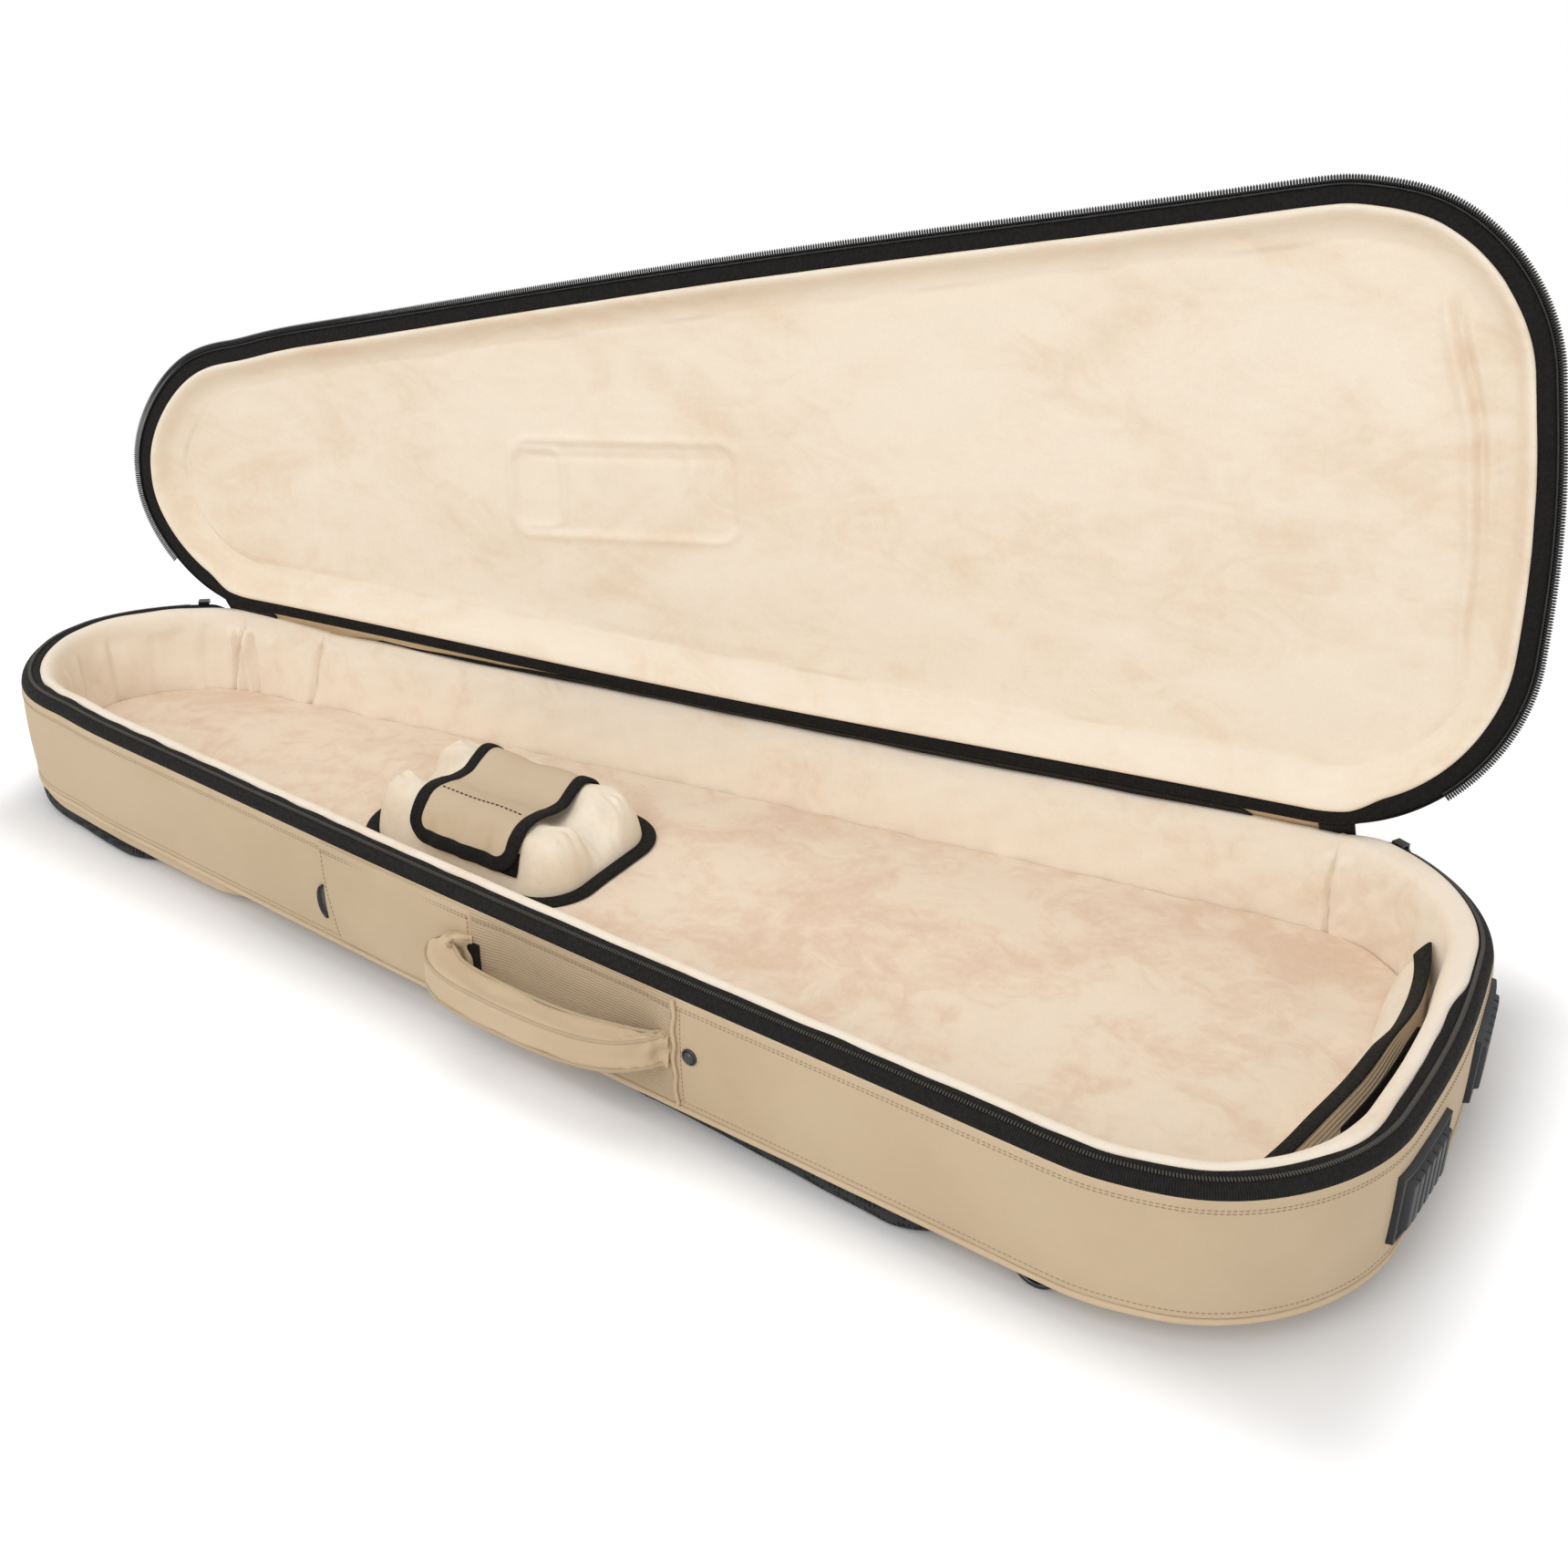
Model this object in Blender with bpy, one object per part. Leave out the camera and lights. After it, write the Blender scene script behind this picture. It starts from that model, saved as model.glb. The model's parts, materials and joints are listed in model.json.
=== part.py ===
"""Soft wedge-shaped guitar gig bag, lying open on its back pads.

Units are metres, +Z is up. X runs along the bag from the narrow head end to the
wide end, and Y runs towards the hinge side. The origin is on the floor, under the
middle of the mesh back pad. The pieces of the lid and the other moving pieces are
modelled in the closed or hanging position and turned by their parent empty.
"""
import math
from collections import namedtuple

import bpy
import bmesh
from mathutils import Matrix, Vector

# Outline of the bag, seen from above
LENGTH = 1.100
HEAD_HALF_WIDTH = 0.118
TAIL_HALF_WIDTH = 0.210
HEAD_FLAT = 0.005
TAIL_CORNER_R = 0.1215
HEAD_BOW = 0.012
TAIL_BOW = 0.013
SIDE_BOW = 0.004

# Heights
STAND_HEIGHT = 0.020
BASE_HEIGHT = 0.080
WALL_DRAFT = 0.002
LID_DEPTH = 0.030
LID_CROWN = 0.007

# Fabric and padding thicknesses
CLEARANCE = 0.0003
SKIN = 0.0018
LINING = 0.003
WALL_THICKNESS = 0.0285
FLOOR_FOAM = 0.010
PIPING_R = 0.0022

# Zipper round the head end, the near side and the wide end
COIL_R = 0.0015
COIL_INSET = 0.0051
COIL_HEIGHT = 0.0069
FACING_WIDTH = 0.0100
ZIPPER_GAP = 0.0004
COIL_START_TURN = 37.0
LID_COIL_START_TURN = 45.0
TAPE_START_TURN = 15.0

# Fabric hinge on the far side
HINGE_DROP = 0.0070
HINGE_TURN_START = 12.0
HINGE_TURN_END = 28.0
LID_OPEN_DEG = 99.5
LID_SET_IN = 0.028
STRIP_THICKNESS = 0.0012
STRIP_HEAD_X = 0.135
STRIP_FROM_TAIL = 0.138
END_TAB_TURNS = (10.0, 18.0)

# Floor cushion
CUSHION_INSET = 0.0330
CUSHION_HEIGHT = 0.0100
CUSHION_CROWN = 0.0080

# Neck cradle and its strap flap
CRADLE_X = 0.453
CRADLE_HALF_LENGTH = 0.092
CRADLE_HALF_WIDTH = 0.062
CRADLE_HEIGHT = 0.037
SADDLE_DIP = 0.015
CRADLE_FOOT = 0.0015
CRADLE_CORNER_R = 0.022
CRADLE_BINDING_WIDTH = 0.010
FLAP_HALF_WIDTH = 0.050
FLAP_THICKNESS = 0.0020
FLAP_BINDING_WIDTH = 0.0085

# Pocket at the wide end
POCKET_FROM_TAIL = 0.060
POCKET_LEAN = 0.020
POCKET_THICKNESS = 0.010
POCKET_HALF_WIDTH = 0.136
POCKET_HEIGHT = 0.042
POCKET_BINDING = 0.010
CLOSURE_START_Y = -0.112
CLOSURE_END_Y = 0.020
CLOSURE_DROP = 0.013
CLOSURE_WIDTH = 0.013

# Near side: handle bay, handle, rivet and grommet
OVERLAY_START_X = 0.414
HANDLE_START_X = 0.556
HANDLE_END_X = 0.717
PANEL_THICKNESS = 0.0012
HANDLE_DROP = 0.036
HANDLE_REACH = 0.0275
HANDLE_HALF_HEIGHT = 0.0095
HANDLE_HALF_DEPTH = 0.0085
HANDLE_END_HALF_HEIGHT = 0.0014
HANDLE_END_HALF_DEPTH = 0.0014
HANDLE_AXIS_OUT = 0.0036
RIVET_X = 0.728
RIVET_R = 0.0050
GROMMET_HALF_HEIGHT = 0.0125
GROMMET_WIDTH = 0.0065

# Bumpers on the wide end
BUMPER_Y = 0.071
BUMPER_HALF_WIDTH = 0.036
BUMPER_HEIGHT = 0.043
BUMPER_DROP = 0.018
BUMPER_PLATE = 0.0025
BUMPER_RIB = 0.0080
BUMPER_GROOVE = 0.0045
BUMPER_RIBS = 6

# Underside
MESH_PAD_LENGTH = 0.265
MESH_PAD_FROM_TAIL = 0.195
MESH_PAD_INSET = 0.012
MESH_PAD_CORNER = 0.045
HEAD_PAD_START_X = 0.006
HEAD_PAD_END_X = 0.165
HEAD_PAD_THICKNESS = 0.009
COVER_START_X = 0.030
COVER_END_X = 0.300
COVER_THICKNESS = 0.0105
PAD_INSET = 0.014
FLAT_CUT = 0.0005
WEBBING_Y = 0.090
WEBBING_WIDTH = 0.025
WEBBING_THICKNESS = 0.0016
ADJUSTER_X = 0.345
ADJUSTER_LENGTH = 0.024
ADJUSTER_FRAME = 0.0030
RING_FROM_TAIL = 0.155
RING_SIDE_INSET = 0.016
RING_HALF_WIDTH = 0.0125
RING_DEPTH = 0.0135
RING_WIRE = 0.0018
LOOP_GAP = 0.0005

# Zipper sliders and pulls
SLIDER_TURN = 31.0
SLIDER_LENGTH = 0.0090
SLIDER_WALL = 0.0014
SLIDER_SIDE_GAP = 0.0006
PULL_LENGTH = 0.030
PULL_WIDTH = 0.0070
PULL_THICKNESS = 0.0018

# How finely the curves are divided
HEAD_STEPS = 8
SIDE_STEPS = 6
TAIL_STEPS = 8
END_STEPS = 3
CROWN_RINGS = (0.15, 0.42, 0.80)

HEAD_CORNER_R = HEAD_HALF_WIDTH - HEAD_FLAT
STRIP_TAIL_X = LENGTH - STRIP_FROM_TAIL
POCKET_X = LENGTH - POCKET_FROM_TAIL
RING_X = LENGTH - RING_FROM_TAIL
MESH_PAD_END_X = LENGTH - MESH_PAD_FROM_TAIL
MESH_PAD_START_X = MESH_PAD_END_X - MESH_PAD_LENGTH
RIM_Z = STAND_HEIGHT + BASE_HEIGHT
ORIGIN_X = (MESH_PAD_START_X + MESH_PAD_END_X) / 2
SPINE_TAIL_X = LENGTH - TAIL_HALF_WIDTH * 0.8
CLOSING_Z = COIL_HEIGHT + COIL_R + ZIPPER_GAP / 2
LID_RIM = 2 * CLOSING_Z
BOTTOM_Z = STAND_HEIGHT + CLEARANCE
BOTTOM_PANEL_TOP = BOTTOM_Z + SKIN
FLOOR_Z = BOTTOM_PANEL_TOP + CLEARANCE + FLOOR_FOAM
CUSHION_EDGE_Z = FLOOR_Z + CLEARANCE + CUSHION_HEIGHT * 0.75

KHAKI = ("khaki_fabric", (0.56, 0.43, 0.27), 0.85, 0.0)
PLUSH = ("cream_plush", (0.84, 0.70, 0.54), 0.95, 0.0)
FELT = ("cradle_felt", (0.86, 0.76, 0.62), 0.95, 0.0)
FOAM = ("grey_foam", (0.35, 0.35, 0.36), 0.90, 0.0)
BLACK_TAPE = ("black_tape", (0.018, 0.017, 0.018), 0.80, 0.0)
BLACK_MESH = ("black_mesh", (0.022, 0.022, 0.024), 0.90, 0.0)
BLACK_PLASTIC = ("black_plastic", (0.020, 0.020, 0.022), 0.45, 0.0)
BLACK_METAL = ("black_metal", (0.030, 0.031, 0.034), 0.35, 0.9)
RUBBER = ("black_rubber", (0.024, 0.024, 0.026), 0.60, 0.0)

Sample = namedtuple("Sample", "x y nx ny turn far")


def smoothstep(value):
    value = min(1.0, max(0.0, value))
    return value * value * (3 - 2 * value)


def mix(a, b, share):
    return a + (b - a) * share


def build_outline():
    """Points of the bag's outline from the head end along the near side and back."""
    head = Vector((HEAD_CORNER_R, HEAD_CORNER_R - HEAD_HALF_WIDTH))
    tail = Vector((LENGTH - TAIL_CORNER_R, TAIL_CORNER_R - TAIL_HALF_WIDTH))
    run = tail - head
    side = math.atan2(run.y, run.x) - math.pi / 2
    side -= math.asin((TAIL_CORNER_R - HEAD_CORNER_R) / run.length)
    outward = Vector((math.cos(side), math.sin(side)))
    near = [(Vector((0.0, 0.0)), 90.0)]
    for step in range(HEAD_STEPS + 1):
        angle = mix(-math.pi, side, step / HEAD_STEPS)
        spot = head + HEAD_CORNER_R * Vector((math.cos(angle), math.sin(angle)))
        near.append((spot, math.degrees(side - angle)))
    start = head + outward * HEAD_CORNER_R
    end = tail + outward * TAIL_CORNER_R
    for step in range(1, SIDE_STEPS):
        share = step / SIDE_STEPS
        bow = SIDE_BOW * math.sin(math.pi * share) ** 2
        near.append((start.lerp(end, share) + outward * bow, 0.0))
    for step in range(TAIL_STEPS + 1):
        angle = mix(side, 0.0, step / TAIL_STEPS)
        spot = tail + TAIL_CORNER_R * Vector((math.cos(angle), math.sin(angle)))
        near.append((spot, math.degrees(angle - side)))
    for step in range(1, END_STEPS + 1):
        near.append((Vector((LENGTH, tail.y * (1 - step / END_STEPS))), 90.0))
    for spot, turn in near:
        if spot.x < HEAD_CORNER_R:
            share = min(1.0, abs(spot.y) / HEAD_HALF_WIDTH)
            spot.x -= HEAD_BOW * math.cos(share * math.pi / 2) ** 2
        if spot.x > LENGTH - TAIL_CORNER_R:
            share = min(1.0, abs(spot.y) / TAIL_HALF_WIDTH)
            spot.x += TAIL_BOW * math.cos(share * math.pi / 2) ** 2
    far = [(Vector((spot.x, -spot.y)), turn) for spot, turn in near[-2:0:-1]]
    points = near + far
    outline = []
    for index, (spot, turn) in enumerate(points):
        ahead = points[(index + 1) % len(points)][0]
        behind = points[index - 1][0]
        along = (ahead - behind).normalized()
        outline.append(Sample(spot.x, spot.y, along.y, -along.x, turn, index >= len(near)))
    return outline


OUTLINE = build_outline()
NEAR_COUNT = 2 + HEAD_STEPS + SIDE_STEPS - 1 + TAIL_STEPS + 1 + END_STEPS
SIDE_FIRST = 1 + HEAD_STEPS
SIDE_LAST = SIDE_FIRST + SIDE_STEPS


def hinge_share(sample):
    """1 along the hinge, 0 where the zipper is, smooth between the two."""
    if not sample.far:
        return 0.0
    reach = HINGE_TURN_END - HINGE_TURN_START
    return 1.0 - smoothstep((sample.turn - HINGE_TURN_START) / reach)


def sample_at(station):
    """The outline at a station, which is an index that may lie between two points."""
    low = math.floor(station)
    share = station - low
    a = OUTLINE[low % len(OUTLINE)]
    b = OUTLINE[(low + 1) % len(OUTLINE)]
    if share < 1e-9:
        return a
    values = [mix(a[k], b[k], share) for k in range(5)]
    return Sample(*values, a.far or b.far)


def stations_between(first, last):
    inner = [k for k in range(math.ceil(first), math.floor(last) + 1) if first + 1e-6 < k < last - 1e-6]
    return [first] + inner + [last]


def find_station(first, last, key, value):
    """The station between two indices where a coordinate reaches a value."""
    for index in range(first, last):
        a = key(OUTLINE[index % len(OUTLINE)])
        b = key(OUTLINE[(index + 1) % len(OUTLINE)])
        if min(a, b) - 1e-9 <= value <= max(a, b) + 1e-9:
            return index + (value - a) / (b - a)
    raise ValueError("no such place on the outline")


def near_station(x):
    return find_station(SIDE_FIRST, SIDE_LAST, lambda s: s.x, x)


def far_station(x):
    mirrored = near_station(x)
    return 2 * (NEAR_COUNT - 1) - mirrored


def tail_station(y):
    first = SIDE_LAST + TAIL_STEPS // 2
    return find_station(first, 2 * (NEAR_COUNT - 1) - first, lambda s: s.y, y)


def far_turn_station(turn, at_head):
    """Where the far outline has turned this far away from the hinge line."""
    near_first, near_last = (1, SIDE_FIRST) if at_head else (SIDE_LAST, SIDE_LAST + TAIL_STEPS)
    mirrored = find_station(near_first, near_last, lambda s: s.turn, turn)
    return 2 * (NEAR_COUNT - 1) - mirrored


def place(sample, inset, z):
    """A point of the base tray, whose walls lean in a little towards the bottom."""
    depth = min(1.0, max(0.0, (RIM_Z - z) / BASE_HEIGHT))
    inset += WALL_DRAFT * depth
    return Vector((sample.x - ORIGIN_X - sample.nx * inset, sample.y - sample.ny * inset, z))


def place_lid(sample, inset, z):
    return Vector((sample.x - ORIGIN_X - sample.nx * inset, sample.y - sample.ny * inset, z))


def make_material(spec):
    name, colour, roughness, metallic = spec
    material = bpy.data.materials.new(name)
    material.use_nodes = True
    shader = material.node_tree.nodes["Principled BSDF"]
    shader.inputs["Base Color"].default_value = (*colour, 1.0)
    shader.inputs["Roughness"].default_value = roughness
    shader.inputs["Metallic"].default_value = metallic
    return material


def add_object(name, vertices, faces, spec, parent=None, smooth=True):
    """A closed body with outward faces; under a parent its mesh is kept about the joint."""
    origin = parent.location if parent else Vector((0, 0, 0))
    mesh = bpy.data.meshes.new(name)
    mesh.from_pydata([tuple(Vector(v) - origin) for v in vertices], [], faces)
    work = bmesh.new()
    work.from_mesh(mesh)
    bmesh.ops.recalc_face_normals(work, faces=work.faces)
    work.to_mesh(mesh)
    work.free()
    if smooth:
        mesh.shade_smooth()
        mesh.set_sharp_from_angle(angle=math.radians(35))
    mesh.materials.append(make_material(spec))
    piece = bpy.data.objects.new(name, mesh)
    bpy.context.scene.collection.objects.link(piece)
    if parent:
        piece.parent = parent
    return piece


def add_pivot(name, location, rotation=None):
    pivot = bpy.data.objects.new(name, None)
    pivot.location = location
    if rotation:
        pivot.rotation_mode = "QUATERNION"
        pivot.rotation_quaternion = rotation
    bpy.context.scene.collection.objects.link(pivot)
    return pivot


def loft_faces(ring_count, ring_size, closed):
    faces = []
    for r in range(ring_count if closed else ring_count - 1):
        a = r * ring_size
        b = ((r + 1) % ring_count) * ring_size
        for k in range(ring_size):
            n = (k + 1) % ring_size
            faces.append((a + k, a + n, b + n, b + k))
    if not closed:
        faces.append(tuple(range(ring_size)))
        last = (ring_count - 1) * ring_size
        faces.append(tuple(last + k for k in range(ring_size)))
    return faces


def loft(rings, closed=False):
    """Vertices and faces of a body swept through equal rings of points."""
    vertices = [v for ring in rings for v in ring]
    return vertices, loft_faces(len(rings), len(rings[0]), closed)


def hollow_loft(rings):
    """A tube open at both ends; each ring holds its outer points and then its inner ones."""
    vertices = [v for section in rings for v in section]
    size = len(rings[0])
    half = size // 2
    faces = []
    for r in range(len(rings) - 1):
        for k in range(half):
            n = (k + 1) % half
            a, b = r * size, (r + 1) * size
            faces.append((a + k, a + n, b + n, b + k))
            faces.append((a + half + k, b + half + k, b + half + n, a + half + n))
    for a in (0, (len(rings) - 1) * size):
        for k in range(half):
            n = (k + 1) % half
            faces.append((a + k, a + n, a + half + n, a + half + k))
    return vertices, faces


def blended(zipper_profile, hinge_profile):
    """Cross-section that changes from the zipper's to the hinge's along the rim."""
    def at(sample):
        share = hinge_share(sample)
        pairs = zip(zipper_profile, hinge_profile)
        return [(mix(a[0], b[0], share), RIM_Z + mix(a[1], b[1], share)) for a, b in pairs]
    return at


def base_band(name, profile, spec, stations=None):
    """A band swept round the base tray, all the way or between two stations."""
    closed = stations is None
    stations = range(len(OUTLINE)) if closed else stations

    def section(index):
        sample = OUTLINE[index % len(OUTLINE)]
        return [place(sample, inset, z) for inset, z in profile(sample)]

    rings = []
    for station in stations:
        low = math.floor(station)
        pairs = zip(section(low), section(low + 1))
        rings.append([a.lerp(b, station - low) for a, b in pairs])
    return add_object(name, *loft(rings, closed), spec)


def lid_band(name, profile, spec, parent, stations=None):
    """The same for the lid, in the closed position; heights run up from the lid's rim."""
    closed = stations is None
    stations = range(len(OUTLINE)) if closed else stations
    rings = []
    for station in stations:
        sample = sample_at(station)
        rings.append([place_lid(sample, inset, RIM_Z + LID_RIM + z) for inset, z in profile])
    return add_object(name, *loft(rings, closed), spec, parent)


def towards_spine(point, share):
    """Moves a point of a ring towards the bag's centre line."""
    head = HEAD_CORNER_R - ORIGIN_X
    tail = SPINE_TAIL_X - ORIGIN_X
    target = Vector((min(tail, max(head, point.x)), 0.0, point.z))
    return point.lerp(target, share)


def ring(placer, inset, z, share=0.0):
    return [towards_spine(placer(s, inset, z), share) for s in OUTLINE]


def plate(name, rings, spec, parent=None):
    return add_object(name, *loft(rings), spec, parent)


def tube_rings(points, radius, sides, closed=False):
    """Rings of a round tube along a line of points."""
    rings = []
    count = len(points)
    for index, point in enumerate(points):
        if closed:
            ahead, behind = points[(index + 1) % count], points[index - 1]
        else:
            ahead, behind = points[min(index + 1, count - 1)], points[max(index - 1, 0)]
        along = (ahead - behind).normalized()
        up = Vector((0, 0, 1)) if abs(along.z) < 0.9 else Vector((0, 1, 0))
        across = along.cross(up).normalized()
        up = across.cross(along).normalized()
        spin = [2 * math.pi * k / sides for k in range(sides)]
        rings.append([point + radius * (math.cos(a) * across + math.sin(a) * up) for a in spin])
    return rings


def profile_piping(centre_inset, centre_z, radius, sides=6):
    turns = [2 * math.pi * (k + 0.5) / sides for k in range(sides)]
    return [(centre_inset + radius * math.cos(a), centre_z + radius * math.sin(a)) for a in turns]


def box_body(x_range, y_range, z_range):
    rings = []
    for x in x_range:
        rings.append([Vector((x, y_range[0], z_range[0])), Vector((x, y_range[1], z_range[0])),
                      Vector((x, y_range[1], z_range[1])), Vector((x, y_range[0], z_range[1]))])
    return loft(rings)


def smooth_path(points, steps):
    """A smooth curve through hand-chosen points."""
    path = []
    for index in range(len(points) - 1):
        p1, p2 = points[index], points[index + 1]
        p0 = points[index - 1] if index else p1 * 2 - p2
        p3 = points[index + 2] if index + 2 < len(points) else p2 * 2 - p1
        for step in range(steps):
            t = step / steps
            path.append(0.5 * ((2 * p1) + (p2 - p0) * t + (2 * p0 - 5 * p1 + 4 * p2 - p3) * t * t
                               + (3 * p1 - p0 - 3 * p2 + p3) * t ** 3))
    path.append(points[-1])
    return path


# The base tray

def lining_depth(z):
    """Inset of the lining's face at a height below the lip, before the wall's lean."""
    lip = RIM_Z - 0.012
    share = (lip - z) / (lip - FLOOR_Z)
    return WALL_THICKNESS - 0.0015 + 0.0015 * min(1.0, max(0.0, share))


def build_tray_walls():
    skin_foot = STAND_HEIGHT + 2 * PIPING_R + 2 * CLEARANCE

    def skin(sample):
        top = RIM_Z - HINGE_DROP * hinge_share(sample)
        return [(0.0, skin_foot), (0.0, top), (SKIN, top), (SKIN, skin_foot)]

    base_band("base_side_wall", skin, KHAKI)
    base_band("bottom_piping",
              lambda s: profile_piping(0.0009, STAND_HEIGHT + PIPING_R, PIPING_R), KHAKI)
    edge = 0.0009 + PIPING_R + CLEARANCE
    plate("bottom_panel", [ring(place, edge, BOTTOM_Z), ring(place, edge, BOTTOM_PANEL_TOP)], KHAKI)

    inner = WALL_THICKNESS - LINING - CLEARANCE
    foam_foot = skin_foot - RIM_Z
    foam_in = SKIN + CLEARANCE
    base_band("base_wall_foam", blended(
        [(foam_in, foam_foot), (foam_in, -0.0004), (0.0034, 0.0034), (0.0172, 0.0032),
         (0.0223, -0.0036), (inner, FLOOR_Z - RIM_Z), (inner, foam_foot)],
        [(foam_in, foam_foot), (foam_in, -0.0090), (0.0034, -0.0088), (0.0172, -0.0092),
         (0.0223, -0.0100), (inner, FLOOR_Z - RIM_Z), (inner, foam_foot)]), FOAM)
    foot = FLOOR_Z + CLEARANCE - RIM_Z
    base_band("base_wall_lining", blended(
        [(0.0150, 0.0066), (0.0185, 0.0072), (0.0230, 0.0045), (0.0264, -0.0040), (WALL_THICKNESS, foot),
         (WALL_THICKNESS - LINING, foot), (0.0234, -0.0040), (0.0208, 0.0022), (0.0180, 0.0041),
         (0.0150, 0.0036)],
        [(0.0150, -0.0056), (0.0185, -0.0050), (0.0230, -0.0044), (0.0262, -0.0060), (WALL_THICKNESS, foot),
         (WALL_THICKNESS - LINING, foot), (0.0232, -0.0090), (0.0208, -0.0080), (0.0180, -0.0079),
         (0.0150, -0.0083)]), PLUSH)


def facing_edge():
    return COIL_INSET + FACING_WIDTH - CLEARANCE * 1.2


def facing_profile(height_sign=1.0):
    """The black inner band beside the coil, as inset and height from its own rim."""
    edge = facing_edge()
    points = [(COIL_INSET - 0.0006, 0.0050), (COIL_INSET + 0.0018, 0.0050), (COIL_INSET + 0.0030, 0.0062),
              (edge, 0.0062), (edge, 0.0052), (COIL_INSET - 0.0006, 0.0040)]
    return [(inset, z * height_sign) for inset, z in points]


def tape_profile(height_sign=1.0):
    points = [(0.0002, 0.0003), (0.0030, 0.0056), (0.0040, 0.0050), (0.0016, 0.0003)]
    return [(inset, z * height_sign) for inset, z in points]


def zipper_stations(start_turn):
    """From the far head corner round the head end, the near side and the wide end."""
    first = far_turn_station(start_turn, True) - len(OUTLINE)
    last = far_turn_station(start_turn, False)
    return stations_between(first, last)


def build_base_zipper():
    base_band("base_zipper_coil",
              lambda s: [(i, RIM_Z + z) for i, z in profile_piping(COIL_INSET, COIL_HEIGHT, COIL_R)],
              BLACK_PLASTIC, zipper_stations(COIL_START_TURN))
    low_tape = [(0.0002, -0.00665), (0.0030, -0.00625), (0.0040, -0.0066), (0.0016, -0.00665)]
    base_band("base_zipper_tape", blended(tape_profile(), low_tape), BLACK_TAPE, zipper_stations(TAPE_START_TURN))
    base_band("base_rim_facing", blended(
        facing_profile(),
        [(0.0045, -0.0061), (0.0069, -0.0060), (0.0081, -0.0056), (facing_edge(), -0.0044),
         (facing_edge(), -0.0054), (0.0045, -0.0071)]), BLACK_TAPE)
    for end, at_head in (("head", True), ("tail", False)):
        stations = sorted(far_turn_station(turn, at_head) for turn in END_TAB_TURNS)

        base_band("zipper_end_tab_" + end, blended(
            [(0.0110, 0.0075), (0.0220, 0.0075), (0.0220, 0.0083), (0.0110, 0.0083)],
            [(0.0110, -0.0040), (0.0220, -0.0040), (0.0220, -0.0032), (0.0110, -0.0032)]),
            BLACK_TAPE, stations_between(*stations))


def cushion_top(x, y):
    """Height of the crowned floor cushion at a place on the bag, x from the head end."""
    if x > SPINE_TAIL_X:
        across = reach_from_spine_end(x, y)
    else:
        across = abs(y) / inner_half_width(x, CUSHION_INSET, CUSHION_EDGE_Z)
    across = max(1.0 - CROWN_RINGS[-1], min(1.0, across))
    return CUSHION_EDGE_Z + CUSHION_CROWN * (1 - across ** 2)


def reach_from_spine_end(x, y):
    """How far a place lies from the spine's end towards the cushion's edge, as a share."""
    arm = Vector((x - SPINE_TAIL_X, abs(y)))
    for index in range(SIDE_FIRST, NEAR_COUNT - 1):
        a = place(OUTLINE[index], CUSHION_INSET, CUSHION_EDGE_Z)
        b = place(OUTLINE[index + 1], CUSHION_INSET, CUSHION_EDGE_Z)
        a = Vector((a.x + ORIGIN_X - SPINE_TAIL_X, -a.y))
        b = Vector((b.x + ORIGIN_X - SPINE_TAIL_X, -b.y))
        if a.cross(arm) <= 0.0 <= b.cross(arm) or b.cross(arm) <= 0.0 <= a.cross(arm):
            edge = b - a
            return edge.cross(arm) / edge.cross(a) if edge.cross(a) else 1.0
    return 1.0


def inner_half_width(x, inset, z):
    """Half width of the tray at a place along it, for a given inset from the outline."""
    for index in range(SIDE_FIRST - 2, NEAR_COUNT - END_STEPS):
        a = place(OUTLINE[index], inset, z)
        b = place(OUTLINE[index + 1], inset, z)
        if a.x <= x - ORIGIN_X <= b.x:
            return -mix(a.y, b.y, (x - ORIGIN_X - a.x) / (b.x - a.x))
    raise ValueError("outside the tray")


def build_floor():
    inset = WALL_THICKNESS + CLEARANCE
    plate("floor_foam_board", [ring(place, inset - LINING, BOTTOM_PANEL_TOP + CLEARANCE),
                               ring(place, inset - LINING, FLOOR_Z)], FOAM)
    foot = FLOOR_Z + CLEARANCE
    rings = [ring(place, inset + 0.0018, foot), ring(place, inset + 0.0002, foot + CUSHION_HEIGHT * 0.35),
             ring(place, inset + 0.0012, foot + CUSHION_HEIGHT * 0.62), ring(place, CUSHION_INSET, CUSHION_EDGE_Z)]
    for share in CROWN_RINGS:
        z = CUSHION_EDGE_Z + CUSHION_CROWN * (1 - (1 - share) ** 2)
        rings.append(ring(place, CUSHION_INSET, CUSHION_EDGE_Z, share))
        for point in rings[-1]:
            point.z = z
    plate("floor_cushion", rings, PLUSH)


# The neck cradle

SECTION_Y = (-1.0, -0.935, -0.806, -0.677, -0.516, -0.323, -0.129, 0.0,
             0.129, 0.323, 0.516, 0.677, 0.806, 0.935, 1.0)
END_SHAPE = ((1.0, 0.06, 0.74), (0.955, 0.30, 0.83), (0.87, 0.64, 0.92), (0.75, 0.93, 0.985),
             (0.60, 1.0, 1.0), (0.0, 1.0, 1.0))


def saddle_height(across):
    """Height of the cradle's top over the cushion, at a share of its half width."""
    reach = abs(across)
    crest = 0.516
    if reach > crest:
        fall = (reach - crest) / (1 - crest)
        return mix(CRADLE_HEIGHT, CRADLE_FOOT, fall ** 2.0 * 0.75 + fall * 0.25)
    return CRADLE_HEIGHT - SADDLE_DIP * (0.5 + 0.5 * math.cos(math.pi * reach / crest))


def cradle_stations():
    return [-s[0] for s in END_SHAPE] + [s[0] for s in END_SHAPE[-2::-1]]


def cradle_end_scale(along):
    return next((height, width) for at, height, width in END_SHAPE if abs(at - abs(along)) < 1e-6)


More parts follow.
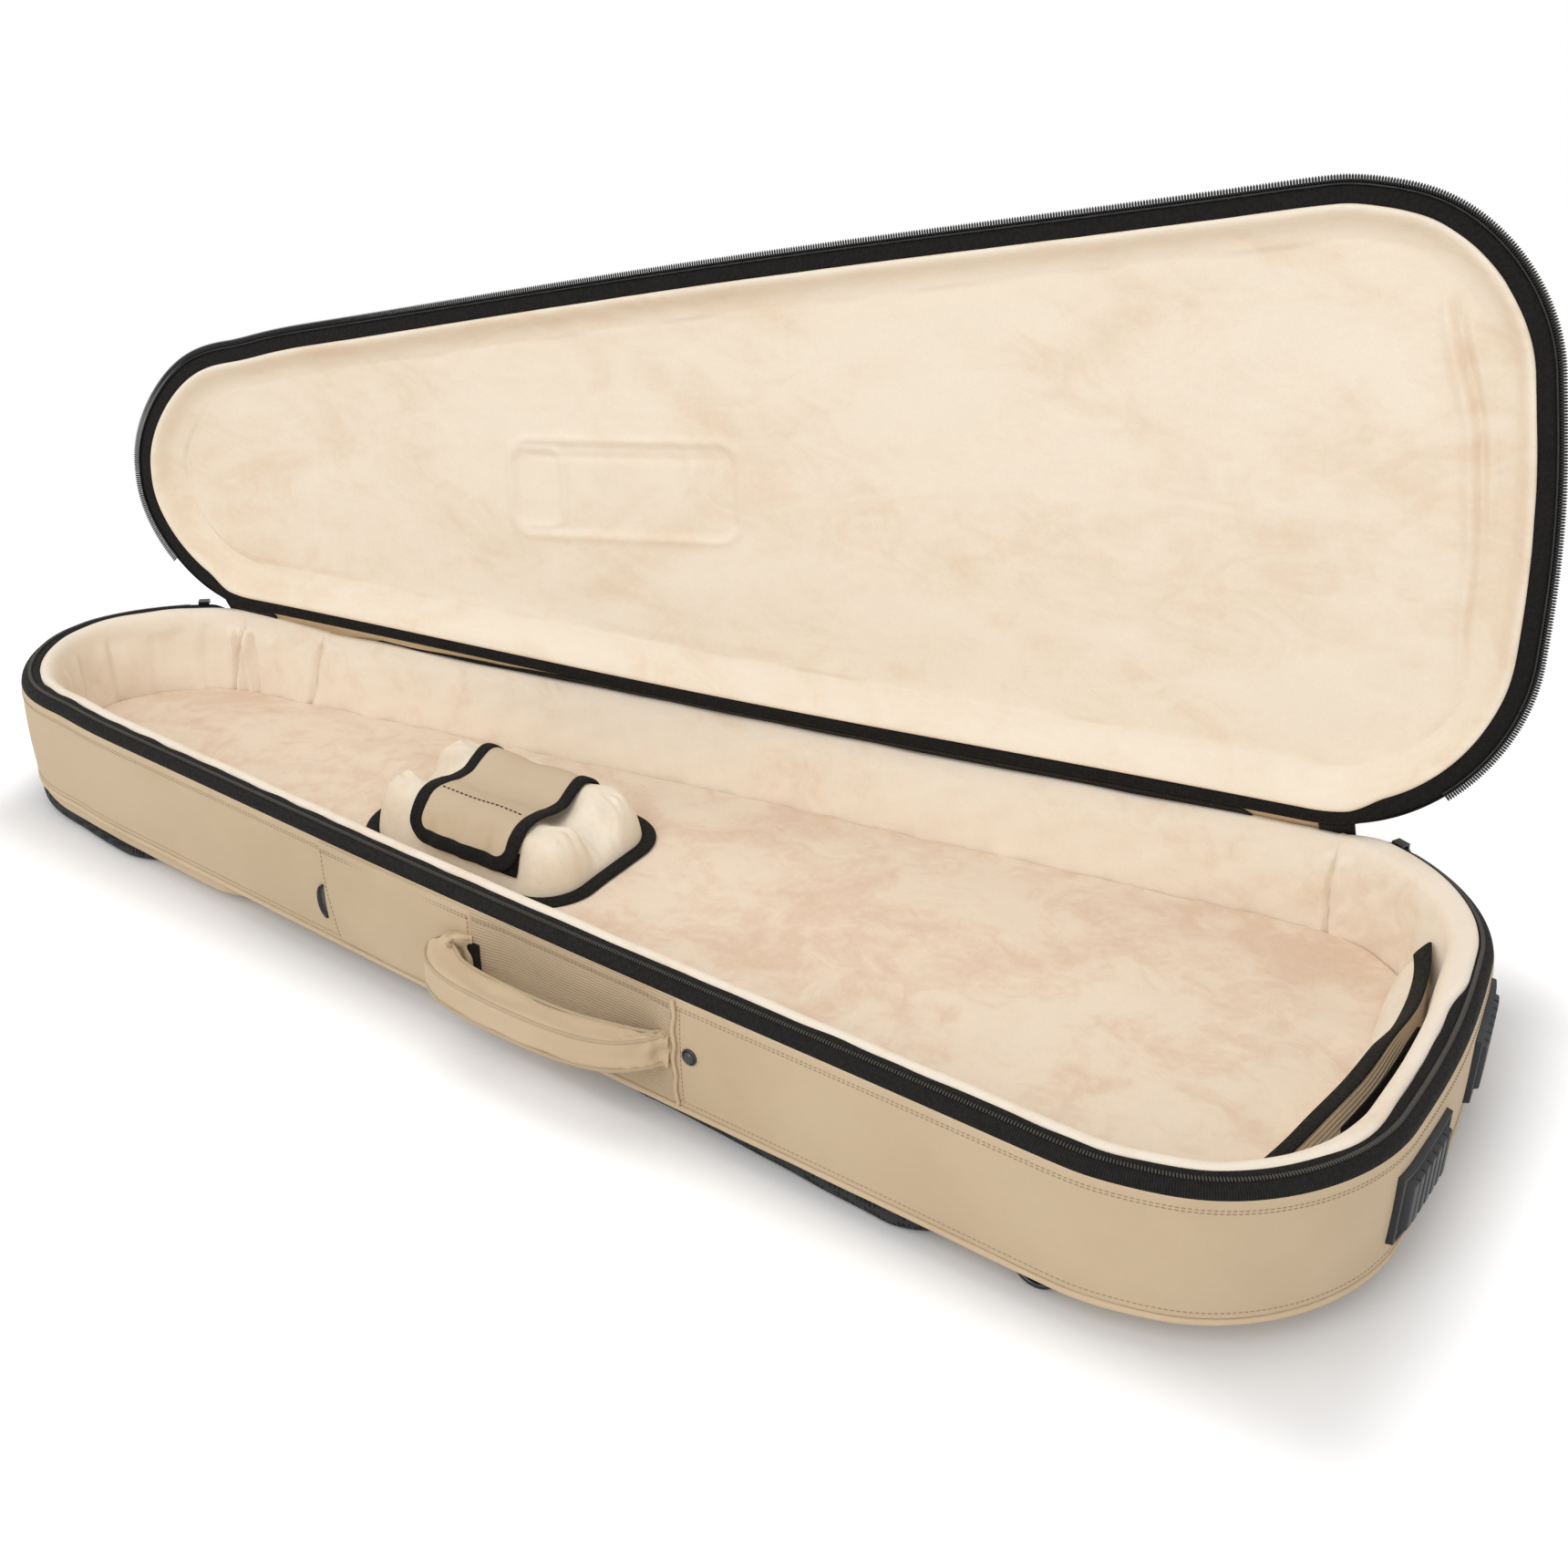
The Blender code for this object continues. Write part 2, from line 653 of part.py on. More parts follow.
def build_cradle():
    rings = []
    for along in cradle_stations():
        height_scale, width_scale = cradle_end_scale(along)
        x = CRADLE_X + along * CRADLE_HALF_LENGTH
        half = CRADLE_HALF_WIDTH * width_scale
        top = [(share * half, saddle_height(share) * height_scale) for share in SECTION_Y]
        foot = [(share * half, 0.0) for share in (0.66, 0.33, 0.0, -0.33, -0.66)]
        rings.append([Vector((x - ORIGIN_X, y, cushion_top(x, y) + CLEARANCE + lift)) for y, lift in top + foot])
    add_object("neck_cradle", *loft(rings), FELT)

    def rounded(half_length, half_width, radius):
        spots = []
        for corner, (sx, sy) in enumerate(((1, 1), (-1, 1), (-1, -1), (1, -1))):
            for step in range(5):
                angle = math.radians(corner * 90 + step * 22.5)
                spots.append((sx * (half_length - radius) + radius * math.cos(angle),
                              sy * (half_width - radius) + radius * math.sin(angle)))
            if corner % 2:
                end = half_length * (-1 if corner == 1 else 1)
                reach = (half_width - radius) * 0.5 * sy
                spots += [(end, reach), (end, 0.0), (end, -reach)]
        return spots

    gap = 5 * CLEARANCE
    inner = rounded(CRADLE_HALF_LENGTH + gap, CRADLE_HALF_WIDTH + gap, CRADLE_CORNER_R)
    width = CRADLE_BINDING_WIDTH
    outer = rounded(CRADLE_HALF_LENGTH + gap + width, CRADLE_HALF_WIDTH + gap + width,
                    CRADLE_CORNER_R + width)
    rings = []
    for (ix, iy), (ox, oy) in zip(inner, outer):
        section = []
        for (px, py), lift in (((ix, iy), 0.0), ((ox, oy), 0.0), ((ox, oy), 0.0016), ((ix, iy), 0.0024)):
            x = CRADLE_X + px
            section.append(Vector((x - ORIGIN_X, py, cushion_top(x, py) + CLEARANCE + lift)))
        rings.append(section)
    add_object("cradle_binding", *loft(rings, closed=True), BLACK_TAPE)


def flap_curve():
    """Hand-chosen section of the flap over the cradle: y and height over the cushion."""
    w, h = CRADLE_HALF_WIDTH, CRADLE_HEIGHT
    return [(0.835 * w, h - 0.0142), (0.72 * w, h - 0.0040), (0.535 * w, h + 0.0010), (0.33 * w, h - 0.0012),
            (0.12 * w, h - 0.0065), (-0.12 * w, h - 0.0065), (-0.33 * w, h - 0.0012),
            (-0.535 * w, h + 0.0010), (-0.72 * w, h - 0.0020), (-0.88 * w, h - 0.0125),
            (-0.99 * w, h - 0.0240)]


def curve_frames(curve, lengths):
    """Points and outward normals of a section line at given lengths along it."""
    spots = [Vector(p) for p in curve]
    marks = [0.0]
    for a, b in zip(spots, spots[1:]):
        marks.append(marks[-1] + (b - a).length)
    normals = []
    for index in range(len(spots)):
        along = (spots[min(index + 1, len(spots) - 1)] - spots[max(index - 1, 0)]).normalized()
        normals.append(Vector((along.y, -along.x)))
    frames = []
    for length in lengths:
        k = max(i for i in range(len(marks) - 1) if marks[i] <= length + 1e-9)
        share = (length - marks[k]) / (marks[k + 1] - marks[k])
        frames.append((spots[k].lerp(spots[k + 1], share), normals[k].lerp(normals[k + 1], share).normalized()))
    return frames, marks


def sheet_cells(xs, lengths, curve, inner, outer, mask):
    """A sheet over the cradle made of cells of a grid, between two offsets."""
    frames, _ = curve_frames(curve, lengths)

    def corner(i, j, offset):
        spot, normal = frames[j]
        spot = spot + normal * offset
        x = CRADLE_X + xs[i]
        return Vector((x - ORIGIN_X, spot.x, cushion_top(x, spot.x) + CLEARANCE + spot.y))

    vertices, lookup, faces = [], {}, []

    def vertex(i, j, side):
        if (i, j, side) not in lookup:
            lookup[(i, j, side)] = len(vertices)
            vertices.append(corner(i, j, outer if side else inner))
        return lookup[(i, j, side)]

    cells = [(i, j) for i in range(len(xs) - 1) for j in range(len(lengths) - 1) if mask(i, j)]
    for i, j in cells:
        for side in (0, 1):
            faces.append(tuple(vertex(a, b, side) for a, b in ((i, j), (i + 1, j), (i + 1, j + 1), (i, j + 1))))
        for (a, b), (c, d), other in (((i, j), (i + 1, j), (i, j - 1)), ((i, j + 1), (i + 1, j + 1), (i, j + 1)),
                                      ((i, j), (i, j + 1), (i - 1, j)), ((i + 1, j), (i + 1, j + 1), (i + 1, j))):
            if other not in cells:
                faces.append((vertex(a, b, 0), vertex(c, d, 0), vertex(c, d, 1), vertex(a, b, 1)))
    return vertices, faces


def build_flap():
    curve = flap_curve()
    _, marks = curve_frames(curve, [0.0])
    end = marks[-1]
    foot = end - FLAP_BINDING_WIDTH
    hinge_y, hinge_lift = curve[0]
    middle = Vector((CRADLE_X - ORIGIN_X, hinge_y, cushion_top(CRADLE_X, hinge_y) + CLEARANCE + hinge_lift))
    pivot = add_pivot("flap_pivot", middle)
    side = FLAP_HALF_WIDTH - FLAP_BINDING_WIDTH
    lengths = [m for m in marks if m < foot - 0.002] + [foot - CLEARANCE]
    xs = [-side + CLEARANCE, 0.0, side - CLEARANCE]
    body = sheet_cells(xs, lengths, curve, 0.0, FLAP_THICKNESS, lambda i, j: True)
    add_object("cradle_flap", *body, KHAKI, pivot)
    lengths = [m for m in marks if m < foot - 0.002] + [foot, end]
    last = len(lengths) - 2
    xs = [-FLAP_HALF_WIDTH, -side, side, FLAP_HALF_WIDTH]
    body = sheet_cells(xs, lengths, curve, -0.0004, FLAP_THICKNESS + 0.0004, lambda i, j: i != 1 or j == last)
    add_object("flap_binding", *body, BLACK_TAPE, pivot)
    lengths = [end - 0.020, end - 0.010, end]
    xs = [-side + 0.004, side - 0.002]
    body = sheet_cells(xs, lengths, curve, -0.0018, -0.0004 - CLEARANCE, lambda i, j: True)
    add_object("flap_hook_patch", *body, BLACK_TAPE, pivot)
    w = CRADLE_HALF_WIDTH
    slope = [(share * w, saddle_height(share)) for share in (-0.80, -0.87, -0.93)]
    _, slope_marks = curve_frames(slope, [0.0])
    body = sheet_cells([-side + 0.006, 0.0, side - 0.006], slope_marks, slope, 0.0006, 0.0012, lambda i, j: True)
    add_object("cradle_loop_patch", *body, BLACK_TAPE)


# The pocket at the wide end

def pocket_rings(x_offset, thickness, low, high, stations):
    """Sections of the leaning pocket panel between two heights over the cushion."""
    rings = []
    for share in stations:
        section = []
        for front, lift in ((True, low), (True, high), (False, high), (False, low)):
            rise = lift / POCKET_HEIGHT
            narrow = 1.0 if share < 0 else mix(1.0, 0.80, rise)
            half = POCKET_HALF_WIDTH - (0.0 if front else thickness * 1.5) - 0.010 * rise
            y = share * half * narrow
            bend = 0.010 * (y / POCKET_HALF_WIDTH + 1) / 2 * rise
            x = POCKET_X + x_offset + POCKET_LEAN * rise * 0.6 + bend + (0.0 if front else thickness)
            z = FLOOR_Z + CUSHION_HEIGHT + lift
            if lift == 0.0:
                z = cushion_top(x, y) + 2 * CLEARANCE
            section.append(Vector((x - ORIGIN_X, y, z)))
        rings.append(section)
    return rings


def build_pocket():
    stations = (-1.0, -0.7, -0.35, 0.0, 0.35, 0.7, 1.0)
    top = POCKET_HEIGHT
    split = top - POCKET_BINDING
    foot = 0.0
    add_object("end_pocket_panel", *loft(pocket_rings(0.0, POCKET_THICKNESS, foot, split, stations)), FELT)
    add_object("end_pocket_binding", *loft(
        pocket_rings(0.0, POCKET_THICKNESS, split + CLEARANCE, top, stations)), BLACK_TAPE)
    back = POCKET_THICKNESS + CLEARANCE
    rings = pocket_rings(back, 0.0012, foot, split, [s * 0.84 for s in stations])
    add_object("end_pocket_back_sheet", *loft(rings), KHAKI)
    first, last = tail_station(CLOSURE_START_Y), tail_station(CLOSURE_END_Y)

    def strip(sample):
        high = RIM_Z - CLOSURE_DROP
        low = high - CLOSURE_WIDTH
        return [(lining_depth(low) + CLEARANCE, low), (lining_depth(high) + CLEARANCE, high),
                (lining_depth(high) + 0.0013, high), (lining_depth(low) + 0.0013, low)]

    base_band("pocket_closure_strip", strip, BLACK_TAPE, stations_between(first, last))


# The near side

def near_panel(name, x0, x1, out0, out1, z0, z1, spec):
    """A flat panel on the outside of the near wall."""
    stations = stations_between(near_station(x0), near_station(x1))
    base_band(name, lambda s: [(-out0, z0), (-out0, z1), (-out1, z1), (-out1, z0)], spec, stations)


def near_frame(x):
    """Outer point, direction along the wall and outward direction of the near side."""
    sample = sample_at(near_station(x))
    outward = Vector((sample.nx, sample.ny, 0.0)).normalized()
    along = Vector((-outward.y, outward.x, 0.0))
    return sample, along, outward


def build_near_side():
    low = STAND_HEIGHT + 0.006
    high = RIM_Z - 0.0005
    out = CLEARANCE + PANEL_THICKNESS
    near_panel("side_overlay_panel", OVERLAY_START_X, HANDLE_START_X - 0.001, CLEARANCE, out, low, high, KHAKI)
    near_panel("handle_backing_panel", HANDLE_START_X - 0.001 + CLEARANCE, HANDLE_END_X - 0.0018,
               CLEARANCE, out, low, high, KHAKI)
    sample, along, outward = near_frame(HANDLE_END_X)
    points = []
    for z in (low, RIM_Z - 0.050, high):
        points.append(place(sample, -CLEARANCE - 0.0014, z))
    add_object("handle_seam_piping", *loft(tube_rings(points, 0.0014, 8)), KHAKI)

    sample, along, outward = near_frame(RIVET_X)
    seat = place(sample, -CLEARANCE, RIM_Z - HANDLE_DROP)
    rings = []
    for radius, out in ((0.86, 0.0), (1.0, 0.0004), (1.0, 0.0014), (0.62, 0.0024), (0.25, 0.0028)):
        spin = [2 * math.pi * k / 14 for k in range(14)]
        rings.append([seat + outward * out + RIVET_R * radius * (
            math.cos(a) * along + math.sin(a) * Vector((0, 0, 1))) for a in spin])
    add_object("handle_rivet", *loft(rings), BLACK_METAL)

    steps = 10
    centre_z = RIM_Z - 0.047
    rings = []
    for step in range(steps + 1):
        angle = math.radians(mix(90, 270, step / steps))
        section = []
        for scale, out in ((1.0, CLEARANCE), (1.0, 0.0014), (0.66, 0.0018), (0.66, CLEARANCE)):
            dx = GROMMET_WIDTH * scale * math.cos(angle)
            dz = (GROMMET_HALF_HEIGHT - GROMMET_WIDTH * (1 - scale)) * math.sin(angle)
            spot, _, _ = near_frame(OVERLAY_START_X - CLEARANCE + dx)
            section.append(place(spot, -out, centre_z + dz))
        rings.append(section)
    add_object("side_grommet", *loft(rings), BLACK_PLASTIC)


def handle_axis():
    z = RIM_Z - HANDLE_DROP
    start = place(sample_at(near_station(HANDLE_START_X)), -HANDLE_AXIS_OUT, z)
    end = place(sample_at(near_station(HANDLE_END_X - 0.006)), -HANDLE_AXIS_OUT, z)
    return start, end


def build_handle():
    start, end = handle_axis()
    along = (end - start).normalized()
    outward = Vector((along.y, -along.x, 0.0))
    span = (end - start).length
    reach = HANDLE_REACH - HANDLE_AXIS_OUT
    sag = 0.004
    chosen = [(0.03, 0.0, 0.0), (0.0, 0.0, 0.0), (-0.045, 0.22, 0.05), (-0.065, 0.52, 0.15), (0.00, 0.84, 0.35),
              (0.12, 0.97, 0.7), (0.35, 1.0, 1.0), (0.62, 0.93, 0.9), (0.82, 0.70, 0.5), (0.94, 0.32, 0.2),
              (0.99, 0.0, 0.0), (1.015, 0.0, 0.0)]
    points = [start + along * (u * span) + outward * (v * reach) - Vector((0, 0, w * sag)) for u, v, w in chosen]
    path = smooth_path(points, 2)
    pivot = add_pivot("handle_pivot", (start + end) / 2)
    count = len(path) - 1
    half_sizes = []
    for point in path:
        fullness = smoothstep((point - start).dot(outward) / (reach * 0.9))
        half_sizes.append((mix(HANDLE_END_HALF_DEPTH, HANDLE_HALF_DEPTH, fullness),
                           mix(HANDLE_END_HALF_HEIGHT, HANDLE_HALF_HEIGHT, fullness)))

    def sections(scale, sides):
        rings = []
        for index, point in enumerate(path):
            ahead, behind = path[min(index + 1, count)], path[max(index - 1, 0)]
            across = (ahead - behind).cross(Vector((0, 0, 1))).normalized()
            depth, height = half_sizes[index]
            section = []
            for k in range(sides):
                angle = 2 * math.pi * (k + 0.5) / sides
                c, s = math.cos(angle), math.sin(angle)
                fuller = scale / (abs(c) ** 3 + abs(s) ** 3) ** (1 / 3)
                section.append(point + across * (depth * c * fuller) + Vector((0, 0, height * s * fuller)))
            rings.append(section)
        return rings

    tube = [outer + inner for outer, inner in zip(sections(1.0, 10), sections(0.58, 10))]
    add_object("handle_cover", *hollow_loft(tube), KHAKI, pivot)
    add_object("handle_core", *loft(sections(0.46, 8)), FOAM, pivot)


# Bumpers on the wide end

def build_bumpers():
    top = RIM_Z - BUMPER_DROP
    low = top - BUMPER_HEIGHT
    border = 0.005
    for name, centre in (("near", -BUMPER_Y), ("far", BUMPER_Y)):
        rings = []
        first, last = tail_station(centre - BUMPER_HALF_WIDTH), tail_station(centre + BUMPER_HALF_WIDTH)
        marks = [(0.0, BUMPER_PLATE), (border, BUMPER_PLATE)]
        width = 2 * BUMPER_HALF_WIDTH - 2 * border
        pitch = width / BUMPER_RIBS
        for rib in range(BUMPER_RIBS):
            at = border + rib * pitch
            marks += [(at + pitch * 0.10, BUMPER_GROOVE), (at + pitch * 0.25, BUMPER_RIB),
                      (at + pitch * 0.75, BUMPER_RIB), (at + pitch * 0.90, BUMPER_GROOVE)]
        marks += [(border + width, BUMPER_PLATE), (2 * BUMPER_HALF_WIDTH, BUMPER_PLATE)]
        for at, reach in marks:
            sample = sample_at(mix(first, last, at / (2 * BUMPER_HALF_WIDTH)))
            inside, outside = -CLEARANCE, -CLEARANCE - BUMPER_PLATE
            full = -CLEARANCE - reach
            profile = [(inside, low), (inside, top), (outside, top), (outside, top - border),
                       (full - 0.00001, top - border - 0.003), (full - 0.00001, low + border + 0.003),
                       (outside, low + border), (outside, low)]
            rings.append([place(sample, i, z) for i, z in profile])
        add_object("bumper_" + name, *loft(rings), RUBBER, smooth=False)


# Underside

def side_half_width(x, inset):
    return inner_half_width(x, inset, STAND_HEIGHT)


def pad_outline(x0, x1, inset, corner, steps=5):
    """Rounded outline of a pad under the bottom, following the bag's sides."""
    a0, a1 = side_half_width(x0, inset), side_half_width(x1, inset)
    corners = [((x0, -a0), 180), ((x1, -a1), 270), ((x1, a1), 0), ((x0, a0), 90)]
    spots = []
    for (x, y), start in corners:
        cx = x + (corner if x == x0 else -corner)
        cy = y + (corner if y < 0 else -corner)
        for step in range(steps + 1):
            angle = math.radians(start + 90 * step / steps)
            spots.append(Vector((cx + corner * math.cos(angle), cy + corner * math.sin(angle))))
    return spots


def head_pad_outline(x0, x1, inset, corner, steps=5):
    """Outline of a pad under the narrow end, following the bag's rounded head."""
    near = []
    for sample in OUTLINE[:SIDE_LAST]:
        spot = place(sample, inset, STAND_HEIGHT)
        x = spot.x + ORIGIN_X
        if x < x1 - corner:
            near.append(Vector((max(x, x0), spot.y)))
    half = side_half_width(x1, inset)
    for step in range(steps + 1):
        angle = math.radians(mix(270, 360, step / steps))
        near.append(Vector((x1 - corner + corner * math.cos(angle), corner - half + corner * math.sin(angle))))
    return near + [Vector((spot.x, -spot.y)) for spot in near[:0:-1]]


def pad_rings(outline, levels):
    """Rings of a soft pad: each level is a height and how far the outline is drawn in."""
    centre = sum(outline, Vector((0, 0))) / len(outline)
    rings = []
    for z, draw in levels:
        section = []
        for spot in outline:
            arm = spot - centre
            moved = centre + arm * (1 - draw / arm.length)
            section.append(Vector((moved.x - ORIGIN_X, moved.y, z)))
        rings.append(section)
    return rings


def build_underside():
    top = STAND_HEIGHT - CLEARANCE
    outline = pad_outline(MESH_PAD_START_X, MESH_PAD_END_X, MESH_PAD_INSET, MESH_PAD_CORNER)
    levels = [(top, 0.004), (top * 0.80, 0.0), (top * 0.45, 0.002), (top * 0.20, 0.010), (FLAT_CUT * 1.2, 0.024),
              (0.0, 0.034)]
    plate("mesh_back_pad", pad_rings(outline, levels), BLACK_MESH)

    outline = head_pad_outline(HEAD_PAD_START_X, HEAD_PAD_END_X, PAD_INSET, 0.045)
    t = HEAD_PAD_THICKNESS
    levels = [(t, 0.002), (t * 0.7, 0.0), (t * 0.35, 0.003), (FLAT_CUT, 0.010), (0.0, 0.016)]
    plate("head_back_pad", pad_rings(outline, levels), BLACK_MESH)

    outline = head_pad_outline(COVER_START_X, COVER_END_X, PAD_INSET - 0.004, 0.045)
    low = top - COVER_THICKNESS
    levels = [(top, 0.004), (mix(low, top, 0.6), 0.0), (mix(low, top, 0.25), 0.002), (low, 0.008)]
    plate("strap_cover", pad_rings(outline, levels), KHAKI)

    pad_face = MESH_PAD_START_X
    for name, side in (("near", -1), ("far", 1)):
        y0, y1 = sorted((side * (WEBBING_Y - WEBBING_WIDTH / 2), side * (WEBBING_Y + WEBBING_WIDTH / 2)))
        z1 = top - 0.0006 - ADJUSTER_FRAME
        z0 = z1 - WEBBING_THICKNESS
        x0, x1 = COVER_END_X + 0.0006 - ORIGIN_X, pad_face - 0.0006 - ORIGIN_X
        add_object("strap_webbing_" + name, *box_body((x0, x1), (y0, y1), (z0, z1)), BLACK_TAPE, smooth=False)
        pivot = add_pivot("adjuster_pivot_" + name, (ADJUSTER_X - ORIGIN_X, side * WEBBING_Y, (z0 + z1) / 2))
        build_adjuster("strap_adjuster_" + name, pivot, (y0, y1), (z0, z1))
        build_ring(name, side)


def build_adjuster(name, pivot, y_range, z_range):
    """A flat buckle with a slot that the webbing runs through."""
    gap = 0.0004
    inner = [(y_range[0] - gap, z_range[0] - gap), (y_range[1] + gap, z_range[0] - gap),
             (y_range[1] + gap, z_range[1] + gap), (y_range[0] - gap, z_range[1] + gap)]
    f = ADJUSTER_FRAME - 0.0006
    signs = [(-1, -1), (1, -1), (1, 1), (-1, 1)]
    outer = [(y + sy * f, z + sz * f) for (y, z), (sy, sz) in zip(inner, signs)]
    x0 = pivot.location.x - ADJUSTER_LENGTH / 2
    x1 = pivot.location.x + ADJUSTER_LENGTH / 2
    rings = []
    for (iy, iz), (oy, oz) in zip(inner, outer):
        rings.append([Vector((x0, iy, iz)), Vector((x0, oy, oz)), Vector((x1, oy, oz)), Vector((x1, iy, iz))])
    add_object(name, *loft(rings, closed=True), BLACK_PLASTIC, pivot, smooth=False)


def ring_axis(side):
    """Middle of a D-ring's bar and the direction of the bar."""
    sample = sample_at(near_station(RING_X))
    spot = place(sample, RING_SIDE_INSET, STAND_HEIGHT)
    along = Vector((-sample.ny, sample.nx, 0.0)).normalized()
    z = STAND_HEIGHT - CLEARANCE - 0.0016 - LOOP_GAP - RING_WIRE
    return Vector((spot.x, -side * spot.y, z)), Vector((along.x, -side * along.y, 0.0))


def build_ring(name, side):
    middle, along = ring_axis(side)
    outward = Vector((along.y, -along.x, 0.0)) * -side
    pivot = add_pivot("ring_pivot_" + name, middle)
    half, depth = RING_HALF_WIDTH, RING_DEPTH
    points = []
    for share in (-0.6, -0.2, 0.2, 0.6):
        points.append(middle + along * (half * share))
    for step in range(9):
        angle = math.radians(mix(-6, 186, step / 8))
        points.append(middle + along * (half * math.cos(angle)) - Vector((0, 0, 0.002 + (depth - 0.002)
                      * max(0.0, math.sin(angle)))))
    add_object("d_ring_" + name, *loft(tube_rings(points, RING_WIRE, 8, closed=True), closed=True),
               BLACK_METAL, pivot)
    inner_r = RING_WIRE + LOOP_GAP
    outer_r = inner_r + 0.0014
    loop_half = 0.0070
    rings = []
    for k in range(12):
        angle = 2 * math.pi * k / 12
        c, s = math.cos(angle), math.sin(angle)
        section = []
        for radius, end in ((inner_r, -1), (outer_r, -1), (outer_r, 1), (inner_r, 1)):
            section.append(middle + along * (loop_half * end) + outward * (radius * c) + Vector((0, 0, radius * s)))
        rings.append(section)
    add_object("ring_loop_" + name, *loft(rings, closed=True), BLACK_TAPE)


# Zipper sliders and pulls

def build_sliders():
    for name, at_head in (("head", True), ("tail", False)):
        station = far_turn_station(SLIDER_TURN, at_head)
        ahead_station = far_turn_station(SLIDER_TURN + 8.0, at_head)
        here = place(sample_at(station), COIL_INSET, RIM_Z + COIL_HEIGHT)
        ahead = place(sample_at(ahead_station), COIL_INSET, RIM_Z + COIL_HEIGHT)
        along = (ahead - here).normalized()
        outward = Vector((along.y, -along.x, 0.0))
        sample = sample_at(station)
        if outward.x * sample.nx + outward.y * sample.ny < 0:
            outward = -outward
        pivot = add_pivot("slider_pivot_" + name, here)
        channel = COIL_R + SLIDER_SIDE_GAP
        top = COIL_R + CLEARANCE
        foot_out, foot_in = -0.0006, -0.0004
        w = SLIDER_WALL
        section = [(channel + w, foot_out), (channel + w, top + w - 0.0002), (-channel - w, top + w - 0.0002),
                   (-channel - w, foot_in), (-channel, foot_in), (-channel, top), (channel, top), (channel, foot_out)]
        rings = []
        for end in (-0.5, 0.5):
            rings.append([here + along * (end * SLIDER_LENGTH) + outward * o + Vector((0, 0, z)) for o, z in section])
        add_object("zipper_slider_" + name, *loft(rings), BLACK_METAL, pivot, smooth=False)

        hinge = here + outward * (channel + w + CLEARANCE + PULL_THICKNESS / 2) + Vector((0, 0, 0.0010))
        pull_pivot = add_pivot("pull_pivot_" + name, hinge)
        t = PULL_THICKNESS / 2
        rings = []
        for drop, half in ((-0.0006, 0.55), (0.004, 0.60), (0.008, 1.0), (PULL_LENGTH - 0.004, 1.0),
                           (PULL_LENGTH, 0.6)):
            half *= PULL_WIDTH / 2
            lean = 0.0035 * smoothstep(drop / 0.010)
            rings.append([hinge + along * a + outward * (o + lean) - Vector((0, 0, drop))
                          for a, o in ((-half, -t), (half, -t), (half, t), (-half, t))])
        add_object("zipper_pull_" + name, *loft(rings), BLACK_PLASTIC, pull_pivot)


# The hinge strip and the lid

def hinge_line():
    """A point on the straight far edge, the direction along it and the way inwards."""
    a = OUTLINE[2 * (NEAR_COUNT - 1) - SIDE_LAST]
    b = OUTLINE[2 * (NEAR_COUNT - 1) - SIDE_FIRST]
    along = Vector((a.x - b.x, a.y - b.y, 0.0)).normalized()
    inward = Vector((along.y, -along.x, 0.0))
    middle = Vector(((a.x + b.x) / 2 - ORIGIN_X, (a.y + b.y) / 2, RIM_Z)) - inward * SIDE_BOW
    return middle, along, inward


def lid_axis():
    """The axis that takes the lid's far edge from its closed to its open place."""
    middle, along, inward = hinge_line()
    closed = Vector((0.0, LID_RIM))
    opened = Vector((LID_SET_IN, 0.0))
    chord = opened - closed
    half = chord.length / 2
    away = half / math.tan(math.radians(LID_OPEN_DEG) / 2)
    normal = Vector((-chord.y, chord.x)).normalized()
    if normal.y < 0:
        normal = -normal
    spot = (closed + opened) / 2 + normal * away
    return middle + inward * spot.x + Vector((0, 0, spot.y)), along


def strip_axis():
    middle, along, inward = hinge_line()
    return middle + inward * (SKIN / 2) - Vector((0, 0, HINGE_DROP - 0.0012)), along


def lid_slope():
    return math.tan(math.radians(LID_OPEN_DEG - 90.0))


def build_hinge_strip():
    """Lies on the far wall under the open lid, from the wall's top to the lid's edge."""
    location, _ = strip_axis()
    pivot = add_pivot("strip_pivot", location)
    outer, inner = 0.0006, LID_SET_IN - 0.0006
    rings = []
    for station in stations_between(far_station(STRIP_TAIL_X), far_station(STRIP_HEAD_X)):
        sample = sample_at(station)
        section = []
        for inset, under in ((outer, 0.0), (inner, 0.0), (inner, STRIP_THICKNESS), (outer, STRIP_THICKNESS)):
            z = RIM_Z - (LID_SET_IN - inset) * lid_slope() - 0.0005 - under
            section.append(place_lid(sample, inset, z))
        rings.append(section)
    add_object("hinge_strip", *loft(rings), KHAKI, pivot)


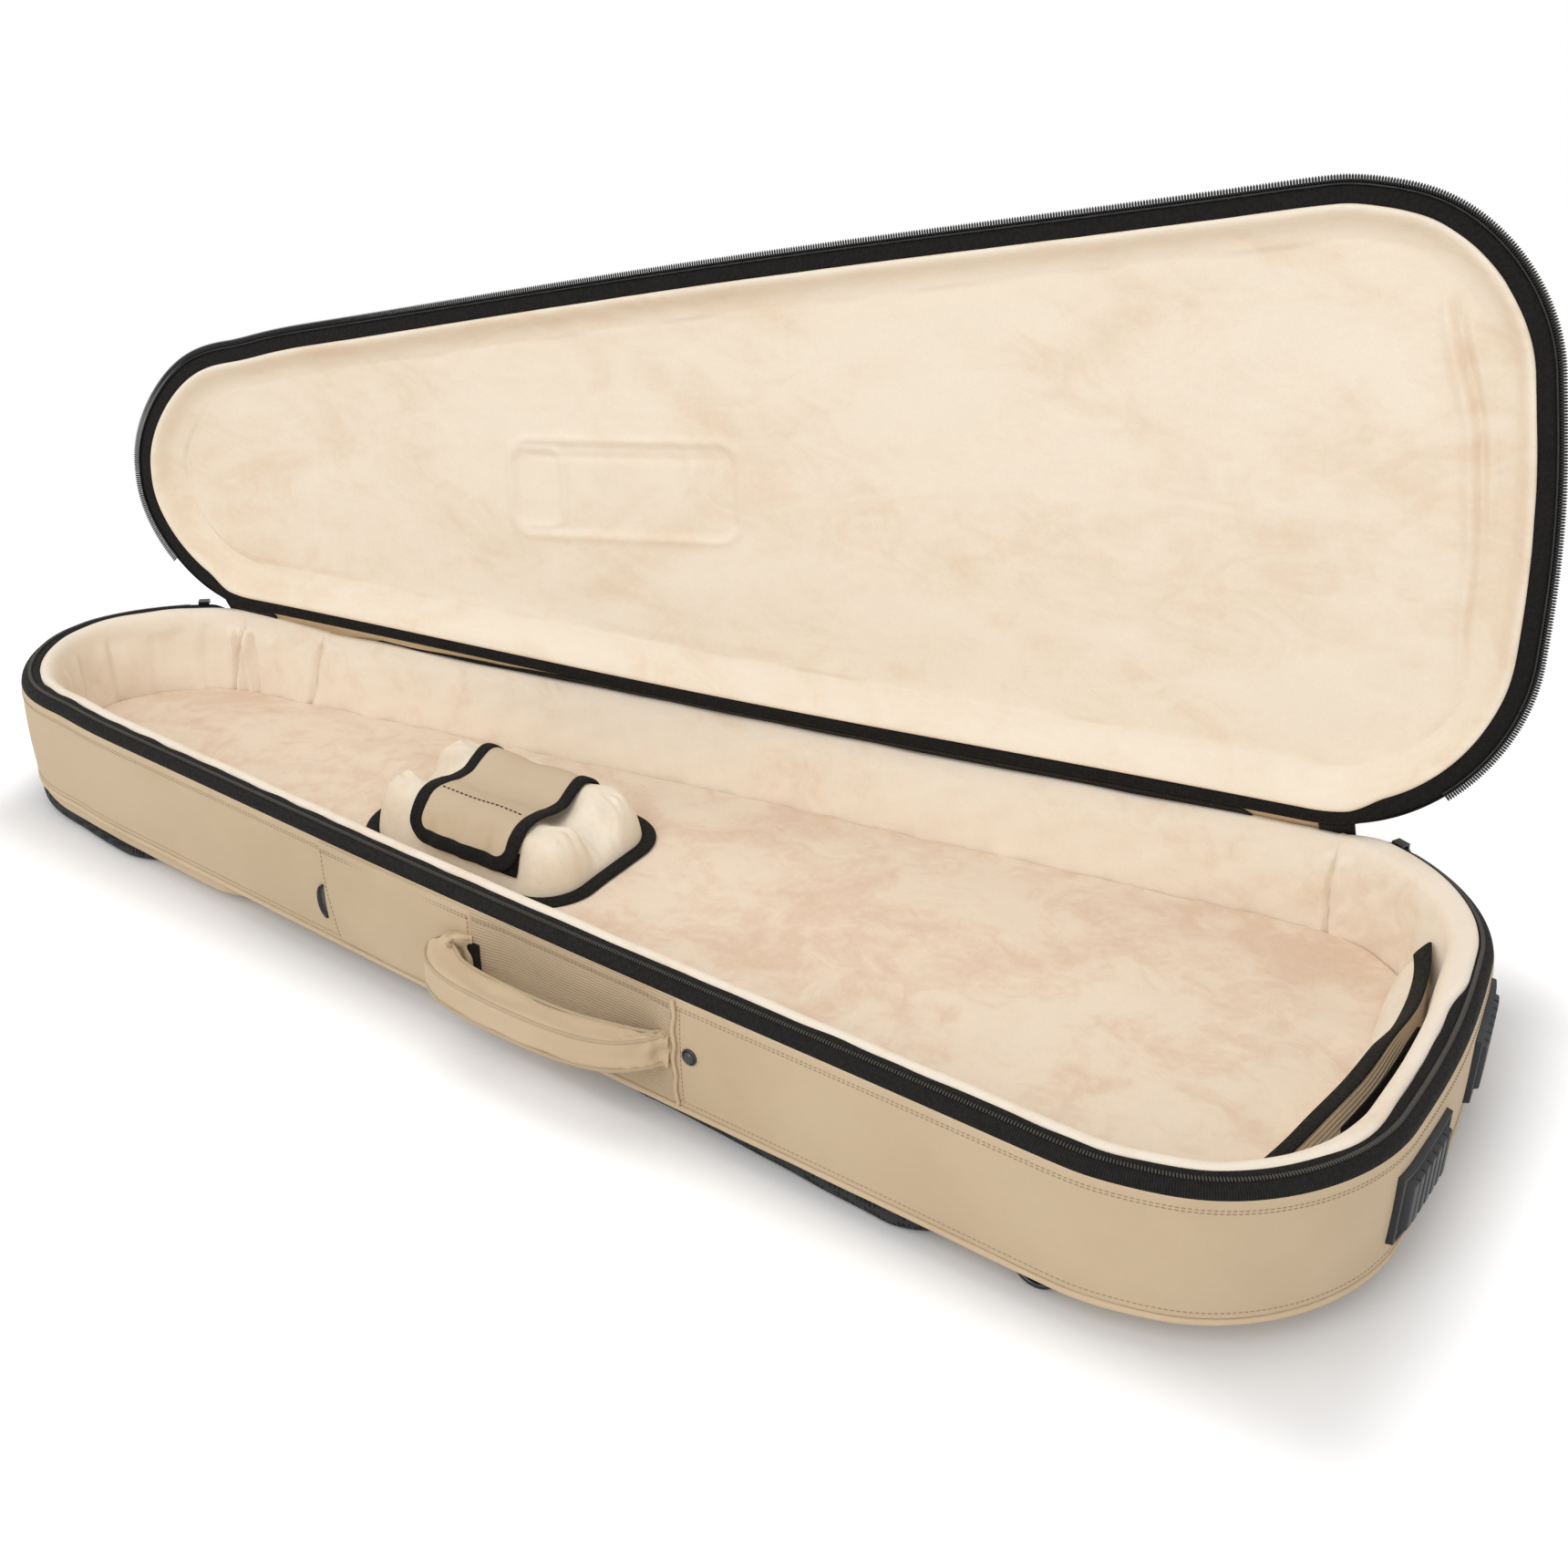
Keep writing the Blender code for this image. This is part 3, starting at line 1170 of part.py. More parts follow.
def build_lid():
    location, along = lid_axis()
    turn = Matrix.Rotation(-math.radians(LID_OPEN_DEG), 4, along).to_quaternion()
    pivot = add_pivot("lid_pivot", location, turn)
    top = LID_DEPTH
    edge = 0.0022
    roll = 0.006
    lid_band("lid_side_wall", [(0.0, 0.0), (0.0, top - roll), (SKIN, top - roll), (SKIN, 0.0)], KHAKI, pivot)
    lid_band("lid_piping", profile_piping(edge, top - roll + CLEARANCE + PIPING_R, PIPING_R), KHAKI, pivot)
    panel_edge = edge + PIPING_R + CLEARANCE
    rim = RIM_Z + LID_RIM
    skin = 0.0020
    levels = []
    for inset, z in ((panel_edge, top - roll + 0.0010), (panel_edge, top - roll + 0.0030), (0.012, top - 0.001)):
        levels.append(ring(place_lid, inset, rim + z))
    for share in CROWN_RINGS:
        section = ring(place_lid, 0.012, rim + top, share)
        for point in section:
            point.z = rim + top - 0.001 + LID_CROWN * (1 - (1 - share) ** 2)
        levels.append(section)
    under = []
    for share in reversed(CROWN_RINGS):
        section = ring(place_lid, 0.012, rim + top, share)
        for point in section:
            point.z = rim + top - 0.001 - skin + LID_CROWN * (1 - (1 - share) ** 2)
        under.append(section)
    under.append(ring(place_lid, 0.012, rim + top - 0.001 - skin))
    add_object("lid_top_panel", *loft(levels[::-1] + under[::-1]), KHAKI, pivot)

    foam_in = SKIN + CLEARANCE
    lid_band("lid_wall_foam", [(foam_in, 0.0004), (foam_in, top - roll - 0.0010), (0.0200, top - 0.0100),
                               (0.0200, -0.0010), (0.0168, -0.0030), (0.0034, -0.0030)], FOAM, pivot)
    board_low = top - 0.0145
    plate("lid_foam_board", [ring(place_lid, 0.0310, rim + board_low), ring(place_lid, 0.0203, rim + board_low + 0.004),
                             ring(place_lid, 0.0203, rim + top - 0.0092), ring(place_lid, 0.0310, rim + top - 0.0036)],
          FOAM, pivot)
    face = board_low - CLEARANCE
    back = LINING
    visible = [(0.0150, -0.0066), (0.0185, -0.0072), (0.0215, -0.0050), (0.0240, 0.0010), (0.0280, 0.0070),
               (0.0360, face - back)]
    hidden = [(0.0320, face), (0.0250, 0.0115), (0.0206, 0.0090), (0.0206, -0.0012), (0.0180, -0.0038),
              (0.0150, -0.0036)]
    rings = [ring(place_lid, i, rim + z) for i, z in reversed(visible)]
    rings = [ring(place_lid, 0.0360, rim + face - back, 0.80)] + rings
    rings += [ring(place_lid, i, rim + z) for i, z in reversed(hidden)]
    rings.append(ring(place_lid, 0.0320, rim + face, 0.80))
    add_object("lid_lining", *loft(rings), PLUSH, pivot)
    lid_band("lid_rim_facing", facing_profile(-1.0), BLACK_TAPE, pivot)
    lid_band("lid_zipper_tape", tape_profile(-1.0), BLACK_TAPE, pivot, zipper_stations(TAPE_START_TURN))
    lid_band("lid_zipper_coil", profile_piping(COIL_INSET, -COIL_HEIGHT, COIL_R), BLACK_PLASTIC, pivot,
             zipper_stations(LID_COIL_START_TURN))


def main():
    for stale in list(bpy.data.objects):
        bpy.data.objects.remove(stale, do_unlink=True)
    build_tray_walls()
    build_base_zipper()
    build_floor()
    build_cradle()
    build_flap()
    build_pocket()
    build_near_side()
    build_handle()
    build_bumpers()
    build_underside()
    build_sliders()
    build_hinge_strip()
    build_lid()


main()
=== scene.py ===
import json
import math
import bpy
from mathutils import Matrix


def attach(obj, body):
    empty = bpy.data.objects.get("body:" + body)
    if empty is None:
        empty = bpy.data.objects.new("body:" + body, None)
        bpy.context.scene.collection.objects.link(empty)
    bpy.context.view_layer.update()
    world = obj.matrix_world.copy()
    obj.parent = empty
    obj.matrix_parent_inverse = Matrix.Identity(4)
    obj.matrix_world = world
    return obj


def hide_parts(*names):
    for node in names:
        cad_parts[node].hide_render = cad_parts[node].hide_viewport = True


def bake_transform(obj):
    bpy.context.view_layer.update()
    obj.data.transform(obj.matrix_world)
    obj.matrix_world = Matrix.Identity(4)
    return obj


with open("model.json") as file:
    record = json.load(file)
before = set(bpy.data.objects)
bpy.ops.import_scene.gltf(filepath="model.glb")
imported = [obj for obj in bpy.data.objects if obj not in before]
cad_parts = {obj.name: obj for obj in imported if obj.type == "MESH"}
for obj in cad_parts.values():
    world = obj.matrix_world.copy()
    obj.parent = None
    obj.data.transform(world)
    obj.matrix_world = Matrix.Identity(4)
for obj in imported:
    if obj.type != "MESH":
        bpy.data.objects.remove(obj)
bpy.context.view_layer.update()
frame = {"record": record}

from types import SimpleNamespace

import bmesh
import bpy
import numpy as np
from mathutils import Matrix, Vector

UP = np.array([0, 0, 1.0])

# Outline of the bag, seen from above, as the frame has it
LENGTH = 1.100
HEAD_HALF_WIDTH = 0.118
TAIL_HALF_WIDTH = 0.210
HEAD_R = HEAD_HALF_WIDTH - 0.005
TAIL_R = 0.1215
HEAD_BOW = 0.012
TAIL_BOW = 0.013
SIDE_BOW = 0.004
ORIGIN_X = 0.7725
SPINE_TAIL_X = LENGTH - TAIL_HALF_WIDTH * 0.8

# Heights and thicknesses
STAND = 0.020
BASE_HEIGHT = 0.080
RIM_Z = 0.100
DRAFT = 0.002
PIPING_R = 0.0022
SKIN = 0.0018
WALL = 0.0285
FLOOR_Z = 0.0324
CUSHION_INSET = 0.033
CUSHION_EDGE_Z = 0.0402
CUSHION_CROWN = 0.008
HINGE_DROP = 0.007
LID_RIM = 0.0172
LID_DEPTH = 0.030
LID_CROWN = 0.007
LID_SEAM = 0.006
COIL_INSET = 0.0076
COIL_HEIGHT = 0.0069
TOOTH_PITCH = 0.00185
LID_IN = 0.0030
LID_SHIFT = -0.003

JOINTS = {j["name"]: j for j in frame["record"]["behaviour"]["joints"]}
LID_PIVOT = np.array(JOINTS["lid_fold"]["pos_m"], float)
LID_AXIS = np.array(JOINTS["lid_fold"]["axis"], float)
LID_OPEN = -math.radians(JOINTS["lid_fold"]["range_deg"][0])


# Small helpers

def smooth(value):
    value = np.clip(value, 0.0, 1.0)
    return value * value * (3 - 2 * value)


def mix(a, b, share):
    return a + (b - a) * share


def bell(distance, width):
    return np.exp(-(distance / width) ** 2)


def ripple(points, size, seed, parts=12):
    """A smooth irregular wave over space, about 1 high, the same on every run."""
    rng = np.random.default_rng(seed)
    total = np.zeros(points.shape[:-1])
    for _ in range(parts):
        way = rng.normal(size=3)
        way *= 2 * math.pi / size * rng.uniform(0.55, 1.5) / np.linalg.norm(way)
        total += np.sin(points @ way + rng.uniform(0, 2 * math.pi))
    return total / math.sqrt(parts / 2)


def running_total(steps):
    return np.concatenate([[0], np.cumsum(steps)])


def marks_along(points):
    """Distance from the first point to each point."""
    return running_total(np.linalg.norm(np.diff(points, axis=0), axis=1))


def read_line(at, marks, points):
    """The line's points at distances along it."""
    return np.stack([np.interp(at, marks, column) for column in points.T], 1)


def full_turn(count):
    return 2 * math.pi * np.arange(count) / count


def scaled(colour, share):
    return tuple(c * share for c in colour)


def unit(rows):
    return rows / np.linalg.norm(rows, axis=1)[:, None]


def even_loop(spots, count):
    """A closed flat line, resampled at even steps."""
    loop = np.vstack([spots, spots[:1]])
    marks = marks_along(loop)
    return read_line(np.linspace(0, marks[-1], count, endpoint=False), marks, loop)


def curve(points, count):
    """A smooth line through chosen points, with even parameter steps."""
    p = np.asarray(points, float)
    p = np.vstack([2 * p[0] - p[1], p, 2 * p[-1] - p[-2]])
    t = np.linspace(0, len(p) - 3 - 1e-9, count)
    i = t.astype(int)
    f = (t - i)[:, None]
    a, b, c, d = p[i], p[i + 1], p[i + 2], p[i + 3]
    bend, twist = 2 * a - 5 * b + 4 * c - d, 3 * b - a - 3 * c + d
    return 0.5 * (2 * b + (c - a) * f + bend * f ** 2 + twist * f ** 3)


class Rim:
    """The bag's outline as a closed line that can be read at any length along it."""

    def __init__(self):
        head = np.array([HEAD_R, HEAD_R - HEAD_HALF_WIDTH])
        tail = np.array([LENGTH - TAIL_R, TAIL_R - TAIL_HALF_WIDTH])
        run = tail - head
        length = np.linalg.norm(run)
        side = math.atan2(run[1], run[0]) - math.pi / 2 - math.asin((TAIL_R - HEAD_R) / length)
        out = np.array([math.cos(side), math.sin(side)])
        spots, turns = [], []
        for k in range(6):
            spots.append((0.0, head[1] * k / 6))
            turns.append(90.0)
        for angle in np.linspace(-math.pi, side, 160):
            spots.append(tuple(head + HEAD_R * np.array([math.cos(angle), math.sin(angle)])))
            turns.append(min(90.0, math.degrees(side - angle)))
        start, end = head + out * HEAD_R, tail + out * TAIL_R
        for share in np.linspace(0, 1, 260)[1:-1]:
            spots.append(tuple(mix(start, end, share) + out * SIDE_BOW * math.sin(math.pi * share) ** 2))
            turns.append(0.0)
        for angle in np.linspace(side, 0.0, 160):
            spots.append(tuple(tail + TAIL_R * np.array([math.cos(angle), math.sin(angle)])))
            turns.append(math.degrees(angle - side))
        for share in np.linspace(0, 1, 60)[1:]:
            spots.append((LENGTH, tail[1] * (1 - share)))
            turns.append(90.0)
        spots = np.array(spots)
        at_head = spots[:, 0] < HEAD_R
        share = np.minimum(1, np.abs(spots[:, 1]) / HEAD_HALF_WIDTH)
        spots[:, 0] -= np.where(at_head, HEAD_BOW * np.cos(share * math.pi / 2) ** 2, 0)
        at_tail = spots[:, 0] > LENGTH - TAIL_R
        share = np.minimum(1, np.abs(spots[:, 1]) / TAIL_HALF_WIDTH)
        spots[:, 0] += np.where(at_tail, TAIL_BOW * np.cos(share * math.pi / 2) ** 2, 0)
        turns = np.array(turns)
        whole = np.vstack([spots, spots[-2:0:-1] * np.array([1, -1])])
        all_turns = np.concatenate([turns, turns[-2:0:-1]])
        loop = np.vstack([whole, whole[:1]])
        marks = marks_along(loop)
        self.length = marks[-1]
        count = 2880
        self.s = np.arange(count) / count * self.length
        self.x = np.interp(self.s, marks, loop[:, 0])
        self.y = np.interp(self.s, marks, loop[:, 1])
        self.turn = np.interp(self.s, marks, np.append(all_turns, all_turns[0]))
        self.far = (self.s > self.length / 2).astype(float)
        ahead = unit(np.stack([np.roll(line, -4) - np.roll(line, 4) for line in (self.x, self.y)], 1))
        self.nx, self.ny = ahead[:, 1], -ahead[:, 0]
        self.half = count // 2

    def at(self, s):
        s = np.asarray(s, float)
        got = SimpleNamespace(s=s)
        where = np.mod(s, self.length)
        for key in ("x", "y", "nx", "ny", "turn", "far"):
            values = getattr(self, key)
            line = np.append(values, values[0])
            if key == "far":
                line[-1] = 1.0
            setattr(got, key, np.interp(where, np.append(self.s, self.length), line))
        size = np.hypot(got.nx, got.ny)
        got.nx, got.ny = got.nx / size, got.ny / size
        return got

    def near(self, x):
        return np.interp(x, self.x[:self.half], self.s[:self.half])

    def far_side(self, x):
        return self.length - self.near(x)

    def tail(self, y):
        pick = (self.x > LENGTH - 0.06) & (np.abs(self.y) < 0.19)
        return np.interp(y, self.y[pick], self.s[pick])

    def far_turn(self, turn, at_head):
        near_s, near_turn = self.s[:self.half], self.turn[:self.half]
        pick = near_s < 0.5 if at_head else near_s > 0.9
        values, places = near_turn[pick], near_s[pick]
        keep = (values > 0.01) & (values < 89.0)
        values, places = values[keep], places[keep]
        order = np.argsort(values)
        return self.length - np.interp(turn, values[order], places[order])

    def zipper(self, turn):
        """Start and end of what runs from the far head corner round to the far tail corner."""
        return self.far_turn(turn, True) - self.length, self.far_turn(turn, False)


RIM = Rim()


def around(count):
    return np.arange(count) / count * RIM.length


def hinge_share(r):
    return np.where(r.far > 0.5, 1 - smooth((r.turn - 12.0) / 16.0), 0.0)


def drawn_in(r):
    """How far the soft near side is pulled in at its two corners."""
    near = 1 - r.far
    return near * (0.0042 * bell(r.x - 0.098, 0.042) + 0.0020 * bell(r.x - 1.000, 0.030))


def stations(r, inset, z, shift=0.0):
    """Points from insets and heights, one row for each station along the outline."""
    inset, z = np.broadcast_arrays(inset, z)
    if inset.ndim == 1:
        inset, z = inset[None, :], z[None, :]
    inset = inset + drawn_in(r)[:, None]
    x = r.x[:, None] - ORIGIN_X - r.nx[:, None] * inset
    y = r.y[:, None] - r.ny[:, None] * inset + shift
    return np.stack([x, y, np.broadcast_to(z, x.shape)], -1)


def place(r, inset, z):
    """Points of the base tray, with heights up from the ground."""
    return stations(r, inset + DRAFT * np.clip((RIM_Z - z) / BASE_HEIGHT, 0, 1), z)


def place_lid(r, inset, z):
    """Points of the closed lid, with heights up from its rim."""
    return stations(r, inset + LID_IN, z + RIM_Z + LID_RIM, LID_SHIFT)


def on_rim(r, inset, z):
    """One point of the base at each station."""
    return place(r, np.array([inset]), np.array([z]))[:, 0]


def on_lid(r, inset, z):
    """One point of the closed lid at each station."""
    return place_lid(r, np.array([inset]), np.array([z]))[:, 0]


def outward_of(r):
    """Flat outward normal at each station."""
    return np.stack([r.nx, r.ny, 0 * r.nx], 1)


def ground(r):
    """The outline itself at floor level, as the place to read a ripple from."""
    return np.stack([r.x, r.y, 0 * r.x], 1)


def closed(line):
    return np.vstack([line, line[:1]])


def opened(points):
    """Turns points of the closed lid into its open place."""
    turn = np.array(Matrix.Rotation(LID_OPEN, 3, Vector(LID_AXIS)))
    return (points - LID_PIVOT) @ turn.T + LID_PIVOT


def spine(points, share):
    """Moves the points of a ring towards the bag's centre line."""
    target = points.copy()
    target[..., 0] = np.clip(points[..., 0], HEAD_R - ORIGIN_X, SPINE_TAIL_X - ORIGIN_X)
    target[..., 1] = 0.0
    return mix(points, target, share)


def build_mesh(name, verts, faces, uv=None, sharp=40.0, recalc=True):
    mesh = bpy.data.meshes.new(name)
    mesh.from_pydata(np.asarray(verts, float).tolist(), [], faces)
    if uv is not None:
        layer = mesh.uv_layers.new(name="Cloth")
        layer.uv.foreach_set("vector", np.asarray(uv, np.float32).ravel())
    if recalc:
        work = bmesh.new()
        work.from_mesh(mesh)
        bmesh.ops.recalc_face_normals(work, faces=work.faces)
        work.to_mesh(mesh)
        work.free()
    mesh.shade_smooth()
    if sharp:
        mesh.set_sharp_from_angle(angle=math.radians(sharp))
    return link(name, mesh)


def link(name, data):
    piece = bpy.data.objects.new(name, data)
    bpy.context.scene.collection.objects.link(piece)
    return piece


def quads(R, C, R2, C2, k):
    return np.stack([R * k + C, R * k + C2, R2 * k + C2, R2 * k + C], -1).reshape(-1, 4)


def loft(name, grid, ring=False, tube=True, u=None, caps=True, sharp=40.0):
    """Quads over a grid of points. ring joins the last row to the first, tube the last column."""
    n, k = grid.shape[:2]
    rows = np.arange(n if ring else n - 1)
    cols = np.arange(k if tube else k - 1)
    R, C = np.meshgrid(rows, cols, indexing="ij")
    if u is None:
        steps = np.linalg.norm(np.diff(grid, axis=0), axis=2).mean(1)
        u = running_total(steps)
    u = np.append(u, 2 * u[-1] - u[-2])
    wide = np.linalg.norm(np.diff(grid, axis=1, append=grid[:, :1]), axis=2).mean(0)
    v = running_total(wide)
    corners = [(R, C), (R, C + 1), (R + 1, C + 1), (R + 1, C)]
    uv = np.stack([np.stack([u[a], v[b]], -1) for a, b in corners], 2).reshape(-1, 2)
    faces = quads(R, C, (R + 1) % n, (C + 1) % k, k).tolist()
    if caps and tube and not ring:
        faces.append(list(range(k)))
        faces.append([(n - 1) * k + i for i in range(k)])
        edge = np.stack([np.zeros(k), v[:k]], 1)
        uv = np.vstack([uv, edge, edge])
    return build_mesh(name, grid.reshape(-1, 3), faces, uv, sharp)


def slab(name, top, under, sharp=50.0):
    """A thin closed piece between two grids of the same size, such as a sheet of cloth."""
    n, k = top.shape[:2]
    verts = np.vstack([top.reshape(-1, 3), under.reshape(-1, 3)])
    base = n * k
    R, C = np.meshgrid(np.arange(n - 1), np.arange(k - 1), indexing="ij")
    a = quads(R, C, R + 1, C + 1, k)
    b = a[:, ::-1] + base
    loop = [i for i in range(k)] + [r * k + k - 1 for r in range(1, n)]
    loop += [(n - 1) * k + i for i in range(k - 2, -1, -1)] + [r * k for r in range(n - 2, 0, -1)]
    side = [[loop[i - 1], loop[i], loop[i] + base, loop[i - 1] + base] for i in range(len(loop))]
    u, v = (running_total(np.linalg.norm(np.diff(top, axis=i), axis=2).mean(1 - i)) for i in (0, 1))
    flat = np.stack(np.meshgrid(u, v, indexing="ij"), -1).reshape(-1, 2)
    flat = np.vstack([flat, flat])
    faces = a.tolist() + b.tolist() + side
    uv = flat[np.array(faces)].reshape(-1, 2)
    return build_mesh(name, verts, faces, uv, sharp)


def pillow(name, rings, cap_first=True, cap_last=True, sharp=50.0):
    """A closed piece from rings that follow the outline, with ends bridged across the spine."""
    grid = np.stack(rings)
    n, k = grid.shape[:2]
    R, C = np.meshgrid(np.arange(n - 1), np.arange(k), indexing="ij")
    faces = quads(R, C, R + 1, (C + 1) % k, k).tolist()
    for wanted, base in ((cap_first, 0), (cap_last, (n - 1) * k)):
        if not wanted:
            continue
        half = k // 2
        faces.append([base, base + 1, base + k - 1])
        for i in range(1, half - 1):
            faces.append([base + i, base + i + 1, base + k - i - 1, base + k - i])
        faces.append([base + half - 1, base + half, base + half + 1])
    flat = grid.reshape(-1, 3)
    uv = np.array([flat[i, :2] for face in faces for i in face])
    return build_mesh(name, flat, faces, uv, sharp)


def tube(name, path, radius, sides=10, ring=False, caps=True, flat=1.0):
    """A round tube along points; radius may be one number or one for each point."""
    path = np.asarray(path, float)
    radius = np.broadcast_to(radius, (len(path),))
    ahead = unit(np.roll(path, -1, 0) - np.roll(path, 1, 0) if ring else np.gradient(path, axis=0))
    up = np.where(np.abs(ahead[:, 2:]) < 0.95, np.array([0, 0, 1.0]), np.array([0, 1.0, 0]))
    across = unit(np.cross(ahead, up))
    up = np.cross(across, ahead)
    turn = full_turn(sides)
    grid = path[:, None] + radius[:, None, None] * (
        np.cos(turn)[None, :, None] * across[:, None] + flat * np.sin(turn)[None, :, None] * up[:, None])
    return loft(name, grid, ring=ring, caps=caps, sharp=60.0)


def seeds(name, centre, along, normal, length, width, height):
    """Many small spindle shapes in one mesh, such as a row of stitches."""
    along = unit(along)
    normal = unit(normal - (normal * along).sum(1)[:, None] * along)
    across = np.cross(along, normal)
    verts = []
    for at, wide, tall in ((-0.5, 0.25, 0.25), (-0.28, 1, 1), (0.28, 1, 1), (0.5, 0.25, 0.25)):
        middle = centre + along * (at * length)
        for side, rise in ((-0.5, 0.0), (0.0, 1.0), (0.5, 0.0), (0.0, -0.6)):
            verts.append(middle + across * (side * width * wide) + normal * (rise * height * tall))
    verts = np.stack(verts, 1)
    count = len(centre)
    one = [[0, 1, 2, 3], [12, 15, 14, 13]]
    for r in range(3):
        for c in range(4):
            d = (c + 1) % 4
            one.append([r * 4 + c, r * 4 + 4 + c, r * 4 + 4 + d, r * 4 + d])
    faces = (np.arange(count)[:, None, None] * 16 + np.array(one)[None]).reshape(-1, 4).tolist()
    return build_mesh(name, verts.reshape(-1, 3), faces, sharp=0, recalc=False)


def stitch_row(path, normal, pitch, start=0.5):
    """Places, directions and normals of stitches along a line of points."""
    marks = marks_along(path)
    at = np.arange(start * pitch, marks[-1] - 0.4 * pitch, pitch)
    ahead = read_line(np.minimum(at + 0.001, marks[-1]), marks, path)
    behind = read_line(np.maximum(at - 0.001, 0), marks, path)
    return read_line(at, marks, path), ahead - behind, read_line(at, marks, normal)


# The khaki thread's stitches: spacing, then length, width and height, then how far each row is from the rim
STITCH_PITCH = 0.0031
STITCH = (0.0023, 0.0006, 0.00028)
STITCH_DROPS = (0.0058, 0.0076)


def stitching(name, rows, length, width, height, material, body):
    centre, along, normal = (np.vstack([row[i] for row in rows]) for i in range(3))
    piece = seeds(name, centre, along, normal, length, width, height)
    return dress(piece, body, material)


def merge(name, pieces):
    """Joins several pieces into one object."""
    work = bmesh.new()
    for piece in pieces:
        work.from_mesh(piece.data)
    mesh = bpy.data.meshes.new(name)
    work.to_mesh(mesh)
    work.free()
    for piece in pieces:
        bpy.data.objects.remove(piece, do_unlink=True)
    return link(name, mesh)


def dress(piece, body, material, replaces=()):
    piece.data.materials.clear()
    piece.data.materials.append(material)
    if body:
        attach(piece, body)
    if replaces:
        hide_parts(*replaces)
    return piece


def on_tray(piece, material, slot, *replaces):
    return dress(piece, "base_tray", material, replaces)


# Materials

class Paint:
    """A short way to write a material's nodes."""

    def __init__(self, name, roughness=0.8, metallic=0.0, specular=0.5, sheen=0.0, sheen_roughness=0.5,
                 sheen_tint=(1.0, 1.0, 1.0)):
        self.material = bpy.data.materials.new(name)
        self.material.use_nodes = True
        self.nodes = self.material.node_tree.nodes
        self.links = self.material.node_tree.links
        self.shader = self.nodes["Principled BSDF"]
        for socket, value in (("Roughness", roughness), ("Metallic", metallic),
                              ("Specular IOR Level", specular), ("Sheen Weight", sheen),
                              ("Sheen Roughness", sheen_roughness), ("Sheen Tint", (*sheen_tint, 1.0))):
            self.shader.inputs[socket].default_value = value

    def node(self, kind, **settings):
        made = self.nodes.new("ShaderNode" + kind)
        for key, value in settings.items():
            setattr(made, key, value)
        return made

    def wire(self, node, *values):
        """Fills the node's first inputs in order and gives its first output."""
        for socket, value in zip(node.inputs, values):
            self.put(socket, value)
        return node.outputs[0]

    def put(self, socket, value):
        if isinstance(value, bpy.types.NodeSocket):
            self.links.new(value, socket)
        elif isinstance(value, tuple) and len(value) == 3 and socket.type == "RGBA":
            socket.default_value = (*value, 1.0)
        else:
            socket.default_value = value

    def coordinates(self, stretch=(1.0, 1.0, 1.0)):
        where = self.node("TexCoord").outputs["Object"]
        if stretch == (1.0, 1.0, 1.0):
            return where
        return self.wire(self.node("VectorMath", operation="MULTIPLY"), where, stretch)

    def cloth(self):
        """Along and across the piece, in metres."""
        split = self.node("SeparateXYZ")
        self.wire(split, self.node("UVMap", uv_map="Cloth").outputs[0])
        return split.outputs[0], split.outputs[1]

    def math(self, kind, a, b=0.0, c=0.0):
        return self.wire(self.node("Math", operation=kind), a, b, c)

    def noise(self, vector, scale, detail=2.0, roughness=0.5, distortion=0.0):
        node = self.node("TexNoise")
        for key, value in (("Vector", vector), ("Scale", scale), ("Detail", detail),
                           ("Roughness", roughness), ("Distortion", distortion)):
            self.put(node.inputs[key], value)
        return node.outputs["Fac"]

    def step(self, value, low, high, to_low=0.0, to_high=1.0):
        return self.wire(self.node("MapRange", interpolation_type="SMOOTHSTEP"),
        value, low, high, to_low, to_high)

    def blend(self, share, a, b):
        node = self.node("Mix", data_type="RGBA")
        self.put(node.inputs[0], share)
        self.put(node.inputs[6], a)
        self.put(node.inputs[7], b)
        return node.outputs[2]

    def colour(self, value):
        self.put(self.shader.inputs["Base Color"], value)

    def rough(self, value):
        self.put(self.shader.inputs["Roughness"], value)

    def bump(self, *layers):
        """Each layer is a height, its strength and its depth in metres."""
        normal = None
        for height, strength, depth in layers:
            node = self.node("Bump")
            node.inputs["Strength"].default_value = strength
            node.inputs["Distance"].default_value = depth
            self.put(node.inputs["Height"], height)
            if normal:
                self.put(node.inputs["Normal"], normal)
            normal = node.outputs[0]
        self.put(self.shader.inputs["Normal"], normal)

    def waves(self, value, pitch, shift=0.0):
        return self.math("SINE", self.math("MULTIPLY_ADD", value, 2 * math.pi / pitch, shift))


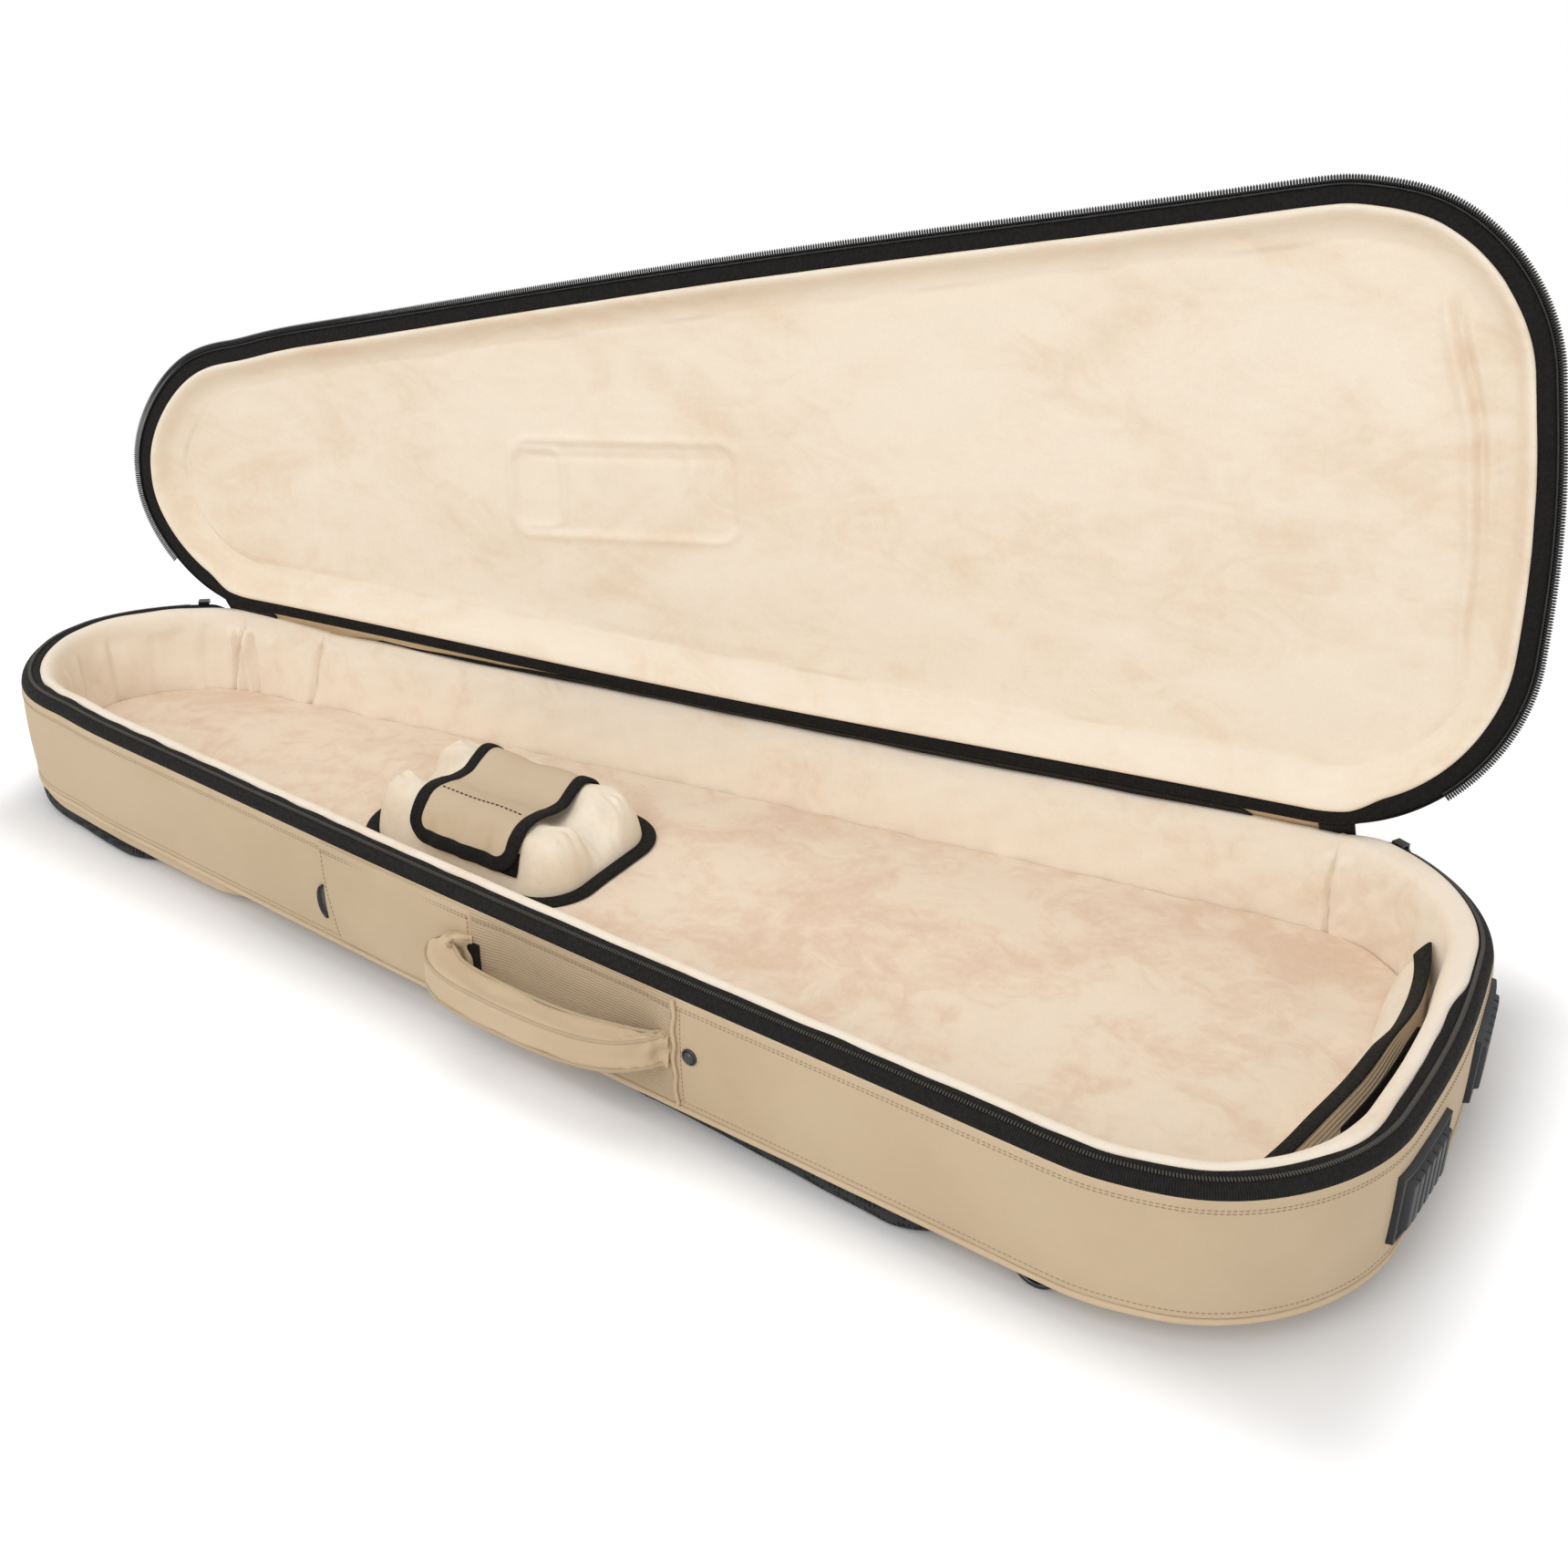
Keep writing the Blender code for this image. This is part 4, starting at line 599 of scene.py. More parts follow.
def khaki(name, tone=1.0, rib=0.0, weave=0.00085, grey=0.0):
    """Tightly woven polyester; rib adds stronger lines along the piece, grey takes some of its yellow out."""
    paint = Paint(name, roughness=0.78, specular=0.28, sheen=0.12, sheen_roughness=0.45,
                  sheen_tint=(1.0, 0.93, 0.8))
    along, across = paint.cloth()
    where = paint.coordinates()
    warp = paint.waves(along, weave)
    weft = paint.waves(across, weave)
    cells = paint.math("MULTIPLY", warp, weft)
    fine = paint.noise(where, 900.0, 3.0, 0.6)
    broad = paint.noise(where, 7.0, 4.0, 0.55)
    slub = paint.noise(paint.coordinates((1.0, 1.0, 14.0)), 60.0, 3.0, 0.6)
    base, dark, light = (tuple(mix(c, 0.46, grey) * tone * share for c in colour) for colour, share in (
        ((0.575, 0.440, 0.285), 1.0), ((0.572, 0.432, 0.276), 0.93), ((0.580, 0.448, 0.298), 1.05)))
    tint = paint.blend(paint.step(broad, 0.32, 0.68), dark, light)
    tint = paint.blend(paint.step(slub, 0.35, 0.75, 0.0, 0.35), tint, base)
    shade = paint.step(cells, -1.0, 1.0, 0.0, 0.16)
    tint = paint.blend(shade, tint, scaled(dark, 0.80))
    if rib:
        ribs = paint.waves(across, 0.0021)
        tint = paint.blend(paint.step(ribs, -0.2, 1.0, 0.0, rib), tint, scaled(dark, 0.74))
    paint.colour(tint)
    paint.rough(paint.step(fine, 0.3, 0.7, 0.70, 0.86))
    layers = [(cells, 0.20, 0.0002), (fine, 0.12, 0.0003)]
    if rib:
        layers.append((ribs, 0.5, 0.0004))
    paint.bump(*layers)
    return paint.material


def plush(name, light, warm, size, share, soft, stretch=(1.0, 1.0, 1.0)):
    """Short-pile velour, lighter where the pile has been brushed the other way."""
    paint = Paint(name, roughness=0.92, specular=0.12, sheen=0.35, sheen_roughness=0.45,
                  sheen_tint=(1.0, 0.93, 0.84))
    where = paint.coordinates(stretch)
    cloud = paint.noise(where, size, 5.0, 0.60, 0.8)
    patch = paint.noise(where, size * 3.1, 4.0, 0.65, 1.4)
    fleck = paint.noise(paint.coordinates(), 160.0, 3.0, 0.7)
    pile = paint.noise(paint.coordinates(), 1500.0, 2.0, 0.6)
    mixed = paint.math("ADD", paint.math("MULTIPLY", cloud, 0.62), paint.math("MULTIPLY", patch, 0.38))
    amount = paint.step(mixed, share - soft, share + soft)
    tint = paint.blend(amount, warm, light)
    brushed = tuple(min(1.0, c * 1.06) for c in light)
    tint = paint.blend(paint.step(fleck, 0.40, 0.70, 0.0, 0.18), tint, brushed)
    tint = paint.blend(paint.step(pile, 0.35, 0.65, 0.12, 0.0), tint, scaled(warm, 0.72))
    paint.colour(tint)
    paint.bump((patch, 0.10, 0.003), (fleck, 0.16, 0.0014), (pile, 0.30, 0.0006))
    return paint.material


def felt(name):
    paint = Paint(name, roughness=0.95, specular=0.10, sheen=0.25, sheen_tint=(1.0, 0.96, 0.88))
    where = paint.coordinates()
    broad = paint.noise(where, 24.0, 4.0, 0.6)
    hairs = paint.noise(paint.coordinates((1.0, 2.2, 1.4)), 700.0, 4.0, 0.7, 1.0)
    nubs = paint.noise(where, 260.0, 3.0, 0.7)
    tint = paint.blend(paint.step(broad, 0.35, 0.68), (0.800, 0.690, 0.540), (0.865, 0.780, 0.650))
    tint = paint.blend(paint.step(nubs, 0.45, 0.75, 0.0, 0.25), tint, (0.720, 0.600, 0.450))
    paint.colour(tint)
    paint.bump((nubs, 0.22, 0.0012), (hairs, 0.35, 0.0006))
    return paint.material


def tape(name, rib=0.0014, along_rib=True, tone=1.0, rough=0.74):
    """Black woven tape with fine ribs across it."""
    paint = Paint(name, roughness=rough, specular=0.16)
    along, across = paint.cloth()
    ribs = paint.waves(along if along_rib else across, rib)
    threads = paint.waves(across if along_rib else along, rib * 0.8)
    grain = paint.noise(paint.coordinates(), 420.0, 3.0, 0.6)
    dark = scaled((0.0050, 0.0045, 0.0042), tone)
    light = scaled((0.0240, 0.0215, 0.0200), tone)
    tint = paint.blend(paint.step(ribs, -0.6, 1.0, 0.0, 0.8), dark, light)
    tint = paint.blend(paint.step(grain, 0.35, 0.70, 0.0, 0.35), tint, scaled(dark, 0.6))
    paint.colour(tint)
    paint.rough(paint.step(grain, 0.3, 0.7, rough - 0.06, rough + 0.10))
    crossed = paint.math("MULTIPLY", ribs, threads)
    paint.bump((ribs, 0.45, 0.0004), (crossed, 0.25, 0.0003), (grain, 0.15, 0.0004))
    return paint.material


def plastic(name, colour=(0.016, 0.016, 0.018), rough=0.42, grain_depth=0.0002, metallic=0.0):
    paint = Paint(name, roughness=rough, specular=0.5, metallic=metallic)
    where = paint.coordinates()
    grain = paint.noise(where, 900.0, 3.0, 0.6)
    broad = paint.noise(where, 40.0, 3.0, 0.6)
    tint = paint.blend(paint.step(broad, 0.3, 0.7), scaled(colour, 0.85), scaled(colour, 1.2))
    paint.colour(tint)
    paint.rough(paint.step(broad, 0.3, 0.7, rough - 0.05, rough + 0.08))
    paint.bump((grain, 0.2, grain_depth))
    return paint.material


def spacer_mesh(name):
    """Black padded mesh with small open cells."""
    paint = Paint(name, roughness=0.82, specular=0.3)
    where = paint.coordinates((1.0, 1.0, 0.45))
    node = paint.node("TexVoronoi")
    paint.put(node.inputs["Vector"], where)
    node.inputs["Scale"].default_value = 330.0
    node.inputs["Randomness"].default_value = 0.25
    # The open cells are painted darker than the threads round them, as painted shade inside the cells.
    hole = paint.step(node.outputs["Distance"], 0.28, 0.50)
    paint.colour(paint.blend(hole, (0.0035, 0.0035, 0.0038), (0.030, 0.030, 0.032)))
    paint.bump((hole, 0.7, 0.0008), (paint.noise(where, 900.0, 2.0), 0.15, 0.0003))
    return paint.material


def thread(name, colour):
    paint = Paint(name, roughness=0.7, specular=0.3)
    twist = paint.noise(paint.coordinates(), 2400.0, 2.0, 0.5)
    paint.colour(paint.blend(paint.step(twist, 0.3, 0.7), scaled(colour, 0.8), colour))
    paint.bump((twist, 0.2, 0.0002))
    return paint.material


M = SimpleNamespace(
    khaki=khaki("khaki_weave"),
    khaki_light=khaki("khaki_smooth", tone=1.05, weave=0.0007),
    khaki_rib=khaki("khaki_ribbed", tone=0.93, rib=0.34),
    # The welts' khaki is darker, as painted shade along the handle's piped edges.
    welt=khaki("khaki_welt_painted_shade", tone=0.84, weave=0.0007),
    flap=khaki("khaki_flap", tone=1.01, weave=0.0007, grey=0.10),
    floor=plush("floor_velour", (0.855, 0.725, 0.580), (0.760, 0.575, 0.425),
    size=13.0, share=0.49, soft=0.11),
    wall=plush("wall_velour", (0.895, 0.800, 0.670), (0.825, 0.670, 0.515), size=11.0, share=0.41, soft=0.12),
    lid=plush("lid_velour", (0.890, 0.790, 0.650), (0.815, 0.650, 0.485), size=6.0, share=0.44, soft=0.14,
              stretch=(0.8, 1.0, 1.5)),
    felt=felt("brushed_felt"),
    tape=tape("ribbed_tape"),
    binding=tape("binding_tape", rib=0.0011, tone=0.9),
    hook=tape("hook_tape", rib=0.0016, tone=0.8, rough=0.9),
    teeth=plastic("coil_teeth", colour=(0.050, 0.043, 0.035), rough=0.48),
    comb=plastic("comb_teeth", colour=(0.006, 0.006, 0.006), rough=0.60),
    rubber=plastic("bumper_rubber", colour=(0.012, 0.013, 0.015), rough=0.50, grain_depth=0.0003),
    plastic=plastic("moulded_black", colour=(0.014, 0.014, 0.015), rough=0.40),
    metal=plastic("black_metal", colour=(0.055, 0.056, 0.060), rough=0.30, metallic=0.9),
    mesh=spacer_mesh("spacer_mesh"),
    thread=thread("khaki_thread", (0.36, 0.25, 0.14)),
    dark_thread=thread("brown_thread", (0.055, 0.030, 0.016)),
)


# Base tray: outer wall, piping and bottom

FOOT_Z = STAND + 2 * PIPING_R + 0.0006
BAY = (0.556, 0.7165)


def in_bay(x):
    """1 inside the handle's bay and 0 outside it, with soft ends."""
    return smooth((x - BAY[0]) / 0.030) * smooth((BAY[1] - x) / 0.030)


def wall_crown(x_from_head, z, far):
    """How far the soft wall stands proud of its straight line; the handle's bay dips in."""
    t = np.clip((z - FOOT_Z) / (RIM_Z - FOOT_Z), 0, 1)
    proud = 0.0013 * np.sin(math.pi * t) ** 0.8
    dip = 0.0055 * in_bay(x_from_head) * np.sin(math.pi * np.clip(t, 0, 1)) ** 0.8 * (1 - far)
    return proud - dip


def wall_inset(r, z):
    x = np.broadcast_to(r.x[:, None], z.shape)
    far = np.broadcast_to(r.far[:, None], z.shape)
    spot = np.stack([x, np.broadcast_to(r.y[:, None], z.shape), z], -1)
    t = np.clip((z - FOOT_Z) / (RIM_Z - FOOT_Z), 0, 1)
    uneven = 0.00045 * ripple(spot, 0.11, 3) * np.sin(math.pi * t)
    return -wall_crown(x, z, far) - uneven


def near_point(x, z, out):
    """Points on the near wall's outside, for arrays of places along it and heights."""
    x, z, out = np.broadcast_arrays(x, z, out)
    flat = RIM.at(RIM.near(x.ravel()))
    heights = z.reshape(-1, 1)
    inset = wall_inset(flat, heights) - out.reshape(-1, 1)
    return place(flat, inset, heights)[:, 0].reshape(*x.shape, 3)


def near_normal(x):
    flat = RIM.at(RIM.near(np.ravel(x)))
    return np.stack([flat.nx, flat.ny, np.zeros(len(flat.nx))], 1).reshape(*np.shape(x), 3)


def build_wall():
    s = around(720)
    r = RIM.at(s)
    top = RIM_Z - HINGE_DROP * hinge_share(r)
    t = np.linspace(0, 1, 19)
    z_out = FOOT_Z + (top[:, None] - 0.0011 - FOOT_Z) * t
    inset_out = wall_inset(r, z_out)
    fold = np.array([(0.0001, -0.0005), (0.0004, -0.0001), (0.0010, 0.0), (0.0016, -0.0002), (SKIN, -0.0008)])
    z_fold = top[:, None] + fold[:, 1]
    inset_fold = np.broadcast_to(fold[:, 0], z_fold.shape)
    z_in = np.stack([top - 0.006, np.full(len(s), RIM_Z - 0.040), np.full(len(s), FOOT_Z)], 1)
    inset_in = np.full((len(s), 3), SKIN)
    inset_in[:, 1] += 0.006 * (in_bay(r.x) * (1 - r.far))
    grid = place(r, np.hstack([inset_out, inset_fold, inset_in]), np.hstack([z_out, z_fold, z_in]))
    piece = loft("base_wall_cloth", grid, ring=True, u=s)
    on_tray(piece, M.khaki, "khaki_fabric", "base_side_wall", "base_wall_foam")

    lines = []
    for drop in STITCH_DROPS:
        z = (top - drop)[:, None]
        path = place(r, wall_inset(r, z) - 0.00005, z)[:, 0]
        normal = outward_of(r)
        lines.append(stitch_row(closed(path), closed(normal), STITCH_PITCH))
    z = np.full((len(s), 1), FOOT_Z + 0.0035)
    path = place(r, wall_inset(r, z) - 0.00005, z)[:, 0]
    lines.append(stitch_row(path, normal, STITCH_PITCH))
    stitching("base_wall_stitching", lines, *STITCH, M.thread, "base_tray")

    turn = full_turn(12)
    wavy = 1 + 0.03 * ripple(ground(r), 0.03, 9)
    inset = 0.0009 + PIPING_R * np.cos(turn)[None] * wavy[:, None]
    z = STAND + PIPING_R + PIPING_R * np.sin(turn)[None] * wavy[:, None]
    piece = loft("base_foot_piping", place(r, inset, z), ring=True, u=s, sharp=0)
    on_tray(piece, M.khaki_light, "khaki_fabric", "bottom_piping")

    s = around(480)
    r = RIM.at(s)
    rings = []
    low, high = STAND + 0.0003, STAND + 0.0021
    for inset, z in ((0.0040, high), (0.0034, high), (0.0034, low + 0.0004), (0.0040, low)):
        rings.append(on_rim(r, inset, z))
    edge = on_rim(r, 0.0040, low)
    for share in (0.03, 0.08, 0.2, 0.4, 0.6, 0.8, 0.97):
        spot = spine(edge, share)
        spot[:, 2] = low - 0.00035 * smooth(share / 0.1) * (1 + 0.6 * ripple(spot, 0.16, 21))
        rings.append(spot)
    piece = pillow("bottom_cloth", rings)
    on_tray(piece, M.khaki, "khaki_fabric", "bottom_panel", "floor_foam_board")


def blended(zipper_points, hinge_points, count, s):
    """A soft cross-section that changes from the zipper's to the hinge's along the rim."""
    r = RIM.at(s)
    a, b = curve(zipper_points, count), curve(hinge_points, count)
    share = hinge_share(r)[:, None]
    return r, mix(a[None, :, 0], b[None, :, 0], share), RIM_Z + mix(a[None, :, 1], b[None, :, 1], share)


# The zipper on the base's rim, and the tabs at its ends

def build_base_zipper():
    first, last = RIM.zipper(15.0)
    s = np.linspace(first, last, 560)
    high = [(0.0003, -0.0004), (0.0005, 0.0012), (0.0014, 0.0034), (0.0030, 0.0050), (0.0052, 0.0062),
            (0.0070, 0.0066), (0.0071, 0.0058), (0.0046, 0.0048), (0.0026, 0.0030), (0.0016, -0.0002)]
    low = [(0.0003, -0.0074), (0.0009, -0.0068), (0.0020, -0.0064), (0.0034, -0.0061), (0.0050, -0.0060),
           (0.0068, -0.0058), (0.0069, -0.0064), (0.0048, -0.0068), (0.0028, -0.0071), (0.0016, -0.0074)]
    r, inset, z = blended(high, low, 18, s)
    piece = loft("base_outer_tape", place(r, inset, z), u=s)
    on_tray(piece, M.tape, "black_tape", "base_zipper_tape")

    s = around(900)
    edge = 0.01475
    high = [(0.0080, 0.0062), (0.0088, 0.0066), (0.0100, 0.0069), (0.0118, 0.0070), (0.0138, 0.0069),
            (edge, 0.0062), (edge, 0.0054), (0.0124, 0.0052), (0.0100, 0.0052), (0.0082, 0.0054)]
    low = [(0.0074, -0.0060), (0.0082, -0.0057), (0.0092, -0.0054), (0.0110, -0.0050), (0.0136, -0.0046),
           (edge, -0.0045), (edge, -0.0053), (0.0118, -0.0057), (0.0096, -0.0062), (0.0078, -0.0067)]
    r, inset, z = blended(high, low, 22, s)
    spot = ground(r)
    inset = inset + 0.0004 * ripple(spot, 0.035, 5)[:, None] * smooth((inset - 0.010) / 0.004)
    piece = loft("base_inner_band", place(r, inset, z), ring=True, u=s)
    on_tray(piece, M.binding, "black_tape", "base_rim_facing")

    first, last = RIM.zipper(37.0)
    s = np.arange(first, last, TOOTH_PITCH)
    r = RIM.at(s)
    centre = on_rim(r, COIL_INSET - 0.0001, RIM_Z + COIL_HEIGHT)
    outward = outward_of(r)
    up = np.tile([0, 0, 1.0], (len(s), 1))
    piece = seeds("base_coil_teeth", centre, outward + 0.12 * np.stack([-r.ny, r.nx, 0 * r.nx], 1), up,
                  0.0030, 0.0012, 0.0014)
    on_tray(piece, M.teeth, "black_plastic", "base_zipper_coil")
    s = np.linspace(first, last, 700)
    r = RIM.at(s)
    path = on_rim(r, COIL_INSET + 0.0002, RIM_Z + COIL_HEIGHT - 0.0004)
    on_tray(tube("base_coil_cord", path, 0.0009, 6), M.tape, "black_plastic")


def build_end_tabs():
    line = curve([(0.0010, -0.0068), (0.0026, -0.0034), (0.0060, -0.0016), (0.0095, -0.0012),
                  (0.0122, -0.0016)], 20)
    for end, first, last in (("head", 0.074, 0.122), ("tail", 0.976, 0.993)):
        s = np.sort(np.linspace(RIM.far_side(first), RIM.far_side(last), 26))
        r = RIM.at(s)
        rise = 0.0098 * (1 - hinge_share(r))[:, None]
        inset = line[None, :, 0] + 0 * rise
        z = RIM_Z + line[None, :, 1] + rise * smooth((line[None, :, 0] - 0.001) / 0.006)
        top = place(r, inset, z)
        under = place(r, inset - 0.0006, z - 0.0009)
        piece = slab("zipper_end_cover_" + end, top, under)
        on_tray(piece, M.tape, "black_tape", "zipper_end_tab_" + end)


# Plush lining of the base

# Gathers round the head: place along the rim from the head's middle, height, width
HEAD_PLEATS = ((-0.196, 0.0022, 0.010), (-0.166, 0.0050, 0.009), (-0.148, 0.0034, 0.007),
               (-0.112, 0.0014, 0.012), (-0.060, 0.0012, 0.014), (-0.010, 0.0016, 0.012),
               (0.034, 0.0026, 0.010), (0.062, 0.0040, 0.009), (0.086, 0.0030, 0.008),
               (0.118, 0.0024, 0.010), (0.150, 0.0020, 0.012))


def seam_lines():
    """Vertical seams of the lining: place along the rim at the top, and how far the foot moves."""
    return [(RIM.far_side(0.087), 0.019), (RIM.far_side(0.173), 0.020), (RIM.far_side(0.992), -0.003),
            (RIM.near(0.240), 0.0), (RIM.near(0.985), 0.0), (RIM.tail(-0.060), 0.0)]


# Height of the lining's roll along the hinge, by place from the head end
LIP_LINE = ((0.040, 0.0078), (0.085, 0.0082), (0.115, 0.0074), (0.150, 0.0042), (0.190, 0.0018),
            (0.230, 0.0026), (0.290, 0.0012), (0.350, 0.0008), (0.500, 0.0010), (0.700, 0.0012),
            (0.800, 0.0032), (0.870, 0.0040), (0.920, 0.0062), (0.960, 0.0056), (0.985, 0.0056),
            (1.000, 0.0070), (1.050, 0.0078))


def build_lining():
    s = around(1440)
    foot = FLOOR_Z + 0.0003 - RIM_Z
    face = WALL
    high = [(0.0146, 0.0050), (0.0152, 0.0066), (0.0172, 0.0078), (0.0200, 0.0078), (0.0230, 0.0060),
            (0.0254, 0.0018), (0.0268, -0.0060), (0.0274, -0.0160), (0.0279, -0.0300), (0.0283, -0.0460),
            (0.0284, -0.0600), (face, foot), (face - 0.003, foot), (0.0252, -0.0300), (0.0234, -0.0040),
            (0.0208, 0.0022), (0.0172, 0.0042)]
    low = [(0.0146, -0.0066), (0.0152, -0.0056), (0.0172, -0.0048), (0.0200, -0.0045), (0.0230, -0.0050),
           (0.0254, -0.0072), (0.0267, -0.0130), (0.0274, -0.0210), (0.0279, -0.0320), (0.0283, -0.0470),
           (0.0284, -0.0600), (face, foot), (face - 0.003, foot), (0.0252, -0.0320), (0.0234, -0.0100),
           (0.0208, -0.0088), (0.0172, -0.0084)]
    count = 50
    r, inset, z = blended(high, low, count, s)
    part = np.linspace(0, 16, count)[None]
    shown = smooth(part / 1.5) * smooth((11.6 - part) / 1.2)
    below = np.clip((RIM_Z - z) / (RIM_Z - FLOOR_Z), 0, 1)
    body = np.sin(math.pi * np.clip(below, 0.02, 0.98)) ** 0.6 * smooth((below - 0.04) / 0.20)
    spot = np.stack(np.broadcast_arrays(r.x[:, None], r.y[:, None], z), -1)
    puff = 0.0009 * ripple(spot * np.array([1, 1, 0.5]), 0.085, 31) * body
    puff += 0.0005 * ripple(spot, 0.028, 32) * smooth((below - 0.02) / 0.12)
    signed = (s + RIM.length / 2) % RIM.length - RIM.length / 2
    for at, drift in seam_lines():
        away = (s - at + RIM.length / 2) % RIM.length - RIM.length / 2
        wander = 0.0012 * np.sin(below * 7 + at * 40)
        away = away[:, None] + wander - drift * below
        depth = smooth((below - 0.02) / 0.10)
        puff += depth * (-0.0042 * bell(away, 0.0015) + 0.0018 * bell(np.abs(away) - 0.008, 0.007))
    for at, tall, wide in HEAD_PLEATS:
        lean = at + 0.006 * np.sin(at * 90) * below
        away = signed[:, None] - lean
        fade = smooth((below - 0.03) / 0.22) * (1 - 0.35 * below)
        gather = bell(away - 0.4 * wide, wide * 0.55) - 0.9 * bell(away + 0.5 * wide, wide * 0.30)
        puff += fade * tall * gather
    inset = inset + puff * shown
    hinge = hinge_share(r)
    crest = curve(LIP_LINE, 400)
    rise = (np.interp(r.x, crest[:, 0], crest[:, 1]) + 0.0045) * hinge
    rolled = smooth((inset - 0.0136) / 0.0030) * smooth((0.0262 - inset) / 0.0050)
    z = z + rise[:, None] * rolled * smooth((z - (RIM_Z - 0.020)) / 0.010)
    wide = 0.0048 * smooth((r.y - 0.020) / 0.035) * smooth((r.x - 0.985) / 0.020) * (1 - hinge)
    wide = wide + 0.0028 * bell(r.y + 0.125, 0.030) * smooth((r.x - 1.030) / 0.020)
    outer = smooth((0.0232 - inset) / 0.0060)
    z = z + (0.5 * wide)[:, None] * outer
    inset = inset - wide[:, None] * outer
    z = z + 0.0003 * ripple(spot, 0.05, 33) * shown * (1 - smooth(below / 0.2))
    piece = loft("base_plush_wall", place(r, inset, z), ring=True, u=s, sharp=0)
    on_tray(piece, M.wall, "cream_plush", "base_wall_lining")


# Floor cushion

def half_width_at(x):
    """Half width of the floor cushion's top at a place along it."""
    r = RIM.at(np.linspace(0, RIM.length / 2, 700))
    edge = on_rim(r, CUSHION_INSET, CUSHION_EDGE_Z)
    return np.interp(x - ORIGIN_X, edge[:, 0], -edge[:, 1])


def cushion_top(x, y):
    """Height of the crowned floor cushion, x from the head end."""
    x, y = np.broadcast_arrays(np.asarray(x, float), np.asarray(y, float))
    across = np.abs(y) / half_width_at(np.minimum(x, SPINE_TAIL_X))
    r = RIM.at(np.linspace(RIM.near(0.90), RIM.length / 2, 300))
    edge = on_rim(r, CUSHION_INSET, CUSHION_EDGE_Z)
    ex, ey = edge[:, 0] + ORIGIN_X - SPINE_TAIL_X, -edge[:, 1]
    edge_angle = np.arctan2(ey, ex)
    order = np.argsort(edge_angle)
    reach = np.interp(np.arctan2(np.abs(y), x - SPINE_TAIL_X), edge_angle[order], np.hypot(ex, ey)[order])
    beyond = np.hypot(x - SPINE_TAIL_X, y) / reach
    across = np.where(x > SPINE_TAIL_X, beyond, across)
    across = np.clip(across, 0.2, 1.0)
    return CUSHION_EDGE_Z + CUSHION_CROWN * (1 - across ** 2)


def build_cushion():
    s = around(960)
    r = RIM.at(s)
    rings = []
    base = WALL + 0.0004
    foot = FLOOR_Z + 0.0003
    profile = curve([(0.0022, 0.0), (0.0004, 0.0016), (0.0001, 0.0036), (0.0006, 0.0056), (0.0022, 0.0070),
                     (0.0044, 0.0076)], 12)
    for inset, lift in profile:
        spot = on_rim(r, base + inset, foot + lift)
        spot[:, 2] += 0.0004 * ripple(spot, 0.05, 41) * smooth(lift / 0.005)
        rings.append(spot)
    edge = on_rim(r, CUSHION_INSET, CUSHION_EDGE_Z)
    for share in np.concatenate([np.linspace(0.02, 0.2, 7), np.linspace(0.24, 0.98, 22)]):
        spot = spine(edge, share)
        crown = 1 - np.clip(1 - share, 0.2, 1) ** 2
        spot[:, 2] = CUSHION_EDGE_Z + CUSHION_CROWN * crown
        calm = smooth(share / 0.15)
        spot[:, 2] += calm * (0.0006 * ripple(spot, 0.14, 42) + 0.00035 * ripple(spot, 0.045, 43))
        rings.append(spot)
    piece = pillow("floor_plush_cushion", rings, sharp=0)
    on_tray(piece, M.floor, "cream_plush", "floor_cushion")


# Neck cradle with its strap flap

CRADLE_X = 0.453
CRADLE_L = 0.092
CRADLE_W = 0.062
CRADLE_H = 0.037
CRADLE_DIP = 0.015
CRADLE_SHIFT = -0.0080
CRADLE_TWIST = -0.065
CRADLE_ROUND = 0.033


def cradle_y(x0):
    """How far the block sits towards the near side; it is turned a little on the floor."""
    return CRADLE_SHIFT + CRADLE_TWIST * x0


def saddle(across):
    reach = np.abs(across)
    crest = 0.516
    fall = np.clip((reach - crest) / (1 - crest), 0, 1)
    outside = mix(CRADLE_H, 0.0015, fall ** 3.4 * 0.92 + fall * 0.08)
    inside = CRADLE_H - CRADLE_DIP * (0.5 + 0.5 * np.cos(math.pi * reach / crest))
    return np.where(reach > crest, outside, inside)


def rounded_width(x, half_length, half_width, radius):
    """Half width of a rounded rectangle at a distance from its middle."""
    over = np.clip(np.abs(x) - (half_length - radius), 0, radius)
    return half_width - radius + np.sqrt(np.maximum(radius ** 2 - over ** 2, 0))


def rounded_depth(x, y, half_length, half_width, radius):
    """Distance inside a rounded rectangle's edge."""
    qx = np.abs(x) - (half_length - radius)
    qy = np.abs(y) - (half_width - radius)
    out = np.hypot(np.maximum(qx, 0), np.maximum(qy, 0)) + np.minimum(np.maximum(qx, qy), 0)
    return radius - out


